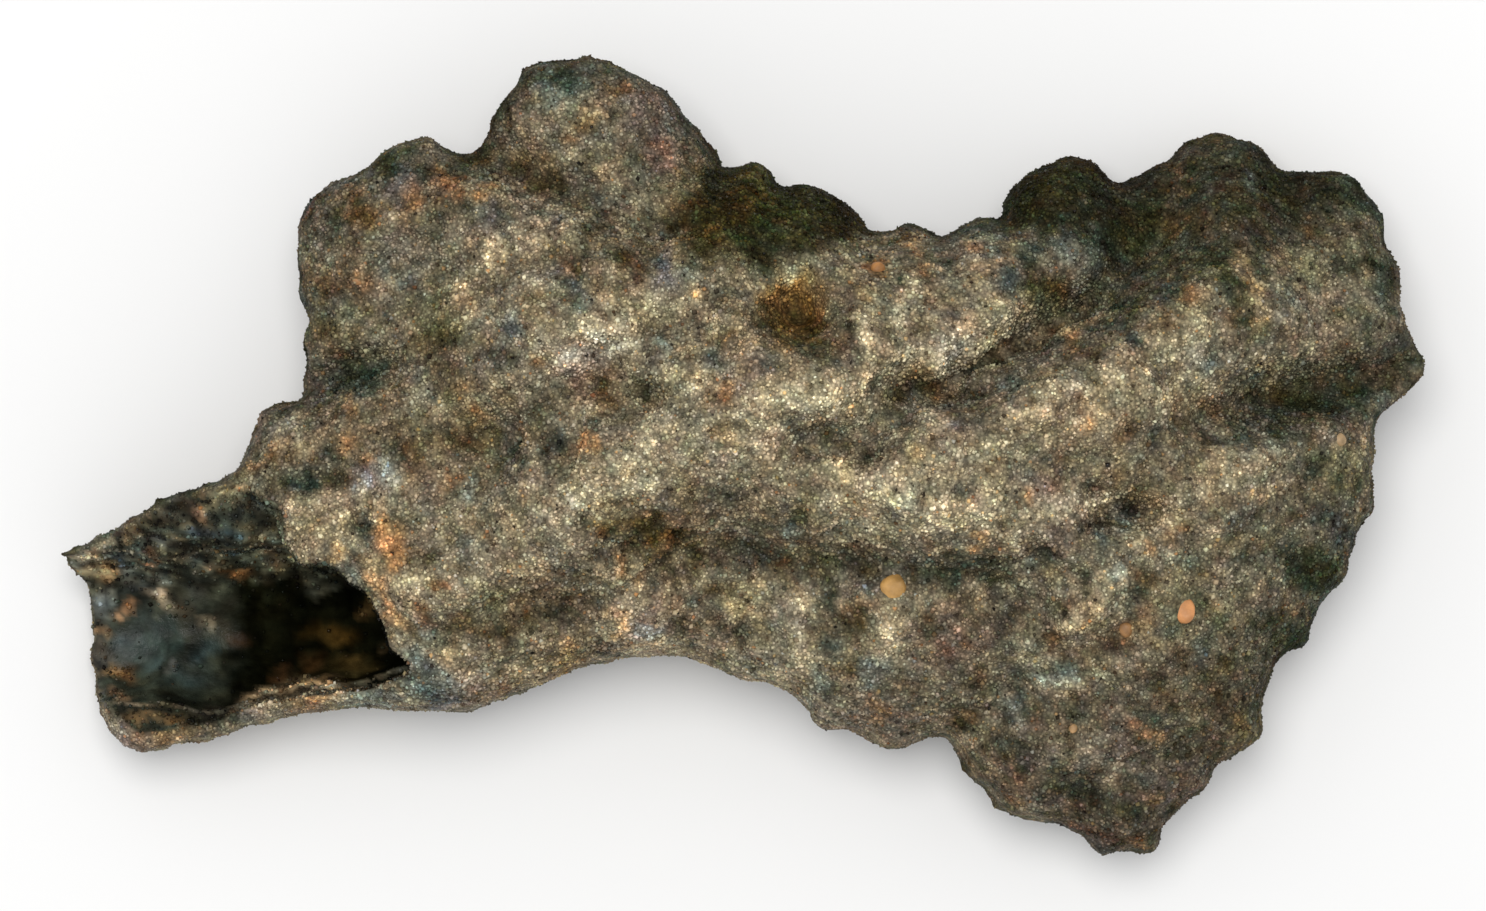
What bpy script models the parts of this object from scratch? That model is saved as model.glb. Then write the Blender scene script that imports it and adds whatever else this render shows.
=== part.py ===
"""Fulgurite: one fragment of natural lightning glass, a crooked, flattened
glass tube with sand fused to its outside and broad crumpled wings.

The design is worked in millimetres, in the frame the fragment lies in:
+X runs along the tube from its broken-open mouth to its far tip, +Y is the
upper wing, +Z is up from the surface it rests on. The mesh is made in metres.

The piece is one fused body, so it is one solid:
  * a plan outline, from hand-set points on a smooth closed curve,
  * an upper face and an under face over that outline, from set levels with
    ridges and grooves laid over them, rolled together along the rim,
  * the tube's bore and the broken-away side of its mouth, cut out of it.
"""

import bmesh
import bpy
import numpy as np
from mathutils import Vector
from mathutils.geometry import delaunay_2d_cdt

MM = 0.001

# ------------------------------------------------------------- dimensions
RIM_STEP = 0.85  # spacing of the points along the outline
FACE_STEP = 0.98  # spacing of the points over the faces
ROLL_TOP = 2.6  # width over which the upper face rolls down to the rim
ROLL_UNDER = 2.2  # and the under face up to it
LEVEL_SPREAD = 3.0  # how far one set level reaches
BORE_SIDES = 16

# Plan outline, clockwise from the spike beside the mouth.
SPIKE_AND_UPPER_LIP = [
    (-30.15, -4.3), (-28.9, -3.75), (-28.0, -3.15), (-26.0, -2.25),
    (-24.0, -1.38), (-22.6, -0.88), (-21.8, -0.1), (-21.35, 1.05), (-21.0, 2.05),
    (-20.2, 2.45), (-19.4, 2.5),
]
LEFT_SHOULDER = [
    (-19.2, 3.2), (-19.1, 4.6), (-19.25, 5.4), (-19.05, 6.0), (-19.35, 6.8),
    (-19.45, 8.5), (-19.5, 10.2), (-19.0, 11.4), (-18.0, 12.1), (-16.4, 12.8),
    (-15.4, 13.7), (-14.4, 13.95), (-13.6, 14.1), (-12.9, 13.5), (-12.1, 13.25),
]
UPPER_WING = [
    (-11.4, 13.8), (-10.9, 15.0), (-10.0, 16.2), (-9.6, 17.0), (-9.0, 17.3),
    (-7.6, 17.4), (-6.6, 17.55), (-5.0, 17.0), (-3.4, 16.05), (-2.2, 14.6),
    (-1.1, 13.2),
]
BACK_LOBE = [
    (-0.9, 12.7), (0.0, 12.8), (0.5, 13.0), (1.1, 12.8), (1.5, 12.1),
    (3.1, 12.05), (4.4, 11.5), (5.2, 10.75), (5.8, 10.05),
]
UPPER_MIDDLE = [
    (7.2, 10.25), (8.1, 10.1), (8.7, 9.75), (9.6, 10.2), (10.4, 10.6),
    (11.45, 10.55),
]
UPPER_RIGHT_LOBES = [
    (11.65, 11.5), (12.4, 12.45), (13.6, 13.1), (15.5, 13.25), (16.1, 12.7),
    (16.6, 12.3), (17.6, 12.6), (18.9, 13.25), (19.7, 14.0), (21.0, 14.3),
    (22.4, 14.1), (23.2, 13.55), (23.9, 12.75), (25.4, 12.7), (27.0, 12.5),
]
RIGHT_WING = [
    (27.5, 11.7), (28.0, 10.8), (28.1, 9.6), (28.8, 8.3), (29.0, 6.9),
    (29.35, 5.5), (30.0, 4.35), (30.0, 3.75), (28.8, 2.5), (27.8, 1.5),
    (27.75, 0.0), (27.75, -1.3), (27.95, -2.0), (27.2, -3.2), (26.8, -4.4),
    (26.6, -5.3),
]
LOWER_RIGHT_WING = [
    (25.9, -6.0), (25.3, -7.2), (24.9, -8.2), (23.8, -8.8), (23.1, -10.0),
    (22.85, -11.3), (22.95, -12.2), (21.9, -13.0), (21.0, -13.6),
    (20.5, -14.5), (19.4, -15.45), (18.6, -16.3), (18.35, -17.45),
    (17.2, -17.4), (15.8, -17.55), (15.2, -16.95), (14.2, -16.25),
    (12.4, -15.8), (11.4, -15.5), (10.9, -14.6), (10.0, -13.85),
    (9.5, -12.9), (9.1, -12.35),
]
LOWER_MIDDLE = [
    (8.0, -12.4), (6.8, -12.9), (5.6, -12.5), (4.8, -12.1), (3.5, -11.95),
    (2.8, -11.1), (1.6, -10.1), (0.0, -9.75), (-1.4, -9.15), (-2.8, -8.75),
    (-4.6, -8.75), (-7.0, -9.2), (-8.6, -9.9), (-10.6, -10.65), (-12.2, -11.15),
]
LOWER_LIP_AND_MOUTH = [
    (-14.0, -11.25), (-16.6, -11.05), (-18.8, -11.2), (-20.6, -11.6),
    (-22.2, -11.95), (-23.2, -12.4), (-24.8, -12.55), (-26.4, -12.95),
    (-27.6, -12.5), (-28.3, -11.3), (-28.6, -9.8), (-28.85, -8.7),
    (-28.8, -7.3), (-28.95, -5.9), (-29.3, -5.15),
]
OUTLINE = (
    SPIKE_AND_UPPER_LIP + LEFT_SHOULDER + UPPER_WING + BACK_LOBE + UPPER_MIDDLE
    + UPPER_RIGHT_LOBES + RIGHT_WING + LOWER_RIGHT_WING + LOWER_MIDDLE
    + LOWER_LIP_AND_MOUTH
)

# Height of the rim itself, (x, y, z) round the outline.
RIM_LEVELS = [
    (-29.9, -4.2, 6.4), (-26.0, -2.1, 7.6), (-22.2, -0.4, 7.2),
    (-19.3, 3.5, 5.4), (-19.4, 8.0, 4.6), (-18.4, 12.0, 5.4), (-14.4, 13.9, 6.6),
    (-11.6, 13.5, 6.6), (-9.6, 17.0, 7.4), (-5.0, 17.0, 7.0), (-2.2, 14.6, 6.2),
    (-0.9, 12.7, 3.6), (2.5, 12.1, 2.6), (5.6, 10.2, 3.8), (8.7, 9.8, 6.4),
    (11.2, 10.6, 5.8), (12.4, 12.5, 3.0), (15.5, 13.2, 2.4), (18.6, 13.1, 2.8),
    (21.0, 14.3, 3.4), (24.5, 12.7, 3.0), (27.2, 12.0, 4.2), (28.6, 8.6, 5.8),
    (29.2, 6.0, 6.2), (29.9, 4.1, 6.0), (28.0, 2.0, 5.6), (27.75, -0.5, 5.4),
    (27.4, -3.0, 4.8), (26.0, -5.9, 3.8), (24.4, -8.5, 3.8), (22.9, -11.3, 4.8),
    (21.4, -13.3, 4.8), (19.4, -15.4, 4.0), (17.0, -17.4, 3.4),
    (14.2, -16.2, 3.6), (11.2, -15.2, 4.2), (9.3, -12.6, 4.6),
    (6.6, -12.9, 3.8), (3.4, -11.9, 3.6), (0.0, -9.7, 4.2), (-4.0, -8.7, 4.8),
    (-9.0, -10.1, 4.4), (-13.0, -11.2, 4.4), (-18.0, -11.1, 5.0),
    (-23.0, -12.3, 4.9), (-26.8, -12.9, 4.4), (-28.2, -11.6, 2.4),
    (-28.5, -9.6, 0.5), (-28.5, -8.0, 0.3), (-28.6, -6.6, 0.7), (-29.0, -5.4, 2.9),
]

# Levels of the upper face between its ridges.
TOP_LEVELS = [
    (-27.0, -7.0, 9.4), (-22.0, -6.0, 9.8), (-22.5, -2.2, 9.0),
    (-20.5, -11.6, 6.6), (-23.5, -12.2, 6.4), (-26.5, -12.6, 6.2),
    (-19.0, 0.5, 9.2), (-16.0, -5.0, 10.6), (-15.0, -9.5, 9.4),
    (-17.0, 4.0, 7.8), (-17.0, 9.0, 8.2), (-13.0, 7.5, 9.4), (-14.0, 1.5, 10.2),
    (-13.5, 11.5, 9.0), (-9.5, 12.5, 8.8), (-7.5, 15.5, 10.4),
    (-4.0, 14.0, 10.2), (-4.0, 10.0, 10.4), (-9.0, 2.5, 11.4), (-9.0, 8.0, 11.0),
    (-5.0, 4.5, 12.0), (-1.0, 5.5, 12.2), (0.5, 11.0, 4.9), (3.5, 10.6, 4.6),
    (1.0, 9.2, 6.6), (4.5, 8.0, 9.6), (8.0, 8.3, 9.8), (10.6, 9.0, 9.4),
    (12.8, 7.6, 8.2), (14.0, 11.2, 5.0), (16.5, 9.2, 5.6), (18.5, 11.0, 4.8),
    (21.5, 12.2, 5.6), (25.5, 11.4, 5.4), (24.0, 8.5, 8.6), (27.4, 7.0, 8.0),
    (25.0, 4.6, 9.2), (28.0, 4.0, 8.2), (-9.0, -4.5, 11.0), (-4.0, -2.5, 12.4),
    (0.0, 0.5, 13.2), (5.0, 0.5, 13.0), (10.0, -1.0, 12.6), (9.5, 4.0, 11.2),
    (14.0, 5.5, 9.6), (16.5, 0.5, 12.4), (20.0, 2.6, 11.2), (22.5, -1.0, 10.2),
    (26.0, -1.6, 8.2), (-8.0, -7.8, 9.2), (-3.0, -6.8, 9.6), (1.5, -5.6, 10.2),
    (1.0, -8.4, 8.6), (5.0, -9.6, 8.4), (7.5, -6.4, 10.0), (10.5, -9.5, 8.8),
    (14.0, -5.0, 10.6), (18.5, -6.0, 10.0), (22.5, -5.5, 8.4),
    (16.0, -10.0, 8.8), (20.5, -10.0, 7.6), (13.0, -13.2, 7.0),
    (17.0, -14.6, 6.6), (6.6, -11.6, 7.0),
]

# Levels of the under face between its ribs.
UNDER_LEVELS = [
    (-25.0, -8.0, 0.2), (-24.0, -4.0, 4.6), (-19.0, -2.0, 3.6),
    (-17.0, -8.0, 0.6), (-17.0, 4.0, 3.2), (-16.5, 9.5, 3.0), (-12.0, 11.0, 4.6),
    (-7.5, 14.8, 5.0), (-4.0, 11.0, 4.4), (-9.0, 4.0, 3.0), (-9.0, -6.0, 1.6),
    (-2.0, 4.0, 2.6), (-2.0, -4.5, 1.4), (1.8, 10.8, 1.0), (6.0, 7.0, 3.0),
    (9.5, 8.4, 3.6), (4.0, 0.0, 1.8), (12.5, 4.0, 2.4), (15.0, 11.0, 1.0),
    (21.0, 11.8, 1.6), (25.5, 10.6, 2.2), (25.0, 6.5, 2.8), (25.6, 1.0, 2.4),
    (25.0, -3.0, 2.6), (19.0, 0.5, 1.6), (20.0, -5.0, 2.2), (13.0, -4.0, 1.6),
    (2.0, -8.4, 2.2), (6.4, -10.4, 2.0), (10.0, -9.0, 2.0), (21.5, -10.8, 2.6),
    (13.0, -13.6, 2.0), (17.4, -15.4, 2.0),
]

# A ridge: points (x, y, z) of its crest, fall to the left of its run, fall to
# the right (mm per mm), and radius of the crest.
TOP_RIDGES = [
    ([(-14.2, -1.2, 11.0), (-8.4, 4.8, 13.0), (-5.0, 6.9, 13.6), (-1.8, 7.5, 12.4)], 0.75, 0.7, 1.2),
    ([(-15.0, -8.2, 9.6), (-11.0, -4.8, 12.0), (-7.5, -2.2, 13.8), (-4.0, 0.2, 14.8), (0.8, 2.4, 15.2), (5.4, 3.2, 14.8), (9.8, 5.8, 12.6)], 0.7, 0.8, 1.3),
    ([(2.6, -0.9, 14.2), (7.0, -1.0, 15.0), (10.6, -1.6, 14.4), (14.4, -2.9, 12.6)], 0.8, 0.9, 1.2),
    ([(6.6, -0.6, 14.8), (9.0, 0.9, 14.9), (11.6, 2.2, 14.9), (15.8, 3.9, 14.2), (20.4, 7.3, 12.0)], 2.2, 0.55, 0.9),
    ([(18.6, 0.2, 12.2), (22.5, 0.8, 11.2), (27.0, 1.3, 8.8)], 1.5, 0.6, 0.8),
    ([(21.6, 9.6, 9.2), (22.6, 7.0, 10.4), (23.6, 5.0, 9.8)], 1.2, 1.0, 0.8),
    ([(12.6, -7.6, 10.6), (15.6, -4.6, 12.0), (18.4, -1.8, 12.4)], 1.4, 0.6, 0.9),
    ([(2.2, -8.6, 10.0), (5.6, -7.4, 10.8), (7.0, -5.4, 11.4)], 0.9, 0.8, 1.2),
    ([(-18.6, 0.8, 9.6), (-16.6, 2.2, 10.0), (-14.8, 2.6, 10.4)], 1.6, 0.6, 0.8),
    ([(17.2, -15.6, 7.2), (16.0, -11.6, 9.2), (17.6, -7.4, 10.8)], 0.6, 0.6, 1.5),
    ([(-13.8, 12.6, 8.8), (-10.4, 9.6, 10.8), (-7.4, 9.8, 11.4)], 0.6, 0.7, 1.2),
]

# A groove: points (x, y) of its floor, depth, half-width.
TOP_GROOVES = [
    ([(2.6, 0.9), (5.6, 1.0)], 1.3, 1.1),
    ([(5.8, 3.1), (8.6, 3.2), (11.6, 4.6), (15.0, 6.2)], 1.9, 1.2),
    ([(-6.6, 3.3), (-4.2, 2.6)], 1.3, 1.1),
    ([(-12.0, 1.2), (-8.4, 0.6)], 1.4, 1.4),
    ([(-4.8, -3.6), (-2.0, -4.2), (1.6, -4.2), (6.0, -4.4), (11.4, -5.2)], 1.7, 1.5),
    ([(-10.2, -6.2), (-6.8, -6.4)], 1.2, 1.1),
    ([(-2.2, -7.6), (1.0, -7.9)], 1.0, 1.0),
    ([(-18.6, 3.1), (-17.4, 3.8), (-15.6, 3.9)], 1.7, 0.8),
    ([(19.6, 2.2), (22.6, 2.5), (25.6, 3.2), (29.6, 3.8)], 2.3, 1.2),
    ([(15.6, -2.3), (17.8, -2.4)], 1.5, 0.9),
    ([(23.8, -4.2), (25.0, -7.6)], 1.0, 1.1),
    ([(10.0, -12.0), (12.0, -10.0)], 1.0, 1.2),
    ([(14.2, -14.8), (16.4, -14.0)], 0.9, 1.1),
    ([(-11.0, 13.6), (-8.8, 12.0), (-6.4, 11.2), (-3.4, 9.6)], 1.3, 1.0),
    ([(2.4, 6.7), (2.5, 6.4)], 2.6, 1.2),
]

# Ribs and fins of the under face: crest points, fall, radius.
UNDER_RIBS = [
    ([(-27.5, -8.4, -0.3), (-17.0, -8.0, -0.4), (-9.0, -5.6, 0.5), (0.0, -2.8, 0.8), (9.0, 0.0, 0.7), (17.0, 1.6, 0.9), (25.0, 2.8, 0.9), (28.0, 3.3, 1.0)], 0.5, 2.4),
    ([(-2.5, -1.0, 1.0), (0.8, 5.0, 1.0), (1.9, 10.2, -0.5)], 0.6, 1.4),
    ([(6.0, -3.0, 1.0), (12.0, -6.8, 0.4), (15.8, -9.6, -0.6), (17.4, -14.4, 1.2)], 0.5, 1.6),
    ([(-10.0, -3.0, 1.0), (-13.0, 3.6, 1.4), (-15.4, 10.6, 2.4)], 0.6, 1.3),
    ([(13.5, 2.4, 1.2), (17.6, 7.0, 0.8), (21.2, 11.0, -0.4)], 0.6, 1.4),
    ([(-5.0, 4.0, 2.0), (-6.6, 10.0, 3.0), (-7.4, 15.0, 4.4)], 0.6, 1.2),
    ([(17.0, -1.0, 1.2), (24.6, -3.6, 1.8)], 0.6, 1.2),
]
UNDER_GROOVES = [
    ([(-21.0, -3.6), (-14.0, -0.5), (-8.0, 1.4)], 1.0, 1.0),
    ([(3.0, -7.0), (8.0, -9.4)], 0.9, 1.1),
    ([(5.0, 4.4), (10.0, 5.6), (13.0, 8.2)], 1.2, 1.1),
    ([(18.6, 4.2), (24.6, 7.4)], 0.9, 1.1),
    ([(-12.0, 7.6), (-10.0, 12.2)], 0.9, 1.0),
    ([(18.4, -9.0), (19.6, -12.8)], 0.8, 1.0),
]

# The bore, by its cross sections: x, centre y and z, half-width, half-height.
BORE = [
    (-33.0, -7.75, 4.90, 3.30, 3.75), (-28.0, -7.75, 4.85, 3.25, 3.60),
    (-24.0, -7.75, 4.90, 3.20, 3.55), (-20.0, -7.4, 5.00, 2.95, 3.45),
    (-16.0, -7.05, 5.10, 2.70, 3.20), (-12.0, -6.4, 5.20, 2.55, 2.90),
    (-6.0, -4.6, 5.40, 2.50, 2.60), (0.0, -2.7, 5.50, 2.60, 2.40),
    (8.0, -0.4, 5.50, 2.70, 2.30), (16.0, 1.2, 5.20, 2.60, 2.00),
    (22.0, 2.4, 4.50, 2.45, 1.65), (27.0, 3.3, 3.70, 2.15, 1.35),
    (33.0, 4.3, 3.20, 2.15, 1.30),
]

# Plan of the broken-away side of the mouth: the edge of the wall that is left.
MOUTH_BREAK = [
    (-34.0, 2.0), (-24.0, 1.0), (-22.5, -0.35), (-21.3, -1.2), (-20.5, -2.0),
    (-20.3, -3.1), (-19.9, -4.1), (-19.2, -4.85), (-17.7, -5.05), (-16.9, -5.8),
    (-16.3, -6.3), (-15.95, -7.1), (-15.4, -7.9), (-14.75, -8.5),
    (-14.6, -9.1), (-14.8, -9.55), (-15.8, -9.85), (-17.4, -10.1),
    (-19.5, -10.5), (-21.5, -10.85), (-23.5, -11.15), (-25.6, -11.3),
    (-27.0, -11.35), (-27.6, -11.0), (-28.0, -10.6), (-34.0, -10.6),
]
BREAK_FLOOR = 4.9  # level at which the break meets the bore
BREAK_SLOPE = 1.05  # rise of the broken upper lip towards the rim
BREAK_SLOPE_FROM = -4.6


# ------------------------------------------------------------- shape rules
def closed_curve(points, step):
    """Even points along a smooth closed curve through the given ones."""
    p = np.array(points, dtype=float)
    dense = []
    for i in range(len(p)):
        a, b, c, d = p[i - 1], p[i], p[(i + 1) % len(p)], p[(i + 2) % len(p)]
        t1 = np.sqrt(np.linalg.norm(b - a))
        t2 = t1 + np.sqrt(np.linalg.norm(c - b))
        t3 = t2 + np.sqrt(np.linalg.norm(d - c))
        for t in np.linspace(t1, t2, 12, endpoint=False):
            ab = a * (t1 - t) / t1 + b * t / t1
            bc = b * (t2 - t) / (t2 - t1) + c * (t - t1) / (t2 - t1)
            cd = c * (t3 - t) / (t3 - t2) + d * (t - t2) / (t3 - t2)
            abc = ab * (t2 - t) / t2 + bc * t / t2
            bcd = bc * (t3 - t) / (t3 - t1) + cd * (t - t1) / (t3 - t1)
            dense.append(abc * (t2 - t) / (t2 - t1) + bcd * (t - t1) / (t2 - t1))
    dense = np.array(dense)
    loop = np.vstack([dense, dense[:1]])
    along = np.concatenate([[0.0], np.cumsum(np.linalg.norm(np.diff(loop, axis=0), axis=1))])
    count = int(round(along[-1] / step))
    at = np.arange(count) * along[-1] / count
    return np.column_stack([np.interp(at, along, loop[:, k]) for k in (0, 1)])


def distance_inside(loop, xy):
    """Distance from each point to the closed loop, negative outside it."""
    best = np.full(len(xy), 1e9)
    inside = np.zeros(len(xy), dtype=bool)
    x, y = xy[:, 0], xy[:, 1]
    for a, b in zip(loop, np.roll(loop, -1, axis=0)):
        run = b - a
        t = np.clip(((x - a[0]) * run[0] + (y - a[1]) * run[1]) / (run @ run), 0, 1)
        best = np.minimum(best, np.hypot(x - a[0] - t * run[0], y - a[1] - t * run[1]))
        crosses = (a[1] > y) != (b[1] > y)
        if a[1] != b[1]:
            inside ^= crosses & (x < a[0] + (y - a[1]) * run[0] / run[1])
    return np.where(inside, best, -best)


def blended(levels, xy, spread):
    """A smooth surface through a few set levels."""
    total = np.zeros(len(xy))
    weight = np.zeros(len(xy))
    for x, y, z in levels:
        d2 = (xy[:, 0] - x) ** 2 + (xy[:, 1] - y) ** 2
        w = np.exp(-d2 / (2 * spread**2)) + 1e-4 / (1.0 + d2)
        total += w * z
        weight += w
    return total / weight


def nearest_on(line, xy):
    """Distance to a polyline, the side of it (1 left to -1 right, turning
    smoothly round its ends), and its third value there."""
    p = np.array(line, dtype=float)
    best = np.full(len(xy), 1e9)
    side = np.zeros(len(xy))
    level = np.zeros(len(xy))
    for a, b in zip(p[:-1], p[1:]):
        run = b[:2] - a[:2]
        dx, dy = xy[:, 0] - a[0], xy[:, 1] - a[1]
        t = np.clip((dx * run[0] + dy * run[1]) / (run @ run), 0, 1)
        d = np.hypot(dx - t * run[0], dy - t * run[1])
        near = d < best
        across = (run[0] * dy - run[1] * dx) / np.linalg.norm(run)
        best = np.where(near, d, best)
        side = np.where(near, np.clip(across / np.maximum(d, 1e-6), -1, 1), side)
        if p.shape[1] > 2:
            level = np.where(near, a[2] + t * (b[2] - a[2]), level)
    return best, side, level


def soft_max(a, b, k):
    h = np.maximum(k - np.abs(a - b), 0) / k
    return np.maximum(a, b) + h * h * k / 4


def rolled(t):
    """0 on the rim to 1 inside it, as a rounded edge."""
    t = np.clip(t, 0, 1)
    return np.sqrt(1 - (1 - t) ** 2)


def rim_level(xy):
    return blended(RIM_LEVELS, xy, 2.2)


def upper_face(xy, d):
    z = blended(TOP_LEVELS, xy, LEVEL_SPREAD)
    for crest, left, right, radius in TOP_RIDGES:
        off, side, level = nearest_on(crest, xy)
        fall = right + (left - right) * (0.5 + 0.5 * side)
        z = soft_max(z, level - fall * (np.hypot(off, radius) - radius), 0.9)
    for floor, depth, half in TOP_GROOVES:
        off, _, _ = nearest_on(floor, xy)
        z = z - depth * np.exp(-((off / half) ** 2))
    rim = rim_level(xy)
    return rim + (z - rim) * rolled(d / ROLL_TOP)


def under_face(xy, d):
    z = blended(UNDER_LEVELS, xy, LEVEL_SPREAD)
    for floor, depth, half in UNDER_GROOVES:
        off, _, _ = nearest_on(floor, xy)
        z = z + depth * np.exp(-((off / half) ** 2))
    for crest, fall, radius in UNDER_RIBS:
        off, _, level = nearest_on(crest, xy)
        z = -soft_max(-z, -(level + fall * (np.hypot(off, radius) - radius)), 0.9)
    rim = rim_level(xy)
    z = rim + (z - rim) * rolled(d / ROLL_UNDER)
    return np.maximum(z, 0.0)  # worn flat where it lies


def bore_section(x):
    table = np.array(BORE)
    return [np.interp(x, table[:, 0], table[:, k]) for k in range(1, 5)]


# ------------------------------------------------------------- mesh makers
def plan_points(loop, step):
    """Points over the outline's inside: two rows near the rim, rows along the
    crests and grooves, and a triangular lattice between them."""
    rows = []
    tangent = np.roll(loop, -1, axis=0) - np.roll(loop, 1, axis=0)
    tangent /= np.linalg.norm(tangent, axis=1)[:, None]
    inward = np.column_stack([tangent[:, 1], -tangent[:, 0]])
    for inset in (0.32,):
        row = loop + inward * inset
        rows.append(row[distance_inside(loop, row) > inset * 0.85])
    lines = [crest for crest, *_ in TOP_RIDGES] + [floor for floor, *_ in TOP_GROOVES]
    for line in lines:
        p = np.array(line, dtype=float)[:, :2]
        for a, b in zip(p[:-1], p[1:]):
            count = max(1, int(round(np.linalg.norm(b - a) / step)))
            row = a + (b - a) * (np.arange(count)[:, None] / count)
            rows.append(row[distance_inside(loop, row) > 0.9])
    lattice = []
    y, odd = loop[:, 1].min(), 0
    while y < loop[:, 1].max():
        xs = np.arange(loop[:, 0].min() + odd * step / 2, loop[:, 0].max(), step)
        lattice.append(np.column_stack([xs, np.full(len(xs), y)]))
        y += step * 0.866
        odd ^= 1
    lattice = np.vstack(lattice)
    rows.append(lattice[distance_inside(loop, lattice) > 0.75])
    kept = []
    for p in np.vstack(rows):
        if all((p[0] - q[0]) ** 2 + (p[1] - q[1]) ** 2 > (0.55 * step) ** 2 for q in kept[-400:]):
            kept.append(p)
    points = np.array(kept)
    # A crest point and a lattice point made far apart in the list can still be
    # close together, so the later one goes.
    keep = np.ones(len(points), dtype=bool)
    for i in range(len(points)):
        if keep[i]:
            near = ((points[i + 1:] - points[i]) ** 2).sum(axis=1) < (0.5 * step) ** 2
            keep[i + 1:][near] = False
    return points[keep]


def triangulated(loop, inner):
    """Triangles over the outline with no edge that joins two rim points across it."""
    n = len(loop)
    while True:
        points = [Vector(p) for p in np.vstack([loop, inner])]
        verts, _, faces, *_ = delaunay_2d_cdt(points, [], [list(range(n))], 1, 1e-6)
        assert len(verts) == len(points)
        across = set()
        for f in faces:
            for a, b in ((f[0], f[1]), (f[1], f[2]), (f[2], f[0])):
                if a < n and b < n and (a - b) % n not in (1, n - 1):
                    across.add((min(a, b), max(a, b)))
        if not across:
            return np.array([v[:] for v in verts]), faces
        inner = np.vstack([inner, [(loop[a] + loop[b]) / 2 for a, b in across]])


def slab(loop, inner, top, under):
    """A closed mesh between two faces that meet along the loop."""
    xy, faces = triangulated(loop, inner)
    d = np.maximum(distance_inside(loop, xy), 0)
    d[: len(loop)] = 0
    above, below = top(xy, d), under(xy, d)
    above = np.maximum(above, below + 0.25)
    n = len(loop)
    mesh = bmesh.new()
    rim = rim_level(xy[:n])
    upper = [mesh.verts.new((x * MM, y * MM, z * MM)) for (x, y), z in zip(xy[:n], rim)]
    lower = list(upper)
    upper += [mesh.verts.new((x * MM, y * MM, z * MM)) for (x, y), z in zip(xy[n:], above[n:])]
    lower += [mesh.verts.new((x * MM, y * MM, z * MM)) for (x, y), z in zip(xy[n:], below[n:])]
    for f in faces:
        mesh.faces.new([upper[i] for i in f])
        mesh.faces.new([lower[i] for i in reversed(f)])
    bmesh.ops.recalc_face_normals(mesh, faces=mesh.faces)
    return mesh


def bore_mesh():
    """The bore as a tube of rings across X, closed at both ends."""
    mesh = bmesh.new()
    rings = []
    for x in np.arange(BORE[0][0], BORE[-1][0] + 0.01, 1.5):
        y, z, half_y, half_z = bore_section(x)
        turn = np.arange(BORE_SIDES) * 2 * np.pi / BORE_SIDES
        wave = 1 + 0.05 * np.sin(3 * turn + 0.35 * x) + 0.04 * np.sin(5 * turn - 0.6 * x)
        rings.append([
            mesh.verts.new((x * MM, (y + half_y * w * np.cos(t)) * MM, (z + half_z * w * np.sin(t)) * MM))
            for t, w in zip(turn, wave)
        ])
    for one, two in zip(rings[:-1], rings[1:]):
        for i in range(BORE_SIDES):
            j = (i + 1) % BORE_SIDES
            mesh.faces.new((one[i], one[j], two[j], two[i]))
    mesh.faces.new(rings[0])
    mesh.faces.new(rings[-1])
    bmesh.ops.triangulate(mesh, faces=mesh.faces)
    bmesh.ops.recalc_face_normals(mesh, faces=mesh.faces)
    return mesh


def break_mesh():
    """What has broken away beside the mouth: everything above a floor that
    meets the bore and rises along the upper lip."""
    loop = np.array(MOUTH_BREAK)
    if np.sum(loop[:, 0] * np.roll(loop[:, 1], -1) - loop[:, 1] * np.roll(loop[:, 0], -1)) < 0:
        loop = loop[::-1]
    inner = [(x, y) for x in np.arange(-33, -14, 1.6) for y in (-9.0, -7.0, -4.6, -3.2, -1.8, -0.6)]
    inner = np.array([p for p in inner if distance_inside(loop, np.array([p]))[0] > 0.4])
    xy, faces = triangulated(loop, inner)
    mesh = bmesh.new()
    floor = BREAK_FLOOR + BREAK_SLOPE * np.maximum(xy[:, 1] - BREAK_SLOPE_FROM, 0)
    lower = [mesh.verts.new((x * MM, y * MM, z * MM)) for (x, y), z in zip(xy, floor)]
    upper = [mesh.verts.new((x * MM, y * MM, 20 * MM)) for x, y in xy]
    for f in faces:
        mesh.faces.new([upper[i] for i in f])
        mesh.faces.new([lower[i] for i in reversed(f)])
    for i in range(len(loop)):
        j = (i + 1) % len(loop)
        mesh.faces.new((lower[i], lower[j], upper[j], upper[i]))
    bmesh.ops.triangulate(mesh, faces=mesh.faces)
    bmesh.ops.recalc_face_normals(mesh, faces=mesh.faces)
    return mesh


# ------------------------------------------------------------- objects
def material(name, colour, roughness, metallic=0.0):
    mat = bpy.data.materials.new(name)
    mat.use_nodes = True
    shader = mat.node_tree.nodes["Principled BSDF"]
    shader.inputs["Base Color"].default_value = (*colour, 1.0)
    shader.inputs["Roughness"].default_value = roughness
    shader.inputs["Metallic"].default_value = metallic
    return mat


def add(name, mesh, mat=None):
    data = bpy.data.meshes.new(name)
    mesh.to_mesh(data)
    mesh.free()
    obj = bpy.data.objects.new(name, data)
    bpy.context.scene.collection.objects.link(obj)
    if mat:
        data.materials.append(mat)
    return obj


def cut(obj, cutter):
    cutter.hide_render = True
    cutter.display_type = "WIRE"
    modifier = obj.modifiers.new(cutter.name, "BOOLEAN")
    modifier.operation = "DIFFERENCE"
    modifier.solver = "EXACT"
    modifier.object = cutter


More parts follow.
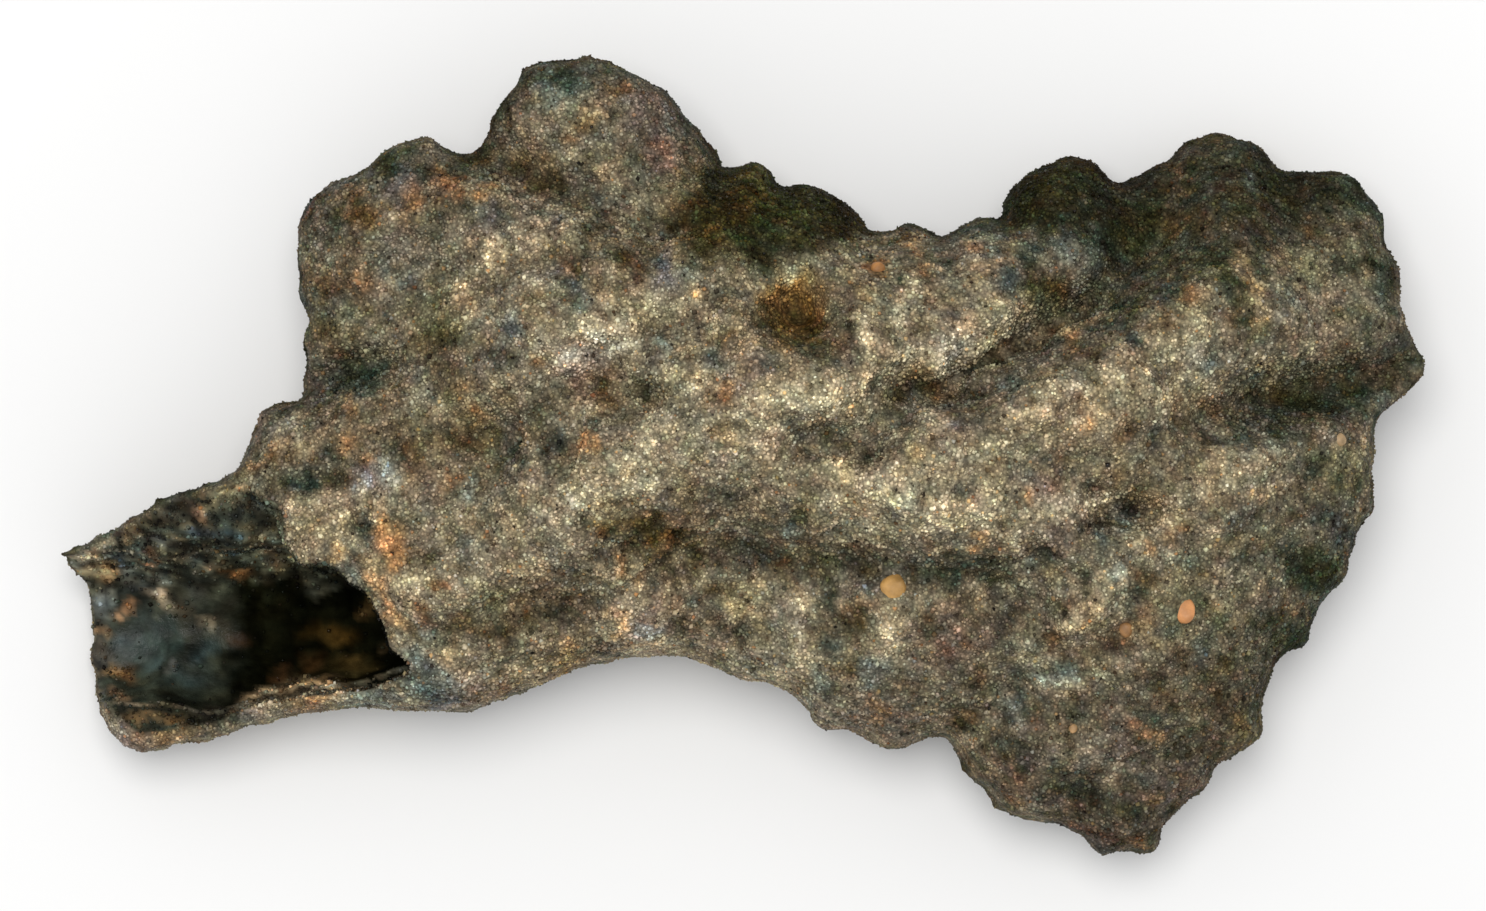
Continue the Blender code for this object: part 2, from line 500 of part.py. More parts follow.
def main():
    for obj in list(bpy.data.objects):
        bpy.data.objects.remove(obj, do_unlink=True)
    loop = closed_curve(OUTLINE, RIM_STEP)
    body = add(
        "fulgurite",
        slab(loop, plan_points(loop, FACE_STEP), upper_face, under_face),
        material("fused_sand", (0.15, 0.13, 0.085), 0.85),
    )
    cut(body, add("bore", bore_mesh()))
    cut(body, add("mouth_break", break_mesh()))
    body.data.shade_smooth()
    body.data.set_sharp_from_angle(angle=0.7)


main()
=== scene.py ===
"""Looks of the fulgurite: fused-sand skin, sand grains, and the glass that lines its bore."""
import math

import bpy
import numpy as np
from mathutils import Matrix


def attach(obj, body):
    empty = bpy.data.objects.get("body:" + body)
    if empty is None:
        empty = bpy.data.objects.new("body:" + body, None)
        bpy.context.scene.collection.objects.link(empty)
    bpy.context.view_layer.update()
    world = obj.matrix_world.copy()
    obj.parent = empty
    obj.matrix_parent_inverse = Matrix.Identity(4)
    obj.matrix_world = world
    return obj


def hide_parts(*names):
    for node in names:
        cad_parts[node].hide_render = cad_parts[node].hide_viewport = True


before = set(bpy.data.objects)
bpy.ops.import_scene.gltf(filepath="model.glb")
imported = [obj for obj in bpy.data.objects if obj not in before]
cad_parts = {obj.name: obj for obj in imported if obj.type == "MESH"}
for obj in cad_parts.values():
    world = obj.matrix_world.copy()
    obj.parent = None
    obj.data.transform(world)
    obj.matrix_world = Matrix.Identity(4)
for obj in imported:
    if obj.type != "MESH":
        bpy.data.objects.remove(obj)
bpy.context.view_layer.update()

import openvdb
from mathutils import Vector

MM = 0.001
RNG = np.random.default_rng(7)

# Plan outline, clockwise from the spike beside the mouth.
SPIKE_AND_UPPER_LIP = [
    (-30.15, -4.3), (-28.9, -3.75), (-28.0, -3.15), (-26.0, -2.25),
    (-24.0, -1.38), (-22.6, -0.88), (-21.8, -0.1), (-21.35, 1.05), (-21.0, 2.05),
    (-20.2, 2.45), (-19.4, 2.5),
]
LEFT_SHOULDER = [
    (-19.2, 3.2), (-19.1, 4.6), (-19.25, 5.4), (-19.05, 6.0), (-19.35, 6.8),
    (-19.45, 8.5), (-19.5, 10.2), (-19.0, 11.4), (-18.0, 12.1), (-16.4, 12.8),
    (-15.4, 13.7), (-14.4, 13.95), (-13.6, 14.1), (-12.9, 13.5), (-12.1, 13.25),
]
UPPER_WING = [
    (-11.4, 13.8), (-10.9, 15.0), (-10.0, 16.2), (-9.6, 17.0), (-9.0, 17.3),
    (-7.6, 17.4), (-6.6, 17.55), (-5.0, 17.0), (-3.4, 16.05), (-2.2, 14.6),
    (-1.1, 13.2),
]
BACK_LOBE = [
    (-0.9, 12.7), (0.0, 12.8), (0.5, 13.0), (1.1, 12.8), (1.5, 12.1),
    (3.1, 12.05), (4.4, 11.5), (5.2, 10.75), (5.8, 10.05),
]
UPPER_MIDDLE = [
    (7.2, 10.25), (8.1, 10.1), (8.7, 9.75), (9.6, 10.2), (10.4, 10.6),
    (11.45, 10.55),
]
UPPER_RIGHT_LOBES = [
    (11.65, 11.5), (12.4, 12.45), (13.6, 13.1), (15.5, 13.25), (16.1, 12.7),
    (16.6, 12.3), (17.6, 12.6), (18.9, 13.25), (19.7, 14.0), (21.0, 14.3),
    (22.4, 14.1), (23.2, 13.55), (23.9, 12.75), (25.4, 12.7), (27.0, 12.5),
]
RIGHT_WING = [
    (27.5, 11.7), (28.0, 10.8), (28.1, 9.6), (28.8, 8.3), (29.0, 6.9),
    (29.35, 5.5), (30.0, 4.35), (30.0, 3.75), (28.8, 2.5), (27.8, 1.5),
    (27.75, 0.0), (27.75, -1.3), (27.95, -2.0), (27.2, -3.2), (26.8, -4.4),
    (26.6, -5.3),
]
LOWER_RIGHT_WING = [
    (25.9, -6.0), (25.3, -7.2), (24.9, -8.2), (23.8, -8.8), (23.1, -10.0),
    (22.85, -11.3), (22.95, -12.2), (21.9, -13.0), (21.0, -13.6),
    (20.5, -14.5), (19.4, -15.45), (18.6, -16.3), (18.35, -17.45),
    (17.2, -17.4), (15.8, -17.55), (15.2, -16.95), (14.2, -16.25),
    (12.4, -15.8), (11.4, -15.5), (10.9, -14.6), (10.0, -13.85),
    (9.5, -12.9), (9.1, -12.35),
]
LOWER_MIDDLE = [
    (8.0, -12.4), (6.8, -12.9), (5.6, -12.5), (4.8, -12.1), (3.5, -11.95),
    (2.8, -11.1), (1.6, -10.1), (0.0, -9.75), (-1.4, -9.15), (-2.8, -8.75),
    (-4.6, -8.75), (-7.0, -9.2), (-8.6, -9.9), (-10.6, -10.65), (-12.2, -11.15),
]
LOWER_LIP_AND_MOUTH = [
    (-14.0, -11.25), (-16.6, -11.05), (-18.8, -11.2), (-20.6, -11.6),
    (-22.2, -11.95), (-23.2, -12.4), (-24.8, -12.55), (-26.4, -12.95),
    (-27.6, -12.5), (-28.45, -11.3), (-28.75, -9.8), (-29.0, -8.7),
    (-28.95, -7.3), (-29.1, -5.9), (-29.4, -5.15),
]
OUTLINE = (
    SPIKE_AND_UPPER_LIP + LEFT_SHOULDER + UPPER_WING + BACK_LOBE + UPPER_MIDDLE
    + UPPER_RIGHT_LOBES + RIGHT_WING + LOWER_RIGHT_WING + LOWER_MIDDLE
    + LOWER_LIP_AND_MOUTH
)

# Height of the rim itself, (x, y, z) round the outline.
RIM_LEVELS = [
    (-29.9, -4.2, 6.4), (-26.0, -2.1, 7.6), (-22.2, -0.4, 7.2),
    (-19.3, 3.5, 5.4), (-19.4, 8.0, 4.6), (-18.4, 12.0, 5.4), (-14.4, 13.9, 6.6),
    (-11.6, 13.5, 6.6), (-9.6, 17.0, 7.4), (-5.0, 17.0, 7.0), (-2.2, 14.6, 6.2),
    (-0.9, 12.7, 3.6), (2.5, 12.1, 2.6), (5.6, 10.2, 3.8), (8.7, 9.8, 6.4),
    (11.2, 10.6, 5.8), (12.4, 12.5, 3.0), (15.5, 13.2, 2.4), (18.6, 13.1, 2.8),
    (21.0, 14.3, 3.4), (24.5, 12.7, 3.0), (27.2, 12.0, 4.2), (28.6, 8.6, 5.8),
    (29.2, 6.0, 6.2), (29.9, 4.1, 6.0), (28.0, 2.0, 5.6), (27.75, -0.5, 5.4),
    (27.4, -3.0, 4.8), (26.0, -5.9, 3.8), (24.4, -8.5, 3.8), (22.9, -11.3, 4.8),
    (21.4, -13.3, 4.8), (19.4, -15.4, 4.0), (17.0, -17.4, 3.4),
    (14.2, -16.2, 3.6), (11.2, -15.2, 4.2), (9.3, -12.6, 4.6),
    (6.6, -12.9, 3.8), (3.4, -11.9, 3.6), (0.0, -9.7, 4.2), (-4.0, -8.7, 4.8),
    (-9.0, -10.1, 4.4), (-13.0, -11.2, 4.4), (-18.0, -11.1, 5.0),
    (-23.0, -12.3, 4.9), (-26.8, -12.9, 4.4), (-28.2, -11.6, 2.4),
    (-28.5, -9.6, 0.5), (-28.5, -8.0, 0.3), (-28.6, -6.6, 0.7), (-29.0, -5.4, 2.9),
]

# Levels of the upper face between its ridges.
TOP_LEVELS = [
    (-27.0, -7.0, 9.4), (-22.0, -6.0, 9.8), (-22.5, -2.2, 9.0),
    (-20.5, -11.6, 6.6), (-23.5, -12.2, 6.4), (-26.5, -12.6, 6.2),
    (-19.0, 0.5, 9.2), (-16.0, -5.0, 10.6), (-15.0, -9.5, 9.4),
    (-17.0, 4.0, 7.8), (-17.0, 9.0, 8.2), (-13.0, 7.5, 9.4), (-14.0, 1.5, 10.2),
    (-13.5, 11.5, 9.0), (-9.5, 12.5, 8.8), (-7.5, 15.5, 10.4),
    (-4.0, 14.0, 10.2), (-4.0, 10.0, 10.4), (-9.0, 2.5, 11.4), (-9.0, 8.0, 11.0),
    (-5.0, 4.5, 12.0), (-1.0, 5.5, 12.2), (0.5, 11.0, 4.9), (3.5, 10.6, 4.6),
    (1.0, 9.2, 6.6), (4.5, 8.0, 9.6), (8.0, 8.3, 9.8), (10.6, 9.0, 9.4),
    (12.8, 7.6, 8.2), (14.0, 11.2, 5.0), (16.5, 9.2, 5.6), (18.5, 11.0, 4.8),
    (21.5, 12.2, 5.6), (25.5, 11.4, 5.4), (24.0, 8.5, 8.6), (27.4, 7.0, 8.0),
    (25.0, 4.6, 9.2), (28.0, 4.0, 8.2), (-9.0, -4.5, 11.0), (-4.0, -2.5, 12.4),
    (0.0, 0.5, 13.2), (5.0, 0.5, 13.0), (10.0, -1.0, 12.6), (9.5, 4.0, 11.2),
    (14.0, 5.5, 9.6), (16.5, 0.5, 12.4), (20.0, 2.6, 11.2), (22.5, -1.0, 10.2),
    (26.0, -1.6, 8.2), (-8.0, -7.8, 9.2), (-3.0, -6.8, 9.6), (1.5, -5.6, 10.2),
    (1.0, -8.4, 8.6), (5.0, -9.6, 8.4), (7.5, -6.4, 10.0), (10.5, -9.5, 8.8),
    (14.0, -5.0, 10.6), (18.5, -6.0, 10.0), (22.5, -5.5, 8.4),
    (16.0, -10.0, 8.8), (20.5, -10.0, 7.6), (13.0, -13.2, 7.0),
    (17.0, -14.6, 6.6), (6.6, -11.6, 7.0),
]

# Levels of the under face between its ribs.
UNDER_LEVELS = [
    (-25.0, -8.0, 0.2), (-24.0, -4.0, 4.6), (-19.0, -2.0, 3.6),
    (-17.0, -8.0, 0.6), (-17.0, 4.0, 3.2), (-16.5, 9.5, 3.0), (-12.0, 11.0, 4.6),
    (-7.5, 14.8, 5.0), (-4.0, 11.0, 4.4), (-9.0, 4.0, 3.0), (-9.0, -6.0, 1.6),
    (-2.0, 4.0, 2.6), (-2.0, -4.5, 1.4), (1.8, 10.8, 1.0), (6.0, 7.0, 3.0),
    (9.5, 8.4, 3.6), (4.0, 0.0, 1.8), (12.5, 4.0, 2.4), (15.0, 11.0, 1.0),
    (21.0, 11.8, 1.6), (25.5, 10.6, 2.2), (25.0, 6.5, 2.8), (25.6, 1.0, 2.4),
    (25.0, -3.0, 2.6), (19.0, 0.5, 1.6), (20.0, -5.0, 2.2), (13.0, -4.0, 1.6),
    (2.0, -8.4, 2.2), (6.4, -10.4, 2.0), (10.0, -9.0, 2.0), (21.5, -10.8, 2.6),
    (13.0, -13.6, 2.0), (17.4, -15.4, 2.0),
]

# A ridge: points (x, y, z) of its crest, fall to the left of its run, fall to
# the right (mm per mm), and radius of the crest.
TOP_RIDGES = [
    ([(-14.2, -1.2, 11.0), (-8.4, 4.8, 13.0), (-5.0, 6.9, 13.6), (-1.8, 7.5, 12.4)], 0.75, 0.7, 1.2),
    ([(-15.0, -8.2, 9.6), (-11.0, -4.8, 12.0), (-7.5, -2.2, 13.8), (-4.0, 0.2, 14.8), (0.8, 2.4, 15.2), (5.4, 3.2, 14.8), (9.8, 5.8, 12.6)], 0.7, 0.8, 1.3),
    ([(2.6, -0.9, 14.2), (7.0, -1.0, 15.0), (10.6, -1.6, 14.4), (14.4, -2.9, 12.6)], 0.8, 0.9, 1.2),
    ([(6.6, -0.6, 14.8), (9.0, 0.9, 14.9), (11.6, 2.2, 14.9), (15.8, 3.9, 14.2), (20.4, 7.3, 12.0)], 2.2, 0.55, 0.9),
    ([(18.6, 0.2, 12.2), (22.5, 0.8, 11.2), (27.0, 1.3, 8.8)], 1.5, 0.6, 0.8),
    ([(21.6, 9.6, 9.2), (22.6, 7.0, 10.4), (23.6, 5.0, 9.8)], 1.2, 1.0, 0.8),
    ([(12.6, -7.6, 10.6), (15.6, -4.6, 12.0), (18.4, -1.8, 12.4)], 1.4, 0.6, 0.9),
    ([(2.2, -8.6, 10.0), (5.6, -7.4, 10.8), (7.0, -5.4, 11.4)], 0.9, 0.8, 1.2),
    ([(-18.6, 0.8, 9.6), (-16.6, 2.2, 10.0), (-14.8, 2.6, 10.4)], 1.6, 0.6, 0.8),
    ([(17.2, -15.6, 7.2), (16.0, -11.6, 9.2), (17.6, -7.4, 10.8)], 0.6, 0.6, 1.5),
    ([(-13.8, 12.6, 8.8), (-10.4, 9.6, 10.8), (-7.4, 9.8, 11.4)], 0.6, 0.7, 1.2),
]

# A groove: points (x, y) of its floor, depth, half-width.
TOP_GROOVES = [
    ([(2.6, 0.9), (5.6, 1.0)], 1.3, 1.1),
    ([(5.8, 3.1), (8.6, 3.2), (11.6, 4.6), (15.0, 6.2)], 1.9, 1.2),
    ([(-6.6, 3.3), (-4.2, 2.6)], 1.3, 1.1),
    ([(-12.0, 1.2), (-8.4, 0.6)], 1.4, 1.4),
    ([(-4.8, -3.6), (-2.0, -4.2), (1.6, -4.2), (6.0, -4.4), (11.4, -5.2)], 1.7, 1.5),
    ([(-10.2, -6.2), (-6.8, -6.4)], 1.2, 1.1),
    ([(-2.2, -7.6), (1.0, -7.9)], 1.0, 1.0),
    ([(-18.6, 3.1), (-17.4, 3.8), (-15.6, 3.9)], 1.7, 0.8),
    ([(19.6, 2.2), (22.6, 2.5), (25.6, 3.2), (29.6, 3.8)], 2.3, 1.2),
    ([(15.6, -2.3), (17.8, -2.4)], 1.5, 0.9),
    ([(23.8, -4.2), (25.0, -7.6)], 1.0, 1.1),
    ([(10.0, -12.0), (12.0, -10.0)], 1.0, 1.2),
    ([(14.2, -14.8), (16.4, -14.0)], 0.9, 1.1),
    ([(-11.0, 13.6), (-8.8, 12.0), (-6.4, 11.2), (-3.4, 9.6)], 1.3, 1.0),
    ([(2.4, 6.7), (2.5, 6.4)], 2.6, 1.2),
]

# Ribs and fins of the under face: crest points, fall, radius.
UNDER_RIBS = [
    ([(-27.5, -8.4, -0.3), (-17.0, -8.0, -0.4), (-9.0, -5.6, 0.5), (0.0, -2.8, 0.8), (9.0, 0.0, 0.7), (17.0, 1.6, 0.9), (25.0, 2.8, 0.9), (28.0, 3.3, 1.0)], 0.5, 2.4),
    ([(-2.5, -1.0, 1.0), (0.8, 5.0, 1.0), (1.9, 10.2, -0.5)], 0.6, 1.4),
    ([(6.0, -3.0, 1.0), (12.0, -6.8, 0.4), (15.8, -9.6, -0.6), (17.4, -14.4, 1.2)], 0.5, 1.6),
    ([(-10.0, -3.0, 1.0), (-13.0, 3.6, 1.4), (-15.4, 10.6, 2.4)], 0.6, 1.3),
    ([(13.5, 2.4, 1.2), (17.6, 7.0, 0.8), (21.2, 11.0, -0.4)], 0.6, 1.4),
    ([(-5.0, 4.0, 2.0), (-6.6, 10.0, 3.0), (-7.4, 15.0, 4.4)], 0.6, 1.2),
    ([(17.0, -1.0, 1.2), (24.6, -3.6, 1.8)], 0.6, 1.2),
]
UNDER_GROOVES = [
    ([(-21.0, -3.6), (-14.0, -0.5), (-8.0, 1.4)], 1.0, 1.0),
    ([(3.0, -7.0), (8.0, -9.4)], 0.9, 1.1),
    ([(5.0, 4.4), (10.0, 5.6), (13.0, 8.2)], 1.2, 1.1),
    ([(18.6, 4.2), (24.6, 7.4)], 0.9, 1.1),
    ([(-12.0, 7.6), (-10.0, 12.2)], 0.9, 1.0),
    ([(18.4, -9.0), (19.6, -12.8)], 0.8, 1.0),
]

# The bore, by its cross sections: x, centre y and z, half-width, half-height.
BORE = [
    (-33.0, -7.75, 4.90, 3.30, 3.75), (-28.0, -7.75, 4.85, 3.25, 3.60),
    (-24.0, -7.75, 4.90, 3.20, 3.55), (-20.0, -7.4, 5.00, 2.95, 3.45),
    (-16.0, -7.05, 5.10, 2.70, 3.20), (-12.0, -6.4, 5.20, 2.55, 2.90),
    (-6.0, -4.6, 5.40, 2.50, 2.60), (0.0, -2.7, 5.50, 2.60, 2.40),
    (8.0, -0.4, 5.50, 2.70, 2.30), (16.0, 1.2, 5.20, 2.60, 2.00),
    (22.0, 2.4, 4.50, 2.45, 1.65), (27.0, 3.3, 3.70, 2.15, 1.35),
    (33.0, 4.3, 3.20, 2.15, 1.30),
]

# Plan of the broken-away side of the mouth: the edge of the wall that is left.
MOUTH_BREAK = [
    (-34.0, 2.0), (-24.0, 1.0), (-22.5, -0.35), (-21.3, -1.2), (-20.45, -2.0),
    (-20.2, -3.0), (-19.8, -3.95), (-19.1, -4.65), (-17.6, -4.8), (-16.7, -5.55),
    (-16.1, -6.1), (-15.7, -6.95), (-15.1, -7.8), (-14.45, -8.4),
    (-14.25, -9.0), (-14.5, -9.6), (-15.7, -10.0), (-17.3, -10.25),
    (-19.5, -10.55), (-21.6, -10.85), (-23.2, -11.45), (-24.4, -11.75), (-25.6, -11.9),
    (-26.6, -11.8), (-27.4, -11.35), (-28.0, -10.7), (-34.0, -10.6),
]
BREAK_FLOOR = 4.9  # level at which the break meets the bore
BREAK_SLOPE = 1.05  # rise of the broken upper lip towards the rim
BREAK_SLOPE_FROM = -4.6


def closed_curve(points, step):
    """Even points along a smooth closed curve through the given ones."""
    p = np.array(points, dtype=float)
    dense = []
    for i in range(len(p)):
        a, b, c, d = p[i - 1], p[i], p[(i + 1) % len(p)], p[(i + 2) % len(p)]
        t1 = np.sqrt(np.linalg.norm(b - a))
        t2 = t1 + np.sqrt(np.linalg.norm(c - b))
        t3 = t2 + np.sqrt(np.linalg.norm(d - c))
        for t in np.linspace(t1, t2, 12, endpoint=False):
            ab = a * (t1 - t) / t1 + b * t / t1
            bc = b * (t2 - t) / (t2 - t1) + c * (t - t1) / (t2 - t1)
            cd = c * (t3 - t) / (t3 - t2) + d * (t - t2) / (t3 - t2)
            abc = ab * (t2 - t) / t2 + bc * t / t2
            bcd = bc * (t3 - t) / (t3 - t1) + cd * (t - t1) / (t3 - t1)
            dense.append(abc * (t2 - t) / (t2 - t1) + bcd * (t - t1) / (t2 - t1))
    dense = np.array(dense)
    loop = np.vstack([dense, dense[:1]])
    along = np.concatenate([[0.0], np.cumsum(np.linalg.norm(np.diff(loop, axis=0), axis=1))])
    count = int(round(along[-1] / step))
    at = np.arange(count) * along[-1] / count
    return np.column_stack([np.interp(at, along, loop[:, k]) for k in (0, 1)])


def distance_inside(loop, xy):
    """Distance from each point to the closed loop, negative outside it."""
    best = np.full(len(xy), 1e9)
    inside = np.zeros(len(xy), dtype=bool)
    x, y = xy[:, 0], xy[:, 1]
    for a, b in zip(loop, np.roll(loop, -1, axis=0)):
        run = b - a
        t = np.clip(((x - a[0]) * run[0] + (y - a[1]) * run[1]) / (run @ run), 0, 1)
        best = np.minimum(best, np.hypot(x - a[0] - t * run[0], y - a[1] - t * run[1]))
        crosses = (a[1] > y) != (b[1] > y)
        if a[1] != b[1]:
            inside ^= crosses & (x < a[0] + (y - a[1]) * run[0] / run[1])
    return np.where(inside, best, -best)


def blended(levels, xy, spread):
    """A smooth surface through a few set levels."""
    total = np.zeros(len(xy))
    weight = np.zeros(len(xy))
    for x, y, z in levels:
        d2 = (xy[:, 0] - x) ** 2 + (xy[:, 1] - y) ** 2
        w = np.exp(-d2 / (2 * spread**2)) + 1e-4 / (1.0 + d2)
        total += w * z
        weight += w
    return total / weight


def nearest_on(line, xy):
    """Distance to a polyline, the side of it (1 left to -1 right, turning
    smoothly round its ends), and its third value there."""
    p = np.array(line, dtype=float)
    best = np.full(len(xy), 1e9)
    side = np.zeros(len(xy))
    level = np.zeros(len(xy))
    for a, b in zip(p[:-1], p[1:]):
        run = b[:2] - a[:2]
        dx, dy = xy[:, 0] - a[0], xy[:, 1] - a[1]
        t = np.clip((dx * run[0] + dy * run[1]) / (run @ run), 0, 1)
        d = np.hypot(dx - t * run[0], dy - t * run[1])
        near = d < best
        across = (run[0] * dy - run[1] * dx) / np.linalg.norm(run)
        best = np.where(near, d, best)
        side = np.where(near, np.clip(across / np.maximum(d, 1e-6), -1, 1), side)
        if p.shape[1] > 2:
            level = np.where(near, a[2] + t * (b[2] - a[2]), level)
    return best, side, level


def soft_max(a, b, k):
    h = np.maximum(k - np.abs(a - b), 0) / k
    return np.maximum(a, b) + h * h * k / 4


def rolled(t):
    """0 on the rim to 1 inside it, as a rounded edge."""
    t = np.clip(t, 0, 1)
    return np.sqrt(1 - (1 - t) ** 2)


def rim_level(xy):
    return blended(RIM_LEVELS, xy, 2.2)


def upper_face(xy, d):
    z = blended(TOP_LEVELS, xy, LEVEL_SPREAD)
    for crest, left, right, radius in TOP_RIDGES:
        off, side, level = nearest_on(crest, xy)
        fall = right + (left - right) * (0.5 + 0.5 * side)
        z = soft_max(z, level - fall * (np.hypot(off, radius) - radius), 0.9)
    for floor, depth, half in TOP_GROOVES:
        off, _, _ = nearest_on(floor, xy)
        z = z - depth * np.exp(-((off / half) ** 2))
    rim = rim_level(xy)
    return rim + (z - rim) * rolled(d / ROLL_TOP)


def under_face(xy, d):
    z = blended(UNDER_LEVELS, xy, LEVEL_SPREAD)
    for floor, depth, half in UNDER_GROOVES:
        off, _, _ = nearest_on(floor, xy)
        z = z + depth * np.exp(-((off / half) ** 2))
    for crest, fall, radius in UNDER_RIBS:
        off, _, level = nearest_on(crest, xy)
        z = -soft_max(-z, -(level + fall * (np.hypot(off, radius) - radius)), 0.9)
    rim = rim_level(xy)
    z = rim + (z - rim) * rolled(d / ROLL_UNDER)
    return np.maximum(z, 0.0)  # worn flat where it lies


def bore_section(x):
    table = np.array(BORE)
    return [np.interp(x, table[:, 0], table[:, k]) for k in range(1, 5)]



# ------------------------------------------------------------- patches of the upper face
# Patches placed on the upper face, in mm: (line of points, reach, tone, warmth).
# Tone is in stops, + is paler sand and - is darker; warmth + is browner, - is greyer and bluer.
BROAD = [
    ([(-17.5, 10.0), (-17.5, 5.5)], 2.6, -0.22, 0.0),
    ([(-8.0, 15.0), (-4.5, 13.5)], 2.6, -0.12, -0.4),
    # The next three strokes darken the back lobe and the lobes at the upper right, which lie low behind the front:
    # partly painted shade, partly their olive colour.
    ([(-1.4, 10.9), (1.0, 11.2), (4.0, 10.9)], 1.35, -1.6, 0.9),
    ([(12.9, 11.9), (15.6, 12.0), (19.0, 11.7), (23.0, 12.7), (26.6, 12.1)], 1.9, -1.4, 0.1),
    ([(12.6, 11.0), (16.0, 10.6), (20.0, 10.4), (23.6, 11.2)], 1.0, -0.45, 0.0),
    ([(15.9, 8.4), (18.0, 8.3), (20.6, 8.8)], 1.1, -0.85, 0.1),
    ([(12.0, -13.0), (16.0, -15.5), (19.5, -13.0)], 3.0, -0.42, 0.3),
    ([(21.5, -10.5), (24.0, -7.6), (26.2, -4.0)], 1.9, -0.45, 0.0),
    ([(14.5, -2.5), (9.0, -1.5), (4.0, -1.2)], 1.6, 0.35, 0.0),
    ([(-13.0, -4.5), (-9.0, -2.6), (-5.0, -0.6), (-1.0, 1.6), (4.0, 2.9)], 1.6, 0.40, 0.1),
    ([(11.5, 1.6), (15.5, 3.0), (19.6, 4.9)], 1.5, 0.42, 0.1),
    ([(-8.4, 4.6), (-5.2, 6.0), (-2.2, 7.3)], 1.3, 0.45, 0.0),
    ([(-19.2, -2.8), (-17.4, -3.0)], 1.3, 0.45, 0.2),
    # The next two strokes darken the deep fold at the right-hand end: painted shade in the fold.
    ([(23.5, 3.0), (26.0, 3.0), (29.0, 4.0)], 1.2, -0.85, 0.0),
    ([(22.0, 1.9), (24.4, 2.0), (27.0, 2.4)], 0.8, -0.55, -0.2),
    ([(-5.0, -3.3), (-2.4, -3.6), (0.8, -3.9), (3.6, -4.5), (5.4, -4.6)], 0.9, -0.55, 0.4),
    ([(7.4, -4.9), (9.0, -4.7), (11.5, -5.0)], 0.7, -0.75, -0.3),
    ([(9.6, 3.3), (10.8, 2.3), (12.0, 3.3)], 1.0, -0.5, -0.2),
    ([(11.6, 4.8), (13.6, 4.9), (15.2, 4.6)], 0.8, -0.6, 0.3),
]
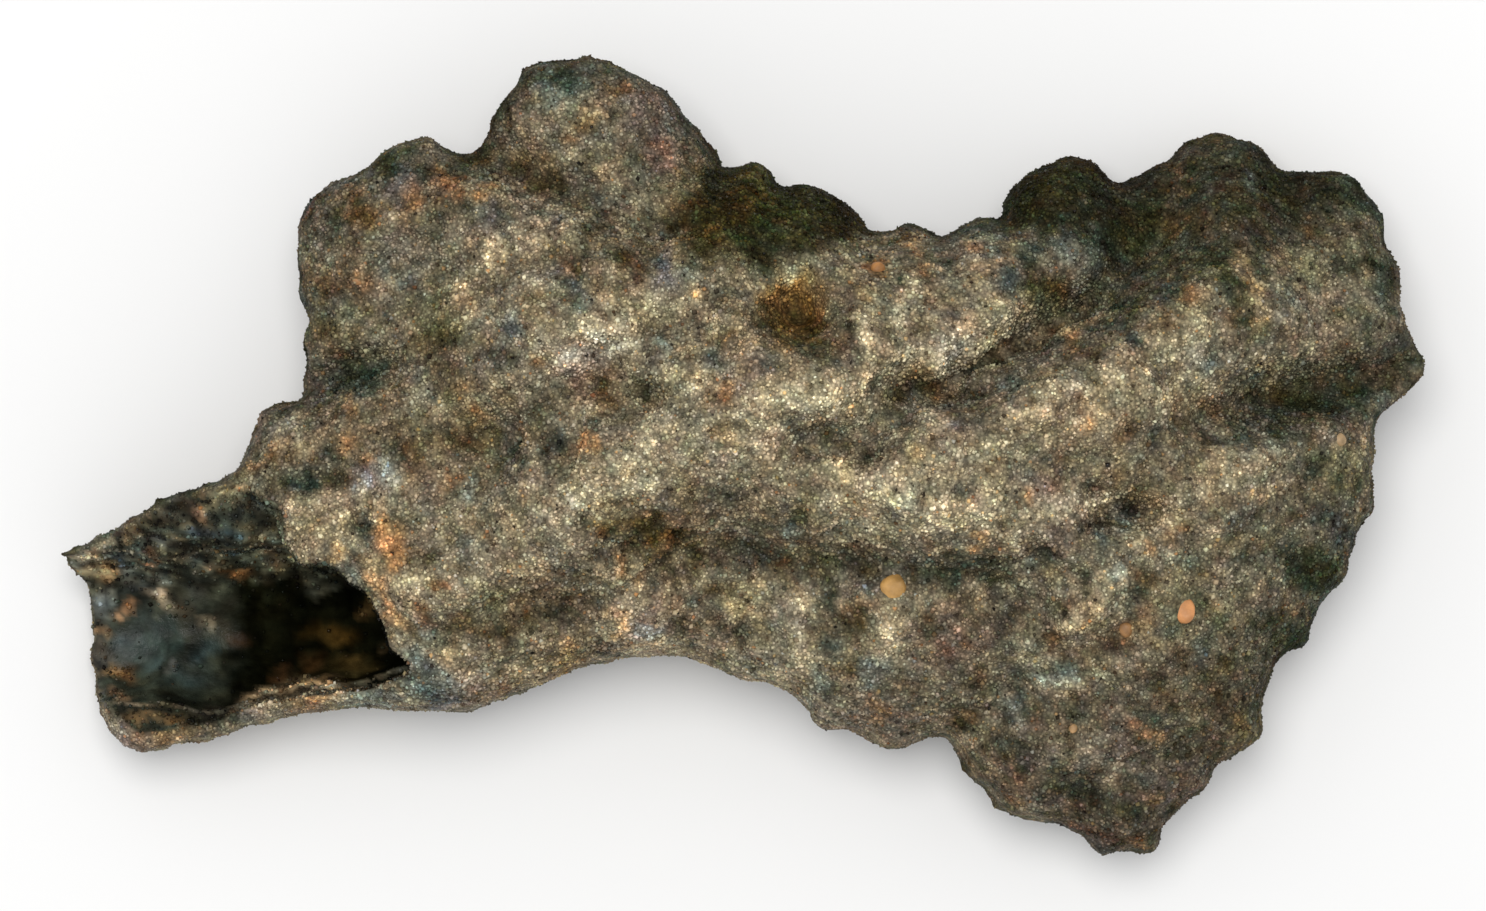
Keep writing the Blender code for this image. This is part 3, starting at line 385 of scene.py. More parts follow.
PATCHES = [
    # left shoulder and the base of the upper wing
    ([(-15.5, 13.1)], 0.8, -0.8, 0.3), ([(-14.4, 11.2)], 0.6, 0.15, 2.0), ([(-13.0, 12.4), (-12.4, 11.7)], 0.45, 0.05, 1.6),
    ([(-11.3, 11.6)], 0.35, 0.2, 2.0), ([(-17.2, 11.2), (-16.6, 10.5)], 0.6, -0.4, 1.5), ([(-18.6, 11.5)], 0.5, -0.4, 0.6),
    ([(-17.8, 10.3)], 0.6, -0.5, -0.2), ([(-19.0, 8.0), (-17.0, 7.1)], 0.5, -0.4, 0.8), ([(-17.3, 8.3), (-16.6, 7.6)], 0.45, 0.4, 1.3),
    ([(-15.6, 9.0), (-14.0, 8.5)], 0.8, 0.2, -0.2), ([(-14.6, 7.5)], 0.5, -0.15, -0.9), ([(-14.0, 5.3), (-12.8, 5.2)], 0.5, -0.6, 0.4),
    ([(-13.2, 4.5), (-13.0, 3.2)], 0.6, -0.5, 0.2), ([(-18.5, 5.7), (-17.6, 5.6)], 0.5, -0.2, 0.6), ([(-17.7, 4.6)], 0.7, -0.5, 0.6),
    ([(-17.8, 3.3), (-16.6, 3.5)], 0.65, -1.2, -0.6), ([(-11.0, 9.6), (-11.0, 8.6)], 0.5, 0.7, 0.3), ([(-12.1, 7.3), (-12.0, 6.5)], 0.5, 0.7, 0.4),
    ([(-10.5, 9.7), (-9.0, 9.4)], 0.55, 0.55, 0.0), ([(-9.0, 8.0), (-8.6, 7.3)], 0.5, 0.3, 0.2), ([(-10.2, 5.9)], 0.4, -0.2, -1.5),
    ([(-12.0, 11.0)], 0.4, -0.5, 0.0), ([(-10.8, 10.8)], 0.4, -0.5, -0.4), ([(-11.5, 13.3), (-10.3, 13.0), (-9.4, 12.3), (-8.2, 11.8)], 0.55, -0.8, 0.5),
    ([(-10.2, 15.1)], 0.5, -0.8, 0.2), ([(-9.0, 16.9), (-7.3, 16.6)], 0.55, -0.4, -1.7), ([(-8.3, 16.2)], 0.5, 0.0, -1.3),
    ([(-5.4, 16.1)], 0.35, -0.7, 1.5), ([(-6.8, 14.8)], 0.4, -0.2, 1.4), ([(-7.6, 14.0)], 0.35, 0.1, 1.2),
    ([(-7.8, 15.7)], 0.5, 0.35, 0.5), ([(-6.3, 15.3)], 0.4, 0.4, 0.4), ([(-9.0, 14.7), (-9.1, 13.9)], 0.5, 0.35, 0.2),
    ([(-5.9, 12.9)], 0.7, 0.6, 0.5), ([(-6.2, 10.4)], 0.6, -0.9, 0.2), ([(-6.5, 9.3)], 0.45, -0.5, 0.2),
    ([(-7.4, 8.4)], 0.45, -0.5, 1.1), ([(-7.4, 7.5), (-7.2, 6.8)], 0.45, -0.5, -1.4), ([(-5.6, 8.2), (-6.0, 7.3)], 0.55, 0.4, 0.3),
    ([(-10.6, 4.3)], 0.45, -0.7, -0.3), ([(-9.0, 4.2)], 0.4, -0.1, 1.4), ([(-7.4, 4.7), (-5.5, 5.0)], 0.7, 0.6, -0.5),
    ([(-3.5, 13.4)], 0.4, 0.25, 0.9), ([(-4.6, 11.6)], 0.7, 0.2, 0.1), ([(-15.3, 10.6)], 0.35, 0.45, 0.2),
    # behind the middle: the dark lobe, the brown hollow and what lies round them
    ([(-1.4, 12.1)], 0.5, -0.9, -0.8), ([(-1.2, 10.2)], 0.6, 0.45, 0.7), ([(0.7, 11.6)], 0.55, 0.5, 0.6), ([(3.0, 11.2)], 0.7, 0.25, -0.2),
    ([(0.9, 8.9)], 0.55, -1.1, 0.0), ([(-2.9, 10.3)], 0.6, -0.8, 0.4), ([(2.4, 9.5), (4.4, 9.9)], 0.5, -0.7, 0.3),
    ([(-5.0, 8.6)], 0.45, -0.6, 0.9), ([(-3.5, 8.3)], 0.5, -0.2, -1.3), ([(-1.0, 7.1)], 0.4, -0.5, 0.0),
    ([(-2.2, 7.4)], 0.45, 0.4, 0.9), ([(-3.9, 5.8)], 0.5, -0.7, 0.0), ([(-2.0, 5.9)], 0.35, -0.8, 0.0), ([(-0.9, 5.6)], 0.3, -0.4, 1.0),
    ([(-2.4, 4.8)], 0.4, 0.4, 0.4), ([(-3.5, 4.9)], 0.4, 0.3, -1.0), ([(-1.2, 4.5)], 0.4, -0.3, -1.0),
    ([(2.4, 6.95), (3.0, 6.3)], 0.5, -0.45, 4.2), ([(1.2, 6.0), (3.0, 5.2), (4.2, 4.7)], 0.7, -0.9, 0.3), ([(1.2, 6.9)], 0.5, -0.4, 1.0),
    ([(3.6, 5.8)], 0.4, -0.7, 0.3), ([(4.7, 6.8), (4.8, 5.2)], 0.35, -0.5, 0.0), ([(2.3, 8.1)], 0.35, 0.7, -0.6), ([(3.5, 8.7)], 0.5, 0.55, -0.2),
    ([(6.0, 8.4)], 0.38, -0.15, 3.0), ([(5.4, 7.3)], 0.4, 0.3, 1.0), ([(5.35, 6.0), (5.5, 4.8)], 0.42, 0.9, 0.1), ([(7.5, 7.2), (6.8, 6.4)], 0.6, 0.55, 0.0),
    ([(1.0, 4.3)], 0.55, -0.5, -0.4), ([(1.2, 3.2), (3.0, 2.6), (4.2, 3.0), (5.3, 3.8)], 0.6, 0.5, 0.1), ([(-0.7, 3.1)], 0.35, -0.2, 2.0),
    ([(-2.0, 3.6), (-3.2, 4.0)], 0.55, 0.6, 0.5), ([(-6.3, 3.4), (-5.9, 2.8)], 0.42, -0.9, 0.6), ([(-4.1, 2.8)], 0.5, -1.2, 0.0),
    ([(-5.5, 2.1)], 0.4, -0.8, 0.6), ([(3.4, 1.5)], 0.4, -0.6, 0.5), ([(2.3, 1.2), (4.0, 1.2)], 0.5, -0.6, -0.5),
    ([(7.0, 2.8), (8.0, 3.2)], 0.55, -1.1, 0.6), ([(8.6, 3.0)], 0.32, -0.2, 2.6),
    # right of the middle, up to the right-hand lobes
    ([(7.7, 9.2)], 0.4, 0.2, 1.0), ([(7.0, 9.8)], 0.4, -0.4, 0.6), ([(9.1, 8.7)], 0.35, -0.9, 0.2), ([(10.2, 9.2)], 0.4, 0.25, 1.4),
    ([(8.3, 7.9)], 0.35, 0.3, 1.0), ([(9.6, 5.8)], 0.5, 0.8, 0.6), ([(10.2, 8.0), (11.6, 8.6)], 0.45, 0.45, 0.6), ([(12.4, 8.7)], 0.42, -1.1, 0.0),
    ([(11.8, 7.6)], 0.45, -0.45, -1.8), ([(9.6, 7.2)], 0.4, -0.6, 0.0), ([(13.0, 7.6), (14.2, 7.5)], 0.5, -0.9, 1.0), ([(14.0, 9.3)], 0.8, 0.35, -0.8),
    ([(15.5, 9.0)], 0.5, 0.1, -2.0), ([(16.2, 9.6)], 0.45, -0.7, 0.0), ([(12.2, 6.5), (11.3, 6.9)], 0.55, 0.5, 0.2), ([(14.3, 5.4)], 0.4, 0.2, 1.7),
    ([(15.3, 4.6)], 0.4, -0.5, 0.4), ([(17.3, 5.2)], 0.4, -0.9, -1.2), ([(10.7, 2.8)], 0.4, -0.5, 0.0), ([(10.3, 1.8)], 0.6, -0.5, -0.5),
    ([(11.9, 3.1)], 0.4, -0.4, -1.1), ([(5.8, 0.2)], 0.55, -1.1, 0.2), ([(8.3, 1.6)], 0.35, 0.7, 0.2), ([(9.0, 1.6)], 0.28, 0.9, -1.8),
    ([(7.2, 1.4)], 0.45, -0.6, 0.2), ([(13.0, 1.9)], 0.45, 0.6, 0.2), ([(15.4, 1.6)], 0.45, 0.6, 1.3), ([(15.0, 2.6)], 0.3, -0.6, 0.8),
    ([(16.3, 3.4), (17.6, 3.9)], 0.6, 0.4, 0.0), ([(22.5, 12.2)], 0.45, 0.8, -1.6), ([(18.7, 12.6), (19.4, 12.2)], 0.5, 0.4, 0.9),
    ([(17.0, 11.7)], 0.45, 0.45, -0.3), ([(19.0, 10.4), (20.3, 10.4)], 0.6, 0.35, 0.8), ([(16.4, 10.3)], 0.6, -0.5, 0.0), ([(20.9, 9.0)], 0.5, -0.4, -0.3),
    ([(18.6, 7.1)], 0.4, -0.5, -1.1), ([(15.8, 5.7), (16.8, 5.9)], 0.45, -0.8, -0.3), ([(19.8, 7.4)], 0.42, 0.2, 2.1), ([(20.6, 7.5)], 0.45, 0.5, 0.5),
    ([(18.5, 6.0)], 0.5, -0.2, 0.9), ([(20.3, 5.7)], 0.55, 0.5, 0.3), ([(18.4, 3.6)], 0.35, -0.6, 0.0), ([(16.9, 1.2)], 0.42, -0.5, 1.1),
    ([(18.2, 1.1)], 0.45, -0.7, -0.4), ([(20.6, 0.8)], 0.38, -1.0, 0.0), ([(21.6, 8.8), (22.6, 7.6), (22.8, 6.2)], 0.38, 0.75, 0.3),
    ([(21.5, 8.0), (21.9, 7.0)], 0.42, -0.8, -0.2), ([(22.2, 6.1)], 0.45, -0.9, 0.0), ([(24.0, 9.0)], 0.5, 0.35, 0.4), ([(24.8, 9.9)], 0.38, -0.2, 1.1),
    ([(26.7, 8.4)], 0.45, -0.7, 0.0), ([(27.5, 7.8)], 0.32, 0.3, 1.1), ([(28.0, 8.4), (28.6, 7.5)], 0.5, -0.8, -0.3), ([(25.8, 7.3)], 0.45, 0.35, 0.0),
    ([(23.7, 3.1)], 0.45, 0.1, 1.4), ([(29.2, 4.3)], 0.6, -0.4, -0.5), ([(28.2, 2.7)], 0.5, 0.3, -1.0), ([(22.3, 3.3)], 0.45, -0.5, -0.9),
    ([(20.8, 4.2)], 0.5, -0.4, -0.7), ([(22.2, 0.8)], 0.4, -0.5, -1.3), ([(25.4, 1.4)], 0.4, 0.3, 0.3), ([(26.2, 0.4)], 0.5, 0.6, 0.5),
    ([(27.3, 0.8)], 0.4, 0.4, 0.3), ([(21.5, -0.3), (23.2, -0.2)], 0.6, 0.55, 0.2), ([(25.1, -0.5)], 0.5, -1.0, -0.2), ([(20.6, 2.3)], 0.4, -0.5, 0.9),
    # round the mouth
    ([(-20.6, 2.0)], 0.5, -0.6, 0.0), ([(-19.7, 1.2)], 0.55, 0.65, -0.2), ([(-20.5, 0.2)], 0.5, 0.35, 0.9), ([(-21.5, -0.6)], 0.4, 0.2, 1.1),
    ([(-19.2, -0.9)], 0.55, -1.2, -2.0), ([(-18.0, -0.6), (-17.6, -1.1)], 0.42, -0.9, 0.3), ([(-18.4, 0.4)], 0.35, -0.6, -0.3),
    ([(-17.5, 0.7)], 0.45, 0.45, 1.1), ([(-17.3, 2.4)], 0.45, 0.05, 0.9), ([(-16.0, 2.0)], 0.4, -0.5, 0.0), ([(-16.5, -0.3)], 0.35, -0.2, 1.3),
    ([(-16.8, -1.2)], 0.32, 0.9, -1.8), ([(-15.7, -0.7)], 0.5, 0.6, -0.9), ([(-16.6, -1.8)], 0.45, 0.6, 0.0), ([(-16.7, -3.0)], 0.38, -1.1, 0.0),
    ([(-15.6, -3.0), (-15.2, -4.4)], 0.6, 0.3, 2.3), ([(-18.0, -4.0)], 0.38, 0.25, 1.1), ([(-16.3, -5.2), (-15.5, -6.6), (-15.2, -7.4)], 0.45, 0.5, 1.1),
    ([(-14.7, 0.4)], 0.45, -0.9, 1.0), ([(-12.3, 0.8)], 0.7, -0.6, 0.4), ([(-10.0, 0.0)], 0.45, -0.9, 0.0), ([(-8.2, 0.4)], 0.6, -1.2, -0.3),
    ([(-9.0, 2.2)], 0.6, -0.6, 0.2), ([(-14.4, 2.4)], 0.8, 0.25, -0.2), ([(-13.6, 1.9)], 0.3, 0.4, 0.0), ([(-12.5, 2.8)], 0.45, 0.3, 0.4),
    ([(-10.9, 3.3)], 0.45, 0.4, 0.1), ([(-9.3, 1.0)], 0.35, 0.35, 0.2), ([(-11.6, 1.9)], 0.28, 0.0, 1.7), ([(-12.0, -1.5)], 0.3, 0.5, -2.4),
    ([(-12.7, -1.3)], 0.25, -0.1, 1.6), ([(-13.2, -1.3)], 0.4, 0.45, 0.3), ([(-7.1, -2.2)], 0.28, 0.7, -0.6), ([(-13.7, -4.3)], 0.45, -0.7, -0.3),
    ([(-12.4, -3.8)], 0.4, -0.4, -0.8), ([(-11.0, -3.4)], 0.35, 0.0, 1.2), ([(-14.3, -5.8)], 0.5, 0.5, 0.1), ([(-12.9, -5.3)], 0.25, -0.1, 2.0),
    ([(-13.9, -6.7)], 0.38, -0.5, 1.3), ([(-13.8, -7.9)], 0.36, 0.35, -2.6), ([(-12.4, -7.3), (-11.2, -7.9), (-10.4, -7.7)], 0.48, -0.7, 0.8),
    ([(-9.3, -6.6)], 0.3, -0.9, 1.5), ([(-7.9, -6.8)], 0.7, -0.9, -0.3), ([(-9.2, -5.6)], 0.45, -0.5, 0.5), ([(-9.4, -7.6)], 0.4, 0.3, -0.1),
    ([(-12.8, -8.8)], 0.42, 0.5, 0.5), ([(-12.5, -9.8)], 0.4, 0.4, 0.3), ([(-9.3, -9.6)], 0.5, 0.55, 0.2), ([(-10.7, -10.2)], 0.35, -0.4, 1.1),
    ([(-14.6, -9.3), (-13.0, -10.4)], 0.6, -0.45, -2.4), ([(-15.5, -10.6), (-17.0, -10.6)], 0.5, -0.3, -1.1), ([(-18.8, -10.4)], 0.5, 0.1, 0.9),
    ([(-21.0, -11.3)], 0.6, 0.25, 0.6), ([(-24.5, -12.0), (-26.6, -12.2)], 0.5, 0.25, 0.7),
    # lower middle
    ([(-6.7, 0.6)], 0.38, 0.3, 1.9), ([(-4.6, 0.2), (-3.8, 1.0)], 0.5, 0.4, 0.0), ([(-3.1, -1.4)], 0.38, -0.8, -0.3), ([(-0.6, -1.7), (-0.3, -2.1)], 0.35, -0.6, 0.0),
    ([(-4.3, -3.1), (-3.2, -3.5)], 0.7, -0.6, 1.2), ([(-3.8, -2.5)], 0.35, -0.9, 1.0), ([(-6.1, -3.3)], 0.35, -0.8, 2.8), ([(-2.0, -4.3)], 0.42, -0.6, 0.0),
    ([(0.6, -3.9), (1.3, -4.3)], 0.6, -0.5, -0.5), ([(1.8, -4.4)], 0.35, -0.3, 1.8), ([(2.5, -2.6)], 0.45, -0.9, 0.5), ([(2.3, -3.3)], 0.35, 0.3, -2.0),
    ([(5.2, -4.2), (5.1, -4.9)], 0.42, -0.6, 0.4), ([(-2.7, -5.1)], 0.4, -1.1, 0.0), ([(-4.6, -5.2)], 0.4, 0.4, 0.7), ([(-5.5, -4.6)], 0.4, 0.1, 1.4),
    ([(-6.2, -4.2)], 0.35, -0.5, -0.2), ([(-7.5, -4.9)], 0.4, -0.4, -0.3), ([(-5.3, -6.7), (-5.4, -7.4)], 0.45, 0.6, 0.8), ([(-4.1, -7.5)], 0.32, 0.5, -2.2),
    ([(-3.0, -6.5)], 0.5, 0.4, 0.6), ([(-0.9, -5.8)], 0.42, -0.8, 0.8), ([(-1.9, -6.3)], 0.35, -0.3, -1.1), ([(-2.8, -7.3)], 0.4, -0.6, 0.2),
    ([(-1.2, -7.4)], 0.4, -0.6, 0.2), ([(0.0, -7.8)], 0.4, -0.8, 0.4), ([(-2.0, -8.3)], 0.35, -0.4, -0.3), ([(0.8, -5.7)], 0.45, 0.8, 0.4),
    ([(-0.2, -6.7), (1.2, -6.8)], 0.45, 0.35, 0.4), ([(2.6, -6.6)], 0.5, 0.8, 0.1), ([(3.8, -6.7)], 0.45, -0.8, -1.3), ([(3.9, -8.2)], 0.38, -0.5, -1.1),
    ([(5.0, -7.1)], 0.4, -0.9, 1.3), ([(5.4, -5.7)], 0.38, 0.1, -1.1), ([(4.7, -9.3)], 0.38, -0.7, 1.3), ([(6.4, -7.4), (6.2, -8.4)], 0.5, 0.8, 0.1),
    ([(2.8, -9.2)], 0.6, 0.4, 0.3), ([(2.5, -10.1)], 0.35, -0.6, 0.6), ([(3.3, -9.9)], 0.25, 0.6, -1.2), ([(5.5, -9.7), (6.4, -9.3)], 0.5, 0.0, -0.7),
    ([(6.2, -11.2)], 0.45, -0.2, 1.3), ([(-6.6, -8.4), (-5.6, -8.7)], 0.38, -0.7, 0.0), ([(-7.6, -8.3)], 0.42, 0.5, 0.5), ([(7.2, -1.8)], 0.5, 0.4, -0.2),
    ([(6.5, -2.5)], 0.32, -0.7, -0.3), ([(4.4, -0.9)], 0.5, 0.4, 0.2), ([(8.6, -2.9), (10.2, -2.5)], 0.55, 0.5, 0.1), ([(9.6, -1.5)], 0.38, -0.9, -0.3),
    ([(9.9, 0.5)], 0.5, 0.5, 0.0), ([(7.8, 0.6)], 0.5, 0.4, 0.7), ([(4.4, 0.6)], 0.3, -0.5, 0.7), ([(3.0, -0.1)], 0.35, -0.5, -0.5),
    ([(12.7, -1.8)], 0.38, 0.2, 1.4), ([(13.2, -0.5)], 0.5, -0.45, 0.2), ([(12.6, -1.0)], 0.5, -0.3, -0.3), ([(10.5, -3.6)], 0.3, 0.3, 1.5),
    ([(9.3, -3.8)], 0.45, -0.5, -0.2), ([(13.5, -4.1)], 0.55, -1.1, 0.1), ([(12.7, -4.8)], 0.38, -0.4, -1.1), ([(16.2, -2.7)], 0.33, -1.2, 0.4),
    ([(17.3, -2.2)], 0.5, -1.2, 0.0), ([(15.5, -2.9)], 0.45, -0.8, 0.0), ([(17.0, -2.85)], 0.35, 0.2, -2.4), ([(15.7, -3.7)], 0.38, -0.4, -1.3),
    ([(15.3, -1.3)], 0.38, -0.7, 0.2), ([(16.8, -0.7)], 0.45, -0.4, 0.4), ([(15.0, -5.3)], 0.4, -0.6, -0.2), ([(16.7, -5.1)], 0.34, 0.9, -2.6),
    ([(17.4, -6.1)], 0.4, -0.8, -0.9), ([(17.9, -5.4)], 0.35, -0.5, 0.9), ([(18.2, -3.9)], 0.36, 0.1, 1.8), ([(17.4, -3.9)], 0.42, 0.5, 0.2),
    ([(12.2, -6.6)], 0.5, -1.0, 0.0), ([(11.4, -7.3)], 0.5, -0.8, 0.2), ([(14.0, -6.6)], 0.45, -0.9, 0.4), ([(8.3, -7.4)], 0.45, -0.9, 0.4),
    ([(10.2, -6.9)], 0.4, -0.6, 0.1), ([(13.8, -8.1)], 0.36, -0.6, 1.1), ([(16.3, -8.2)], 0.4, -0.6, 0.0), ([(17.0, -7.5)], 0.38, -0.3, 1.6),
    ([(9.3, -8.3)], 0.42, -0.5, 0.9), ([(15.6, -6.5), (14.3, -7.4)], 0.5, 0.7, 0.2), ([(15.9, -5.4)], 0.4, 0.5, 0.1), ([(11.0, -5.8)], 0.4, -0.5, -0.2),
    # the lower right
    ([(19.2, -3.1)], 0.38, 0.1, 1.4), ([(20.4, -1.2)], 0.7, 0.55, 0.1), ([(22.7, -1.6)], 0.45, 0.55, 0.6), ([(22.3, -2.6)], 0.6, -0.6, -0.6),
    ([(18.8, -2.6)], 0.45, 0.4, 0.1), ([(20.8, -3.3)], 0.35, 0.4, 0.1), ([(22.0, -4.3)], 0.5, -0.5, 0.4), ([(19.9, -4.6)], 0.36, -0.6, -0.6),
    ([(25.6, -2.5), (26.4, -3.4)], 0.7, -0.4, -0.4), ([(24.6, -4.6), (25.8, -5.2)], 0.7, -0.9, 0.0), ([(23.0, -5.0), (22.7, -6.2)], 0.3, 0.35, 0.3),
    ([(24.3, -6.5)], 0.4, 0.15, 0.8), ([(23.2, -7.3)], 0.45, -0.7, 0.4), ([(24.4, -8.1)], 0.6, -0.7, -0.3), ([(21.3, -6.6)], 0.45, 0.4, 0.1),
    ([(18.4, -7.1), (17.8, -7.3)], 0.42, 0.5, 0.3), ([(20.3, -8.1)], 0.5, -0.3, -0.7), ([(19.3, -8.9)], 0.4, -0.6, 0.3), ([(21.3, -9.0)], 0.38, -0.8, 0.7),
    ([(18.3, -9.7)], 0.42, -0.6, 0.1), ([(18.9, -10.6)], 0.5, -0.4, 0.2), ([(21.0, -10.9)], 0.6, -0.5, 0.6), ([(17.8, -11.4)], 0.5, -0.5, 0.0),
    ([(22.2, -11.8)], 0.4, 0.1, 0.9), ([(14.0, -9.2)], 0.42, 0.2, -1.8), ([(13.3, -9.8), (14.5, -10.0)], 0.36, 0.75, -0.9), ([(12.3, -8.9)], 0.4, 0.3, 0.2),
    ([(15.6, -9.0)], 0.5, 0.3, 0.2), ([(14.5, -11.0)], 0.38, -0.8, 0.3), ([(13.0, -11.1)], 0.4, 0.1, 1.1), ([(10.3, -9.6)], 0.4, -0.6, 0.4),
    ([(11.2, -9.7)], 0.3, -0.6, 0.0), ([(9.4, -11.3), (10.2, -11.3)], 0.35, -0.5, 0.6), ([(12.0, -11.0)], 0.5, 0.3, -0.5), ([(12.0, -12.8)], 0.5, -0.5, 0.0),
    ([(15.2, -12.7)], 0.36, 0.6, 0.1), ([(13.9, -12.9)], 0.42, 0.3, 0.3), ([(17.4, -12.2), (18.2, -12.4)], 0.36, 0.5, 1.8), ([(16.7, -13.8)], 0.45, 0.5, 0.1),
    ([(17.9, -14.0)], 0.4, 0.0, -1.0), ([(14.6, -14.2), (15.6, -14.7)], 0.6, -0.8, -0.3), ([(12.4, -14.2)], 0.38, 0.1, 1.2), ([(12.1, -15.2)], 0.36, 0.1, 1.2),
    ([(14.8, -15.5)], 0.36, 0.1, 1.2), ([(18.4, -14.8)], 0.4, 0.0, 1.3), ([(20.5, -13.2)], 0.38, 0.2, 0.9), ([(16.0, -16.4)], 0.45, -0.5, 0.0),
    ([(17.4, -16.8)], 0.4, 0.0, 1.3),
]
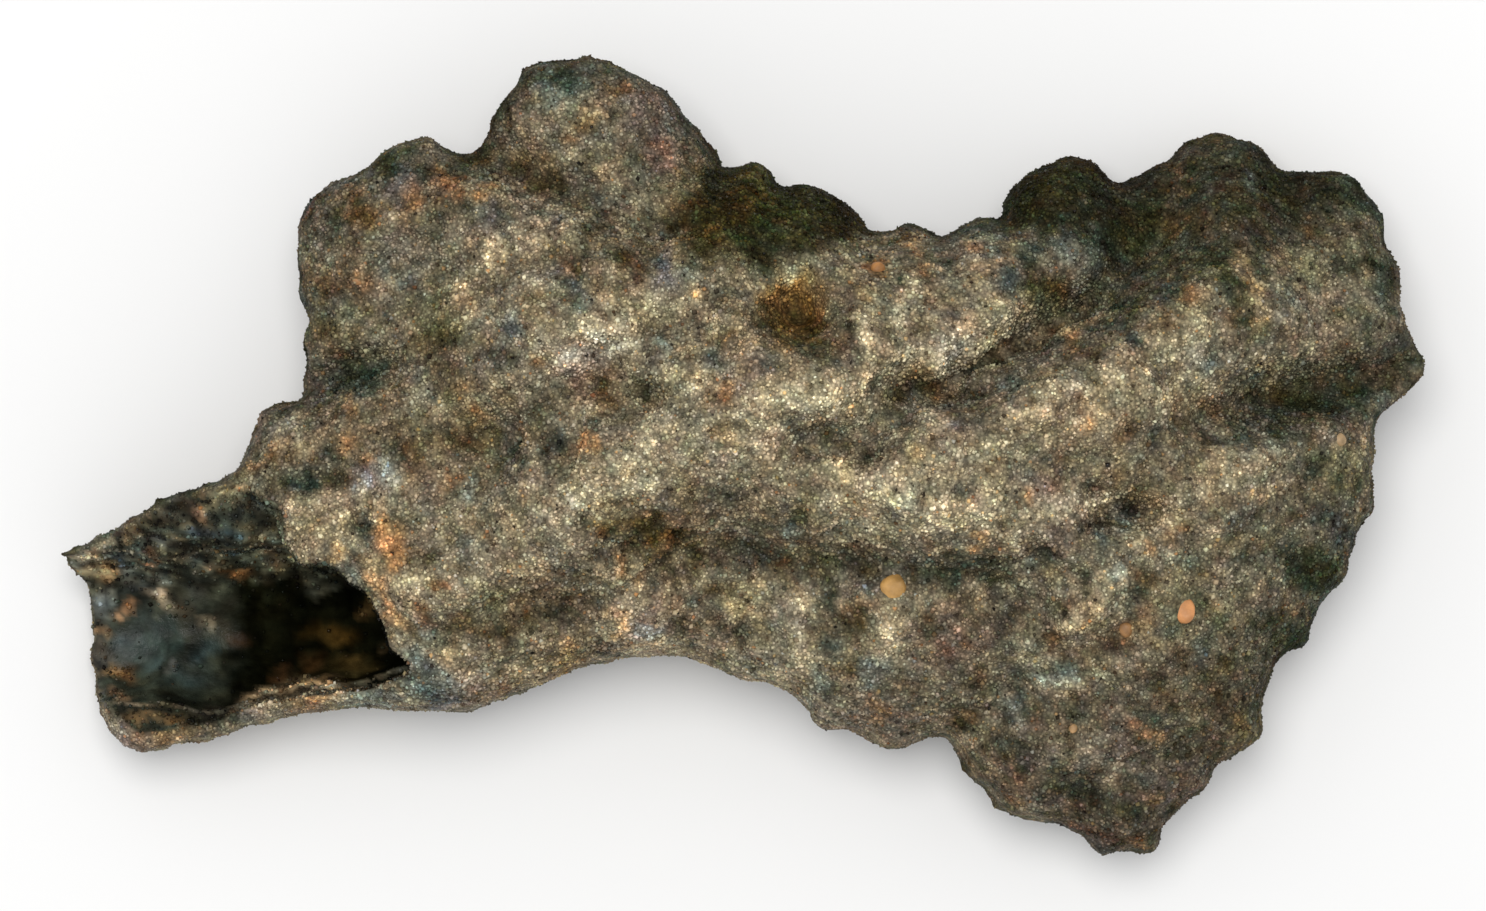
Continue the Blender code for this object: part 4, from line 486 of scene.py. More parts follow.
# Slighter changes of tone, in stops, laid over the others.
TOUCHES = [
    (-12.5, 8.2, 1.4, 0.40), (-13.6, 9.6, 0.9, 0.25), (-16.1, 8.0, 0.8, 0.25), (-2.9, 6.6, 0.7, 0.35), (-1.3, 6.2, 0.6, 0.35),
    (-7.5, 3.6, 0.9, 0.30), (-5.0, 4.9, 0.9, 0.15), (-3.0, 3.5, 0.8, 0.25), (-19.4, 1.0, 0.6, 0.35), (-16.4, -1.5, 0.8, 0.40),
    (-14.5, -2.9, 1.1, 0.45), (-12.9, -1.5, 0.8, 0.2), (2.1, 8.0, 0.7, 0.45), (9.0, 4.5, 1.3, 0.65), (11.0, 5.2, 1.2, 0.60),
    (7.3, 4.5, 0.8, 0.35), (1.6, 1.6, 1.3, 0.35), (3.6, 1.4, 0.8, 0.2), (-3.0, 0.2, 1.0, 0.25), (-0.5, 0.0, 1.0, 0.2),
    (1.0, -1.2, 1.0, 0.25), (4.5, -1.8, 1.0, 0.35), (7.4, -3.2, 1.0, 0.2), (10.2, -2.7, 0.9, 0.25), (14.2, 0.5, 1.1, 0.35),
    (12.2, 1.1, 0.9, 0.2), (16.0, 3.2, 1.0, 0.3), (19.6, 2.6, 0.8, 0.40), (23.0, 3.6, 0.8, 0.30), (16.0, -1.4, 0.6, 0.3),
    (18.5, -2.6, 0.9, 0.40), (19.2, -4.7, 1.0, 0.40), (16.0, -6.0, 0.8, 0.2), (7.0, -6.6, 0.9, 0.40), (-0.3, -6.8, 0.8, 0.25),
    (-2.0, -5.0, 0.9, 0.25), (-5.4, -5.0, 0.9, 0.35), (-4.4, -8.1, 1.3, 0.40), (1.8, -9.3, 1.3, 0.60), (11.4, -10.6, 0.9, 0.3),
    (9.6, -12.4, 0.9, 0.25), (16.0, -13.5, 1.0, 0.35), (14.6, -10.4, 0.8, 0.2), (-7.2, -8.1, 0.9, 0.3), (-12.4, -9.5, 0.9, 0.25),
    (-11.4, -5.8, 0.8, 0.2), (-9.0, -0.8, 0.9, 0.1), (5.4, 6.2, 0.8, 0.15), (9.0, -5.5, 0.9, 0.2), (23.0, -1.2, 0.9, 0.2),
    (-18.0, 10.0, 1.1, -0.35), (-15.0, 13.0, 1.0, -0.45), (-11.0, 12.6, 1.1, -0.30), (-10.5, 10.2, 0.7, -0.55), (-4.4, 8.7, 1.1, -0.65),
    (-1.6, 8.8, 0.9, -0.65), (0.9, 9.3, 0.8, -0.65), (-2.0, 10.4, 0.9, -0.40), (-6.4, 9.9, 0.8, -0.30), (-13.5, 4.2, 1.0, -0.45),
    (-17.5, 2.7, 0.7, -0.2), (1.8, 3.9, 0.9, -0.55), (3.9, 3.7, 0.8, -0.50), (17.3, 4.3, 0.9, -0.65), (17.0, 6.9, 1.0, -0.50),
    (18.8, 7.3, 1.0, -0.40), (20.2, 5.5, 0.8, -0.35), (22.0, 5.8, 0.8, -0.45), (14.0, 9.6, 1.2, -0.40), (12.1, 8.0, 0.8, -0.45),
    (16.8, 9.6, 0.9, -0.25), (22.8, 8.9, 1.3, -0.45), (26.6, 8.5, 0.9, -0.30), (27.9, 5.5, 0.8, -0.35), (9.1, 1.8, 0.6, -0.35),
    (21.5, 0.8, 0.9, -0.25), (23.6, 0.8, 0.8, -0.30), (25.8, 0.7, 0.7, -0.35), (13.4, 3.3, 0.6, -0.25), (14.8, -3.4, 1.0, -0.50),
    (-7.4, -1.0, 0.8, -0.30), (-11.0, -4.2, 0.9, -0.40), (-13.6, -4.5, 0.8, -0.25), (-5.0, 1.0, 0.7, -0.25), (-3.4, -2.7, 0.8, -0.30),
    (23.0, -4.4, 1.0, -0.40), (20.4, -10.0, 0.9, -0.25), (22.5, -11.6, 0.8, -0.25), (27.4, -1.2, 0.8, -0.35), (25.2, -7.6, 0.9, -0.35),
    (23.0, 13.8, 1.2, -0.6), (25.4, 12.8, 1.0, -0.6), (15.2, 13.0, 1.0, -0.35), (-19.3, 11.2, 0.8, -0.35), (18.2, -16.8, 0.8, -0.4),
    (11.5, -13.5, 0.7, -0.25), (5.0, 11.0, 0.8, -0.5), (-14.6, -7.8, 0.6, -0.3), (-1.0, 12.3, 0.8, -0.3),
    (-18.6, 11.0, 0.8, -0.20), (-14.0, 12.9, 0.8, -0.20), (-12.5, 11.5, 0.7, -0.20), (-11.0, 10.0, 0.6, -0.25), (-17.8, 9.6, 0.6, -0.20),
    (-6.5, 16.5, 0.8, -0.25), (-7.0, 11.3, 0.6, -0.20), (-1.0, 11.4, 0.8, -0.30), (0.8, 9.8, 0.7, -0.30), (1.3, 8.5, 0.6, -0.40),
    (-1.8, 8.0, 0.6, -0.35), (-3.5, 8.2, 0.7, -0.30), (0.0, 7.0, 0.5, -0.35), (-6.8, 7.0, 0.5, -0.25), (3.5, 4.0, 0.7, -0.40),
    (1.8, 3.2, 0.5, -0.30), (-2.6, 1.9, 0.5, -0.25), (7.2, 8.0, 0.5, -0.25), (7.8, 6.5, 0.4, -0.20), (11.7, 7.0, 0.6, -0.55),
    (12.4, 8.5, 0.6, -0.30), (13.6, 2.4, 0.5, -0.45), (14.5, 9.5, 0.8, -0.20), (17.2, 4.0, 0.9, -0.45), (19.0, 5.7, 0.6, -0.30),
    (20.4, 4.2, 0.6, -0.40), (22.0, 5.8, 0.6, -0.25), (23.5, 6.5, 0.6, -0.30), (25.3, 5.5, 0.5, -0.40), (27.5, 5.2, 0.6, -0.25),
    (21.5, 7.5, 0.5, -0.20), (24.0, 8.5, 0.6, -0.20), (27.5, 8.5, 0.6, -0.25), (20.5, 0.8, 0.6, -0.25), (23.5, 1.0, 0.6, -0.30),
    (25.8, 0.9, 0.6, -0.35), (24.9, -0.8, 0.6, -0.30), (27.3, -1.0, 0.6, -0.25), (29.2, 4.2, 0.6, -0.30), (6.5, -1.0, 0.5, -0.25),
    (9.2, 1.9, 0.5, -0.25), (14.8, -3.0, 0.6, -0.25), (-7.3, -1.0, 0.6, -0.25), (-11.5, -1.0, 0.5, -0.30), (-10.9, -0.2, 0.5, -0.25),
    (-12.5, -4.3, 0.7, -0.40), (-14.8, -5.0, 0.5, -0.20), (-20.5, -1.8, 0.6, -0.45), (-17.0, -0.7, 0.5, -0.30), (-20.7, 1.3, 0.5, -0.25),
    (-18.5, 2.3, 0.6, -0.30), (-14.5, 0.4, 0.5, -0.20), (-16.0, -10.1, 0.6, -0.30), (-11.3, -7.8, 0.6, -0.35), (6.5, -8.8, 0.5, -0.30),
    (4.0, -5.8, 0.5, -0.20), (17.2, -7.2, 0.5, -0.25), (18.7, -7.7, 0.5, -0.25), (22.3, -4.0, 0.6, -0.25), (18.3, -10.3, 0.6, -0.25),
    (16.3, -12.6, 0.6, -0.40), (11.5, -13.7, 0.5, -0.30), (18.3, -14.0, 0.6, -0.30), (17.0, -15.5, 0.6, -0.20), (20.5, -10.0, 0.5, -0.20),
    (-19.0, 8.4, 0.6, 0.25), (-15.5, 8.0, 0.7, 0.25), (-14.3, 9.0, 0.6, 0.25), (-12.2, 8.0, 1.0, 0.35), (-10.9, 7.7, 0.7, 0.35),
    (-8.8, 9.5, 0.6, 0.25), (-15.7, 4.7, 0.6, 0.20), (-9.3, 15.3, 0.6, 0.25), (-3.5, 12.0, 0.6, 0.20), (-2.2, 6.8, 0.5, 0.20),
    (-1.2, 6.1, 0.5, 0.30), (-3.2, 3.3, 0.6, 0.25), (-4.7, 1.8, 0.6, 0.30), (-7.5, 3.6, 0.6, 0.25), (-5.5, 5.0, 0.6, 0.15),
    (-4.0, 0.0, 0.6, 0.20), (-1.7, 0.0, 0.6, 0.25), (0.0, 3.0, 0.5, 0.20), (1.2, 1.0, 0.7, 0.30), (1.3, -0.7, 0.7, 0.25),
    (2.8, 1.6, 0.5, 0.20), (2.3, 7.6, 0.7, 0.55), (4.5, 7.3, 0.5, 0.20), (5.7, 5.9, 0.5, 0.20), (7.5, 4.1, 0.8, 0.55),
    (9.0, 4.0, 0.7, 0.45), (10.5, 5.0, 1.0, 0.60), (12.2, 5.8, 0.6, 0.45), (9.0, 0.0, 0.6, 0.20), (11.0, 0.9, 0.6, 0.20),
    (12.0, 1.7, 0.6, 0.25), (14.5, 1.0, 0.7, 0.30), (14.7, -0.5, 0.6, 0.20), (15.8, 2.3, 0.5, 0.20), (18.7, 2.6, 0.9, 0.50),
    (20.0, 3.3, 0.6, 0.25), (23.0, 3.7, 0.7, 0.35), (15.8, -1.5, 0.5, 0.30), (18.2, -2.6, 0.7, 0.40), (20.5, -2.0, 0.6, 0.20),
    (18.7, -4.8, 0.8, 0.40), (19.8, -5.1, 0.5, 0.20), (16.0, -5.8, 0.5, 0.25), (11.6, -5.2, 0.7, 0.40), (-1.2, -3.0, 0.7, 0.45),
    (-4.8, -2.0, 0.7, 0.25), (-2.4, -5.4, 0.6, 0.30), (-5.0, -5.3, 0.7, 0.35), (-6.5, -7.6, 0.6, 0.30), (-3.5, -7.8, 0.7, 0.35),
    (0.0, -7.0, 0.6, 0.30), (1.8, -5.7, 0.6, 0.30), (2.4, -9.3, 0.7, 0.50), (1.0, -9.3, 0.6, 0.40), (6.5, -6.6, 0.6, 0.30),
    (5.6, -2.5, 0.5, 0.20), (8.0, -3.3, 0.6, 0.25), (4.7, -1.8, 0.5, 0.20), (10.8, -2.8, 0.6, 0.25), (-14.5, -2.9, 0.8, 0.35),
    (-16.0, -1.5, 0.6, 0.30), (-12.7, -3.0, 0.5, 0.20), (-13.5, -1.5, 0.5, 0.20), (11.3, -10.5, 0.6, 0.35), (12.5, -12.4, 0.6, 0.30),
    (14.5, -10.5, 0.6, 0.25), (13.3, -9.0, 0.5, 0.20), (16.0, -14.0, 0.6, 0.30), (14.3, -13.0, 0.5, 0.25), (17.7, -8.8, 0.5, 0.20),
    (19.5, -12.0, 0.6, 0.20), (9.4, -12.5, 0.6, 0.30), (10.3, -14.0, 0.6, 0.30), (-11.8, -5.9, 0.6, 0.25), (-12.3, -9.7, 0.6, 0.25),
    (-9.0, -9.0, 0.6, 0.20), (23.0, -1.2, 0.6, 0.20), (-27.0, -11.6, 0.7, -0.55), (-25.4, -11.6, 0.7, -0.6), (-23.8, -11.4, 0.7, -0.9),
    (-22.6, -11.3, 0.5, -0.8), (-28.1, -11.0, 0.5, -0.5),
    (-13.5, 11.8, 0.9, -0.75), (-14.6, 12.9, 0.6, -0.50), (-13.8, 13.4, 0.4, -0.35), (-11.8, 11.4, 0.6, -0.65), (-12.7, 10.2, 0.6, -0.75),
    (-10.6, 9.6, 0.5, -0.65), (-14.8, 9.3, 0.5, -0.50), (-17.4, 10.5, 0.6, -0.50), (-18.0, 9.2, 0.5, -0.40), (-19.2, 10.8, 0.4, -0.45),
    (-18.5, 6.8, 0.45, -0.35), (-14.4, 4.6, 0.40, -0.55), (-13.8, 3.2, 0.35, -0.40), (-12.2, 2.6, 0.5, -0.50), (-10.7, 3.4, 0.4, -0.30),
    (-12.9, 7.4, 0.5, -0.35), (-10.2, 6.8, 0.45, -0.35), (-10.5, 15.6, 0.4, -0.45), (-9.1, 17.1, 0.5, -0.60), (-7.8, 17.1, 0.4, -0.55),
    (-6.5, 16.5, 0.5, -0.55), (-7.3, 15.6, 0.4, -0.45), (-8.1, 15.2, 0.45, -0.55), (-7.4, 13.5, 0.4, -0.30), (-10.5, 12.4, 0.45, -0.30),
    (-4.3, 13.6, 0.35, -0.35), (-4.7, 12.5, 0.4, -0.28), (-5.3, 8.2, 0.45, -0.55), (-4.5, 9.2, 0.45, -0.45), (-6.5, 9.2, 0.35, -0.45),
    (-5.7, 10.5, 0.35, -0.35), (-2.5, 10.2, 0.5, -0.50), (-1.5, 9.4, 0.7, -0.80), (-1.8, 7.2, 0.40, -0.40), (-1.3, 11.8, 0.4, -0.60),
    (-9.3, 8.1, 0.4, -0.30), (-7.0, 6.8, 0.45, -0.40), (-1.9, 3.3, 0.4, -0.40), (-11.1, 0.0, 0.45, -0.75), (-10.0, -0.2, 0.40, -0.55),
    (-18.3, 2.2, 0.6, -0.55), (-16.6, 2.4, 0.45, -0.30), (-19.7, -0.8, 0.5, -0.60), (-13.7, 0.3, 0.4, -0.40), (-3.1, 1.7, 0.45, -0.40),
    (-7.3, 0.4, 0.45, -0.30), (-18.1, 3.4, 0.7, 0.75), (-15.8, 4.8, 0.6, 0.65), (-16.6, 3.9, 0.5, 0.40), (-18.3, 8.4, 0.7, 0.50),
    (-16.9, 7.6, 0.5, 0.50), (-19.3, 7.4, 0.35, 0.35), (-19.0, 4.5, 0.35, 0.35), (-14.9, 7.7, 0.5, 0.25), (-13.8, 9.8, 0.35, 0.30),
    (-12.3, 6.6, 0.35, 0.40), (-11.1, 5.7, 0.45, 0.40), (-9.7, 5.7, 0.45, 0.55), (-9.5, 8.9, 0.35, 0.50), (-8.3, 8.2, 0.45, 0.55),
    (-7.7, 5.6, 0.5, 0.50), (-9.3, 14.1, 0.45, 0.50), (-8.7, 11.7, 0.45, 0.40), (-8.7, 10.5, 0.45, 0.40), (-6.3, 13.2, 0.4, 0.30),
    (-6.9, 11.6, 0.35, 0.30), (-6.2, 4.8, 0.45, 0.40), (-6.2, 2.5, 0.5, 0.55), (-4.5, 2.5, 0.55, 0.75), (-3.9, 5.0, 0.55, 0.50),
    (-3.3, 6.6, 0.45, 0.50), (-2.5, 5.6, 0.35, 0.40), (-1.8, 4.4, 0.45, 0.65), (-1.3, 6.3, 0.45, 0.65), (-3.9, 11.7, 0.4, 0.30),
    (-3.9, -0.6, 0.45, 0.60), (-10.3, 2.6, 0.40, 0.40), (-10.7, 1.3, 0.5, 0.40), (-13.0, 1.3, 0.35, 0.40), (-18.0, 0.6, 0.4, 0.40),
    (-20.2, -0.2, 0.35, 0.35), (-1.5, 12.8, 0.5, 0.60), (-2.3, 14.2, 0.4, 0.30), (-10.6, -3.6, 0.5, -0.75), (-10.3, -2.5, 0.45, -0.50),
    (-8.8, -6.5, 0.5, -0.70), (-9.6, -6.6, 0.4, -0.40), (-8.1, -5.8, 0.4, -0.45), (-10.9, -7.4, 0.5, -0.60), (-10.1, -8.2, 0.5, -0.60),
    (-10.1, -9.2, 0.35, -0.50), (-8.4, -7.3, 0.35, -0.40), (-7.3, -3.8, 0.45, -0.40), (-5.9, -3.4, 0.5, -0.40), (-4.0, -3.6, 0.5, -0.25),
    (-4.4, 0.9, 0.4, -0.22), (-0.2, 1.1, 0.4, -0.28), (-0.1, 2.1, 0.35, -0.30), (2.1, 2.8, 0.5, -0.38), (1.3, 3.4, 0.4, -0.40),
    (-0.3, -4.4, 0.4, -0.40), (2.3, -4.6, 0.4, -0.48), (1.9, -2.9, 0.35, -0.35), (2.6, -9.0, 0.4, -0.48), (0.6, -8.0, 0.4, -0.30),
    (-0.9, -6.3, 0.4, -0.28), (7.0, -11.8, 0.5, -0.40), (9.2, -9.8, 0.5, -0.55), (10.1, -9.4, 0.35, -0.35), (9.3, -7.4, 0.35, -0.30),
    (9.3, -1.9, 0.6, -0.32), (10.3, -4.1, 0.4, -0.32), (4.8, -0.7, 0.45, -0.28), (-8.8, -1.9, 1.0, -0.16), (2.05, 0.5, 0.65, 0.85),
    (3.7, 0.9, 0.7, 0.85), (5.1, 0.4, 0.4, 0.70), (4.5, 1.65, 0.45, 0.55), (6.4, 1.8, 0.4, 0.40), (7.3, 1.95, 0.4, 0.55),
    (6.6, 0.8, 0.45, 0.50), (8.1, 3.4, 0.85, 1.00), (10.0, 3.3, 0.7, 1.05), (-1.25, -3.5, 0.5, 0.75), (1.0, -3.9, 0.6, 0.65),
    (0.3, -3.5, 0.4, 0.35), (-2.6, -4.65, 0.7, 0.85), (-1.3, -5.2, 0.5, 0.70), (-4.4, -2.3, 0.6, 0.75), (4.8, -3.8, 0.8, 0.85),
    (6.15, -4.2, 0.5, 0.55), (7.3, -4.5, 0.45, 0.85), (5.1, -6.5, 0.45, 0.65), (6.9, -2.75, 0.35, 0.50), (-0.3, -7.4, 0.6, 0.75),
    (1.6, -7.4, 0.6, 0.85), (1.6, -6.4, 0.45, 0.50), (3.4, -7.5, 0.45, 0.60), (-5.4, -5.7, 0.5, 0.50), (-6.5, -7.6, 0.40, 0.50),
    (5.1, -8.75, 0.45, 0.60), (3.7, -9.0, 0.35, 0.40), (6.3, -10.1, 0.45, 0.42), (6.6, -11.0, 0.40, 0.42), (10.0, -11.85, 0.5, 0.65),
    (10.6, -5.8, 0.65, 1.05), (9.8, -8.25, 0.40, 0.50), (8.05, -5.5, 0.35, 0.42), (8.5, 0.0, 1.0, 0.22), (-1.9, 0.5, 0.35, 0.40),
    (-1.0, -0.3, 0.7, 0.25), (-1.0, -2.2, 0.5, 0.40), (0.4, -0.4, 0.8, 0.32), (1.9, -0.8, 0.5, 0.35), (4.0, -2.2, 0.4, 0.35),
    (-10.3, -5.7, 0.5, 0.42), (-7.8, -8.5, 0.5, 0.40), (-7.8, -6.6, 0.35, 0.50), (-4.5, -8.0, 0.45, 0.40), (-1.9, -8.0, 0.5, 0.25),
    (-0.5, 9.5, 0.8, -0.95), (0.6, 10.2, 0.6, -0.85), (0.8, 8.9, 0.8, -0.95), (1.8, 8.9, 0.6, -0.85), (2.5, 9.95, 0.55, -0.75),
    (-0.3, 6.95, 0.45, -0.65), (0.2, 6.2, 0.45, -0.45), (-0.75, 11.1, 0.45, -0.70), (1.3, 5.3, 0.5, -0.55), (2.7, 4.6, 0.45, -0.50),
    (3.55, 6.15, 0.45, -0.75), (5.3, 5.9, 0.45, -0.75), (4.4, 6.8, 0.35, -0.40), (4.75, 11.0, 0.5, -0.60), (6.15, 8.25, 0.45, -0.45),
    (7.05, 7.3, 0.45, -0.65), (7.6, 8.0, 0.35, -0.40), (8.4, 7.3, 0.35, -0.30), (7.05, 4.3, 0.40, -0.42), (9.9, 6.1, 0.40, -0.55),
    (11.5, 7.05, 0.5, -0.65), (12.55, 10.3, 0.5, -0.55), (13.3, 9.35, 0.5, -0.85), (12.6, 8.25, 0.5, -0.85), (15.6, 9.85, 0.8, -0.90),
    (16.3, 9.0, 0.5, -0.55), (11.4, 3.95, 0.40, -0.60), (10.8, 2.55, 0.35, -0.45), (13.5, 2.25, 0.45, -0.48), (13.3, 4.4, 0.35, -0.40),
    (14.85, 3.35, 0.40, -0.45), (14.9, 4.4, 0.35, -0.38), (15.6, 2.15, 0.40, -0.45), (15.1, 6.1, 0.5, -0.40), (15.9, 6.7, 0.45, -0.40),
    (16.9, 6.6, 0.5, -0.75), (13.7, 6.65, 0.35, -0.30), (9.7, 8.9, 0.5, -0.30), (9.1, 1.7, 0.45, -0.25), (12.6, 0.1, 0.5, -0.28),
    (3.45, 9.2, 0.40, 0.75), (2.4, 11.25, 0.5, 0.60), (0.7, 11.5, 0.45, 0.75), (1.3, 12.5, 0.35, 0.50), (-0.5, 12.4, 0.4, 0.55),
    (2.5, 6.5, 1.30, 0.30), (2.7, 7.1, 0.50, 0.25), (1.5, 6.5, 0.45, 0.40), (2.6, 6.4, 0.45, 0.60), (2.6, 7.3, 0.40, 0.30), (1.65, 4.3, 0.45, 0.50), (3.9, 4.65, 0.45, 0.40),
    (4.5, 6.0, 0.35, 0.40), (4.8, 9.95, 0.40, 0.40), (6.2, 7.5, 0.35, 0.55), (6.4, 6.6, 0.40, 0.40), (7.9, 5.9, 0.40, 0.55),
    (6.7, 9.1, 0.5, 0.32), (7.6, 10.0, 0.45, 0.45), (11.9, 4.8, 0.6, 1.10), (12.7, 5.4, 0.5, 0.95), (11.1, 4.8, 0.45, 0.70),
    (13.5, 5.75, 0.45, 0.55), (9.6, 4.65, 0.45, 0.65), (12.2, 3.7, 0.45, 0.50), (11.7, 10.05, 0.45, 0.40), (16.4, 11.5, 0.7, 0.85),
    (11.9, 11.3, 0.35, 0.50), (14.5, 13.0, 0.35, 0.50), (15.75, 4.4, 0.35, 0.65), (16.6, 2.0, 0.5, 0.55), (15.3, 0.7, 0.45, 0.55),
    (16.4, 0.5, 0.45, 0.65), (6.0, 3.5, 0.45, 0.55), (14.6, 6.95, 0.45, 0.32), (15.7, 7.8, 0.35, 0.32), (15.8, -3.8, 0.6, -0.65),
    (15.5, -4.9, 0.40, -0.55), (14.55, -3.25, 0.40, -0.65), (17.2, -2.8, 0.45, -0.75), (14.0, -4.4, 0.45, -0.40), (20.3, -6.4, 0.45, -0.75),
    (17.8, -6.6, 0.40, -0.55), (16.8, -7.4, 0.35, -0.60), (14.6, -6.85, 0.45, -0.55), (18.7, -7.5, 0.45, -0.55), (19.5, -8.1, 0.35, -0.35),
    (17.7, -8.7, 0.35, -0.48), (16.7, -8.8, 0.40, -0.32), (14.2, -9.6, 0.40, -0.48), (18.7, -10.0, 0.5, -0.65), (17.85, -11.1, 0.6, -0.40),
    (19.75, -9.1, 0.35, -0.40), (11.4, -6.5, 0.45, -0.32), (17.2, -15.3, 0.55, -0.85), (18.7, -13.7, 0.5, -0.40), (11.5, -13.7, 0.5, -0.48),
    (13.6, -14.7, 0.5, -0.32), (16.7, -12.5, 0.45, -0.40), (13.0, -11.6, 0.6, -0.32), (16.8, -17.2, 0.35, -0.55), (22.1, -12.2, 0.45, -0.40),
    (21.8, -11.2, 0.4, -0.30), (20.6, 0.5, 0.45, -0.55), (22.2, 0.55, 0.45, -0.60), (23.4, 0.65, 0.45, -0.75), (23.0, -0.2, 0.40, -0.60),
    (25.3, -0.9, 0.7, -0.85), (26.7, -1.05, 0.45, -0.70), (23.7, -2.45, 0.6, -0.75), (21.0, -2.5, 0.7, -0.50), (27.4, -2.1, 0.4, -0.60),
    (22.4, -4.6, 0.8, -0.50), (23.9, -4.7, 0.4, -0.55), (25.8, 0.3, 0.45, -0.70), (23.3, -7.8, 0.5, -0.32), (21.5, -7.6, 0.5, -0.32),
    (24.6, -7.2, 0.5, -0.40), (11.2, -5.5, 0.65, 0.85), (12.1, -4.8, 0.45, 0.85), (13.75, -5.75, 0.5, 0.85), (16.1, -2.2, 0.6, 0.95),
    (14.8, -10.7, 0.5, 0.90), (10.7, -12.2, 0.6, 0.50), (12.35, -12.55, 0.5, 0.65), (14.3, -12.5, 0.45, 0.65), (15.2, -13.5, 0.6, 0.58),
    (17.0, -14.25, 0.40, 0.60), (16.2, -11.75, 0.40, 0.50), (18.3, -12.6, 0.5, 0.60), (19.5, -12.5, 0.4, 0.40), (19.0, -15.5, 0.5, 0.60),
    (17.55, -7.5, 0.35, 0.40), (23.0, -9.3, 0.45, 0.65), (23.1, -6.6, 0.5, 0.50), (25.2, -5.75, 0.45, 0.55), (26.4, -5.4, 0.4, 0.45),
    (20.9, -3.85, 0.45, 0.50), (20.1, -5.2, 0.5, 0.40), (24.4, -4.0, 0.35, 0.40), (25.6, -4.1, 0.45, 0.50), (22.2, -2.8, 0.35, 0.50),
    (19.75, -1.4, 0.40, 0.55), (11.4, -11.2, 0.45, 0.40), (13.3, -10.4, 0.5, 0.32), (9.7, -12.9, 0.4, 0.40), (11.3, -15.0, 0.4, 0.50),
    (12.9, -15.7, 0.45, 0.45), (27.6, -0.2, 0.4, 0.40), (8.2, -8.8, 0.40, 0.48), (7.4, -7.2, 0.5, 0.40), (15.1, -7.7, 0.40, 0.40),
    (9.9, -3.3, 0.5, 0.35), (11.1, -3.5, 0.35, 0.32), (9.5, -0.8, 0.6, 0.25), (17.1, -5.6, 0.35, 0.40), (16.4, -6.2, 0.35, 0.40),
    (23.15, 9.8, 1.1, -0.90), (21.9, 8.9, 0.9, -0.95), (22.1, 10.3, 0.5, -0.50), (24.2, 9.7, 0.6, -0.60), (22.8, 6.8, 0.6, -0.95),
    (22.5, 7.9, 0.45, -0.70), (23.0, 5.9, 0.45, -0.65), (24.4, 7.4, 0.55, -0.90), (26.6, 8.15, 0.45, -0.70), (27.7, 8.15, 0.5, -0.80),
    (28.1, 6.9, 0.4, -0.45), (27.8, 5.5, 0.45, -0.65), (29.2, 4.2, 0.4, -0.65), (25.0, 5.25, 0.40, -0.75), (22.1, 4.9, 0.45, -0.55),
    (25.6, 11.2, 0.6, -0.45), (27.2, 12.1, 0.35, -0.60), (24.4, 12.5, 0.4, -0.50), (22.6, 13.8, 0.4, -0.40), (17.6, 7.65, 0.7, -0.75),
    (17.1, 6.75, 0.6, -0.70), (18.8, 8.0, 0.45, -0.55), (19.7, 7.3, 0.5, -0.75), (18.9, 6.9, 0.4, -0.50), (18.1, 5.6, 0.8, -0.90),
    (19.1, 5.9, 0.4, -0.45), (20.1, 5.6, 0.5, -0.40), (17.4, 9.05, 0.6, -0.55), (16.4, 10.6, 0.4, -0.40), (17.1, 12.2, 0.4, -0.50),
    (15.6, 13.0, 0.35, -0.60), (13.1, 12.75, 0.35, -0.40), (16.6, 3.8, 0.45, -0.48), (17.8, 4.1, 0.35, -0.45), (17.7, 3.0, 0.35, -0.40),
    (26.1, 1.2, 0.6, -0.85), (24.7, 1.7, 0.5, -0.55), (19.35, 0.9, 0.45, -0.40), (20.5, 1.6, 0.4, -0.30), (18.8, 11.6, 0.9, 0.90),
    (18.2, 10.4, 0.6, 0.80), (19.1, 12.5, 0.5, 0.40), (17.4, 11.65, 0.5, 0.55), (21.1, 11.45, 0.5, 0.65), (21.1, 12.6, 0.5, 0.65),
    (22.5, 12.2, 0.6, 0.55), (20.0, 12.8, 0.45, 0.45), (24.3, 11.3, 0.45, 0.50), (22.5, 3.1, 0.55, 0.90), (23.7, 3.6, 0.6, 0.65),
    (23.5, 2.45, 0.6, 0.50), (20.4, 2.45, 0.7, 0.58), (21.4, 2.3, 0.4, 0.30), (18.8, 1.6, 0.5, 0.58), (21.4, 7.4, 0.45, 0.60),
    (21.3, 6.1, 0.35, 0.32), (19.8, 8.0, 0.35, 0.50), (20.1, 9.55, 0.40, 0.40), (25.9, 3.0, 0.45, 0.40), (27.5, 2.7, 0.45, 0.50),
    (27.4, 11.1, 0.4, 0.50), (26.3, 12.3, 0.4, 0.50), (27.3, 6.4, 0.35, 0.40), (25.75, 8.3, 0.35, 0.40), (26.5, 5.0, 0.35, 0.40),
    (24.2, 8.65, 0.35, 0.40), (23.9, 5.6, 0.4, 0.30), (19.1, 4.0, 0.5, 0.40), (27.2, 0.9, 0.5, 0.40), (19.6, 13.5, 0.4, 0.50),
    (21.0, 14.0, 0.4, 0.40), (-26.0, -11.4, 0.65, -1.10), (-24.6, -11.35, 0.6, -1.30), (-23.5, -11.45, 0.55, -1.10), (-22.2, -11.2, 0.5, -0.80),
    (-27.2, -11.2, 0.4, -0.60), (-21.2, -11.2, 0.4, -0.50), (-19.6, -1.25, 0.5, -0.75), (-21.0, -1.5, 0.4, -0.50), (-13.6, -9.7, 0.5, 0.45),
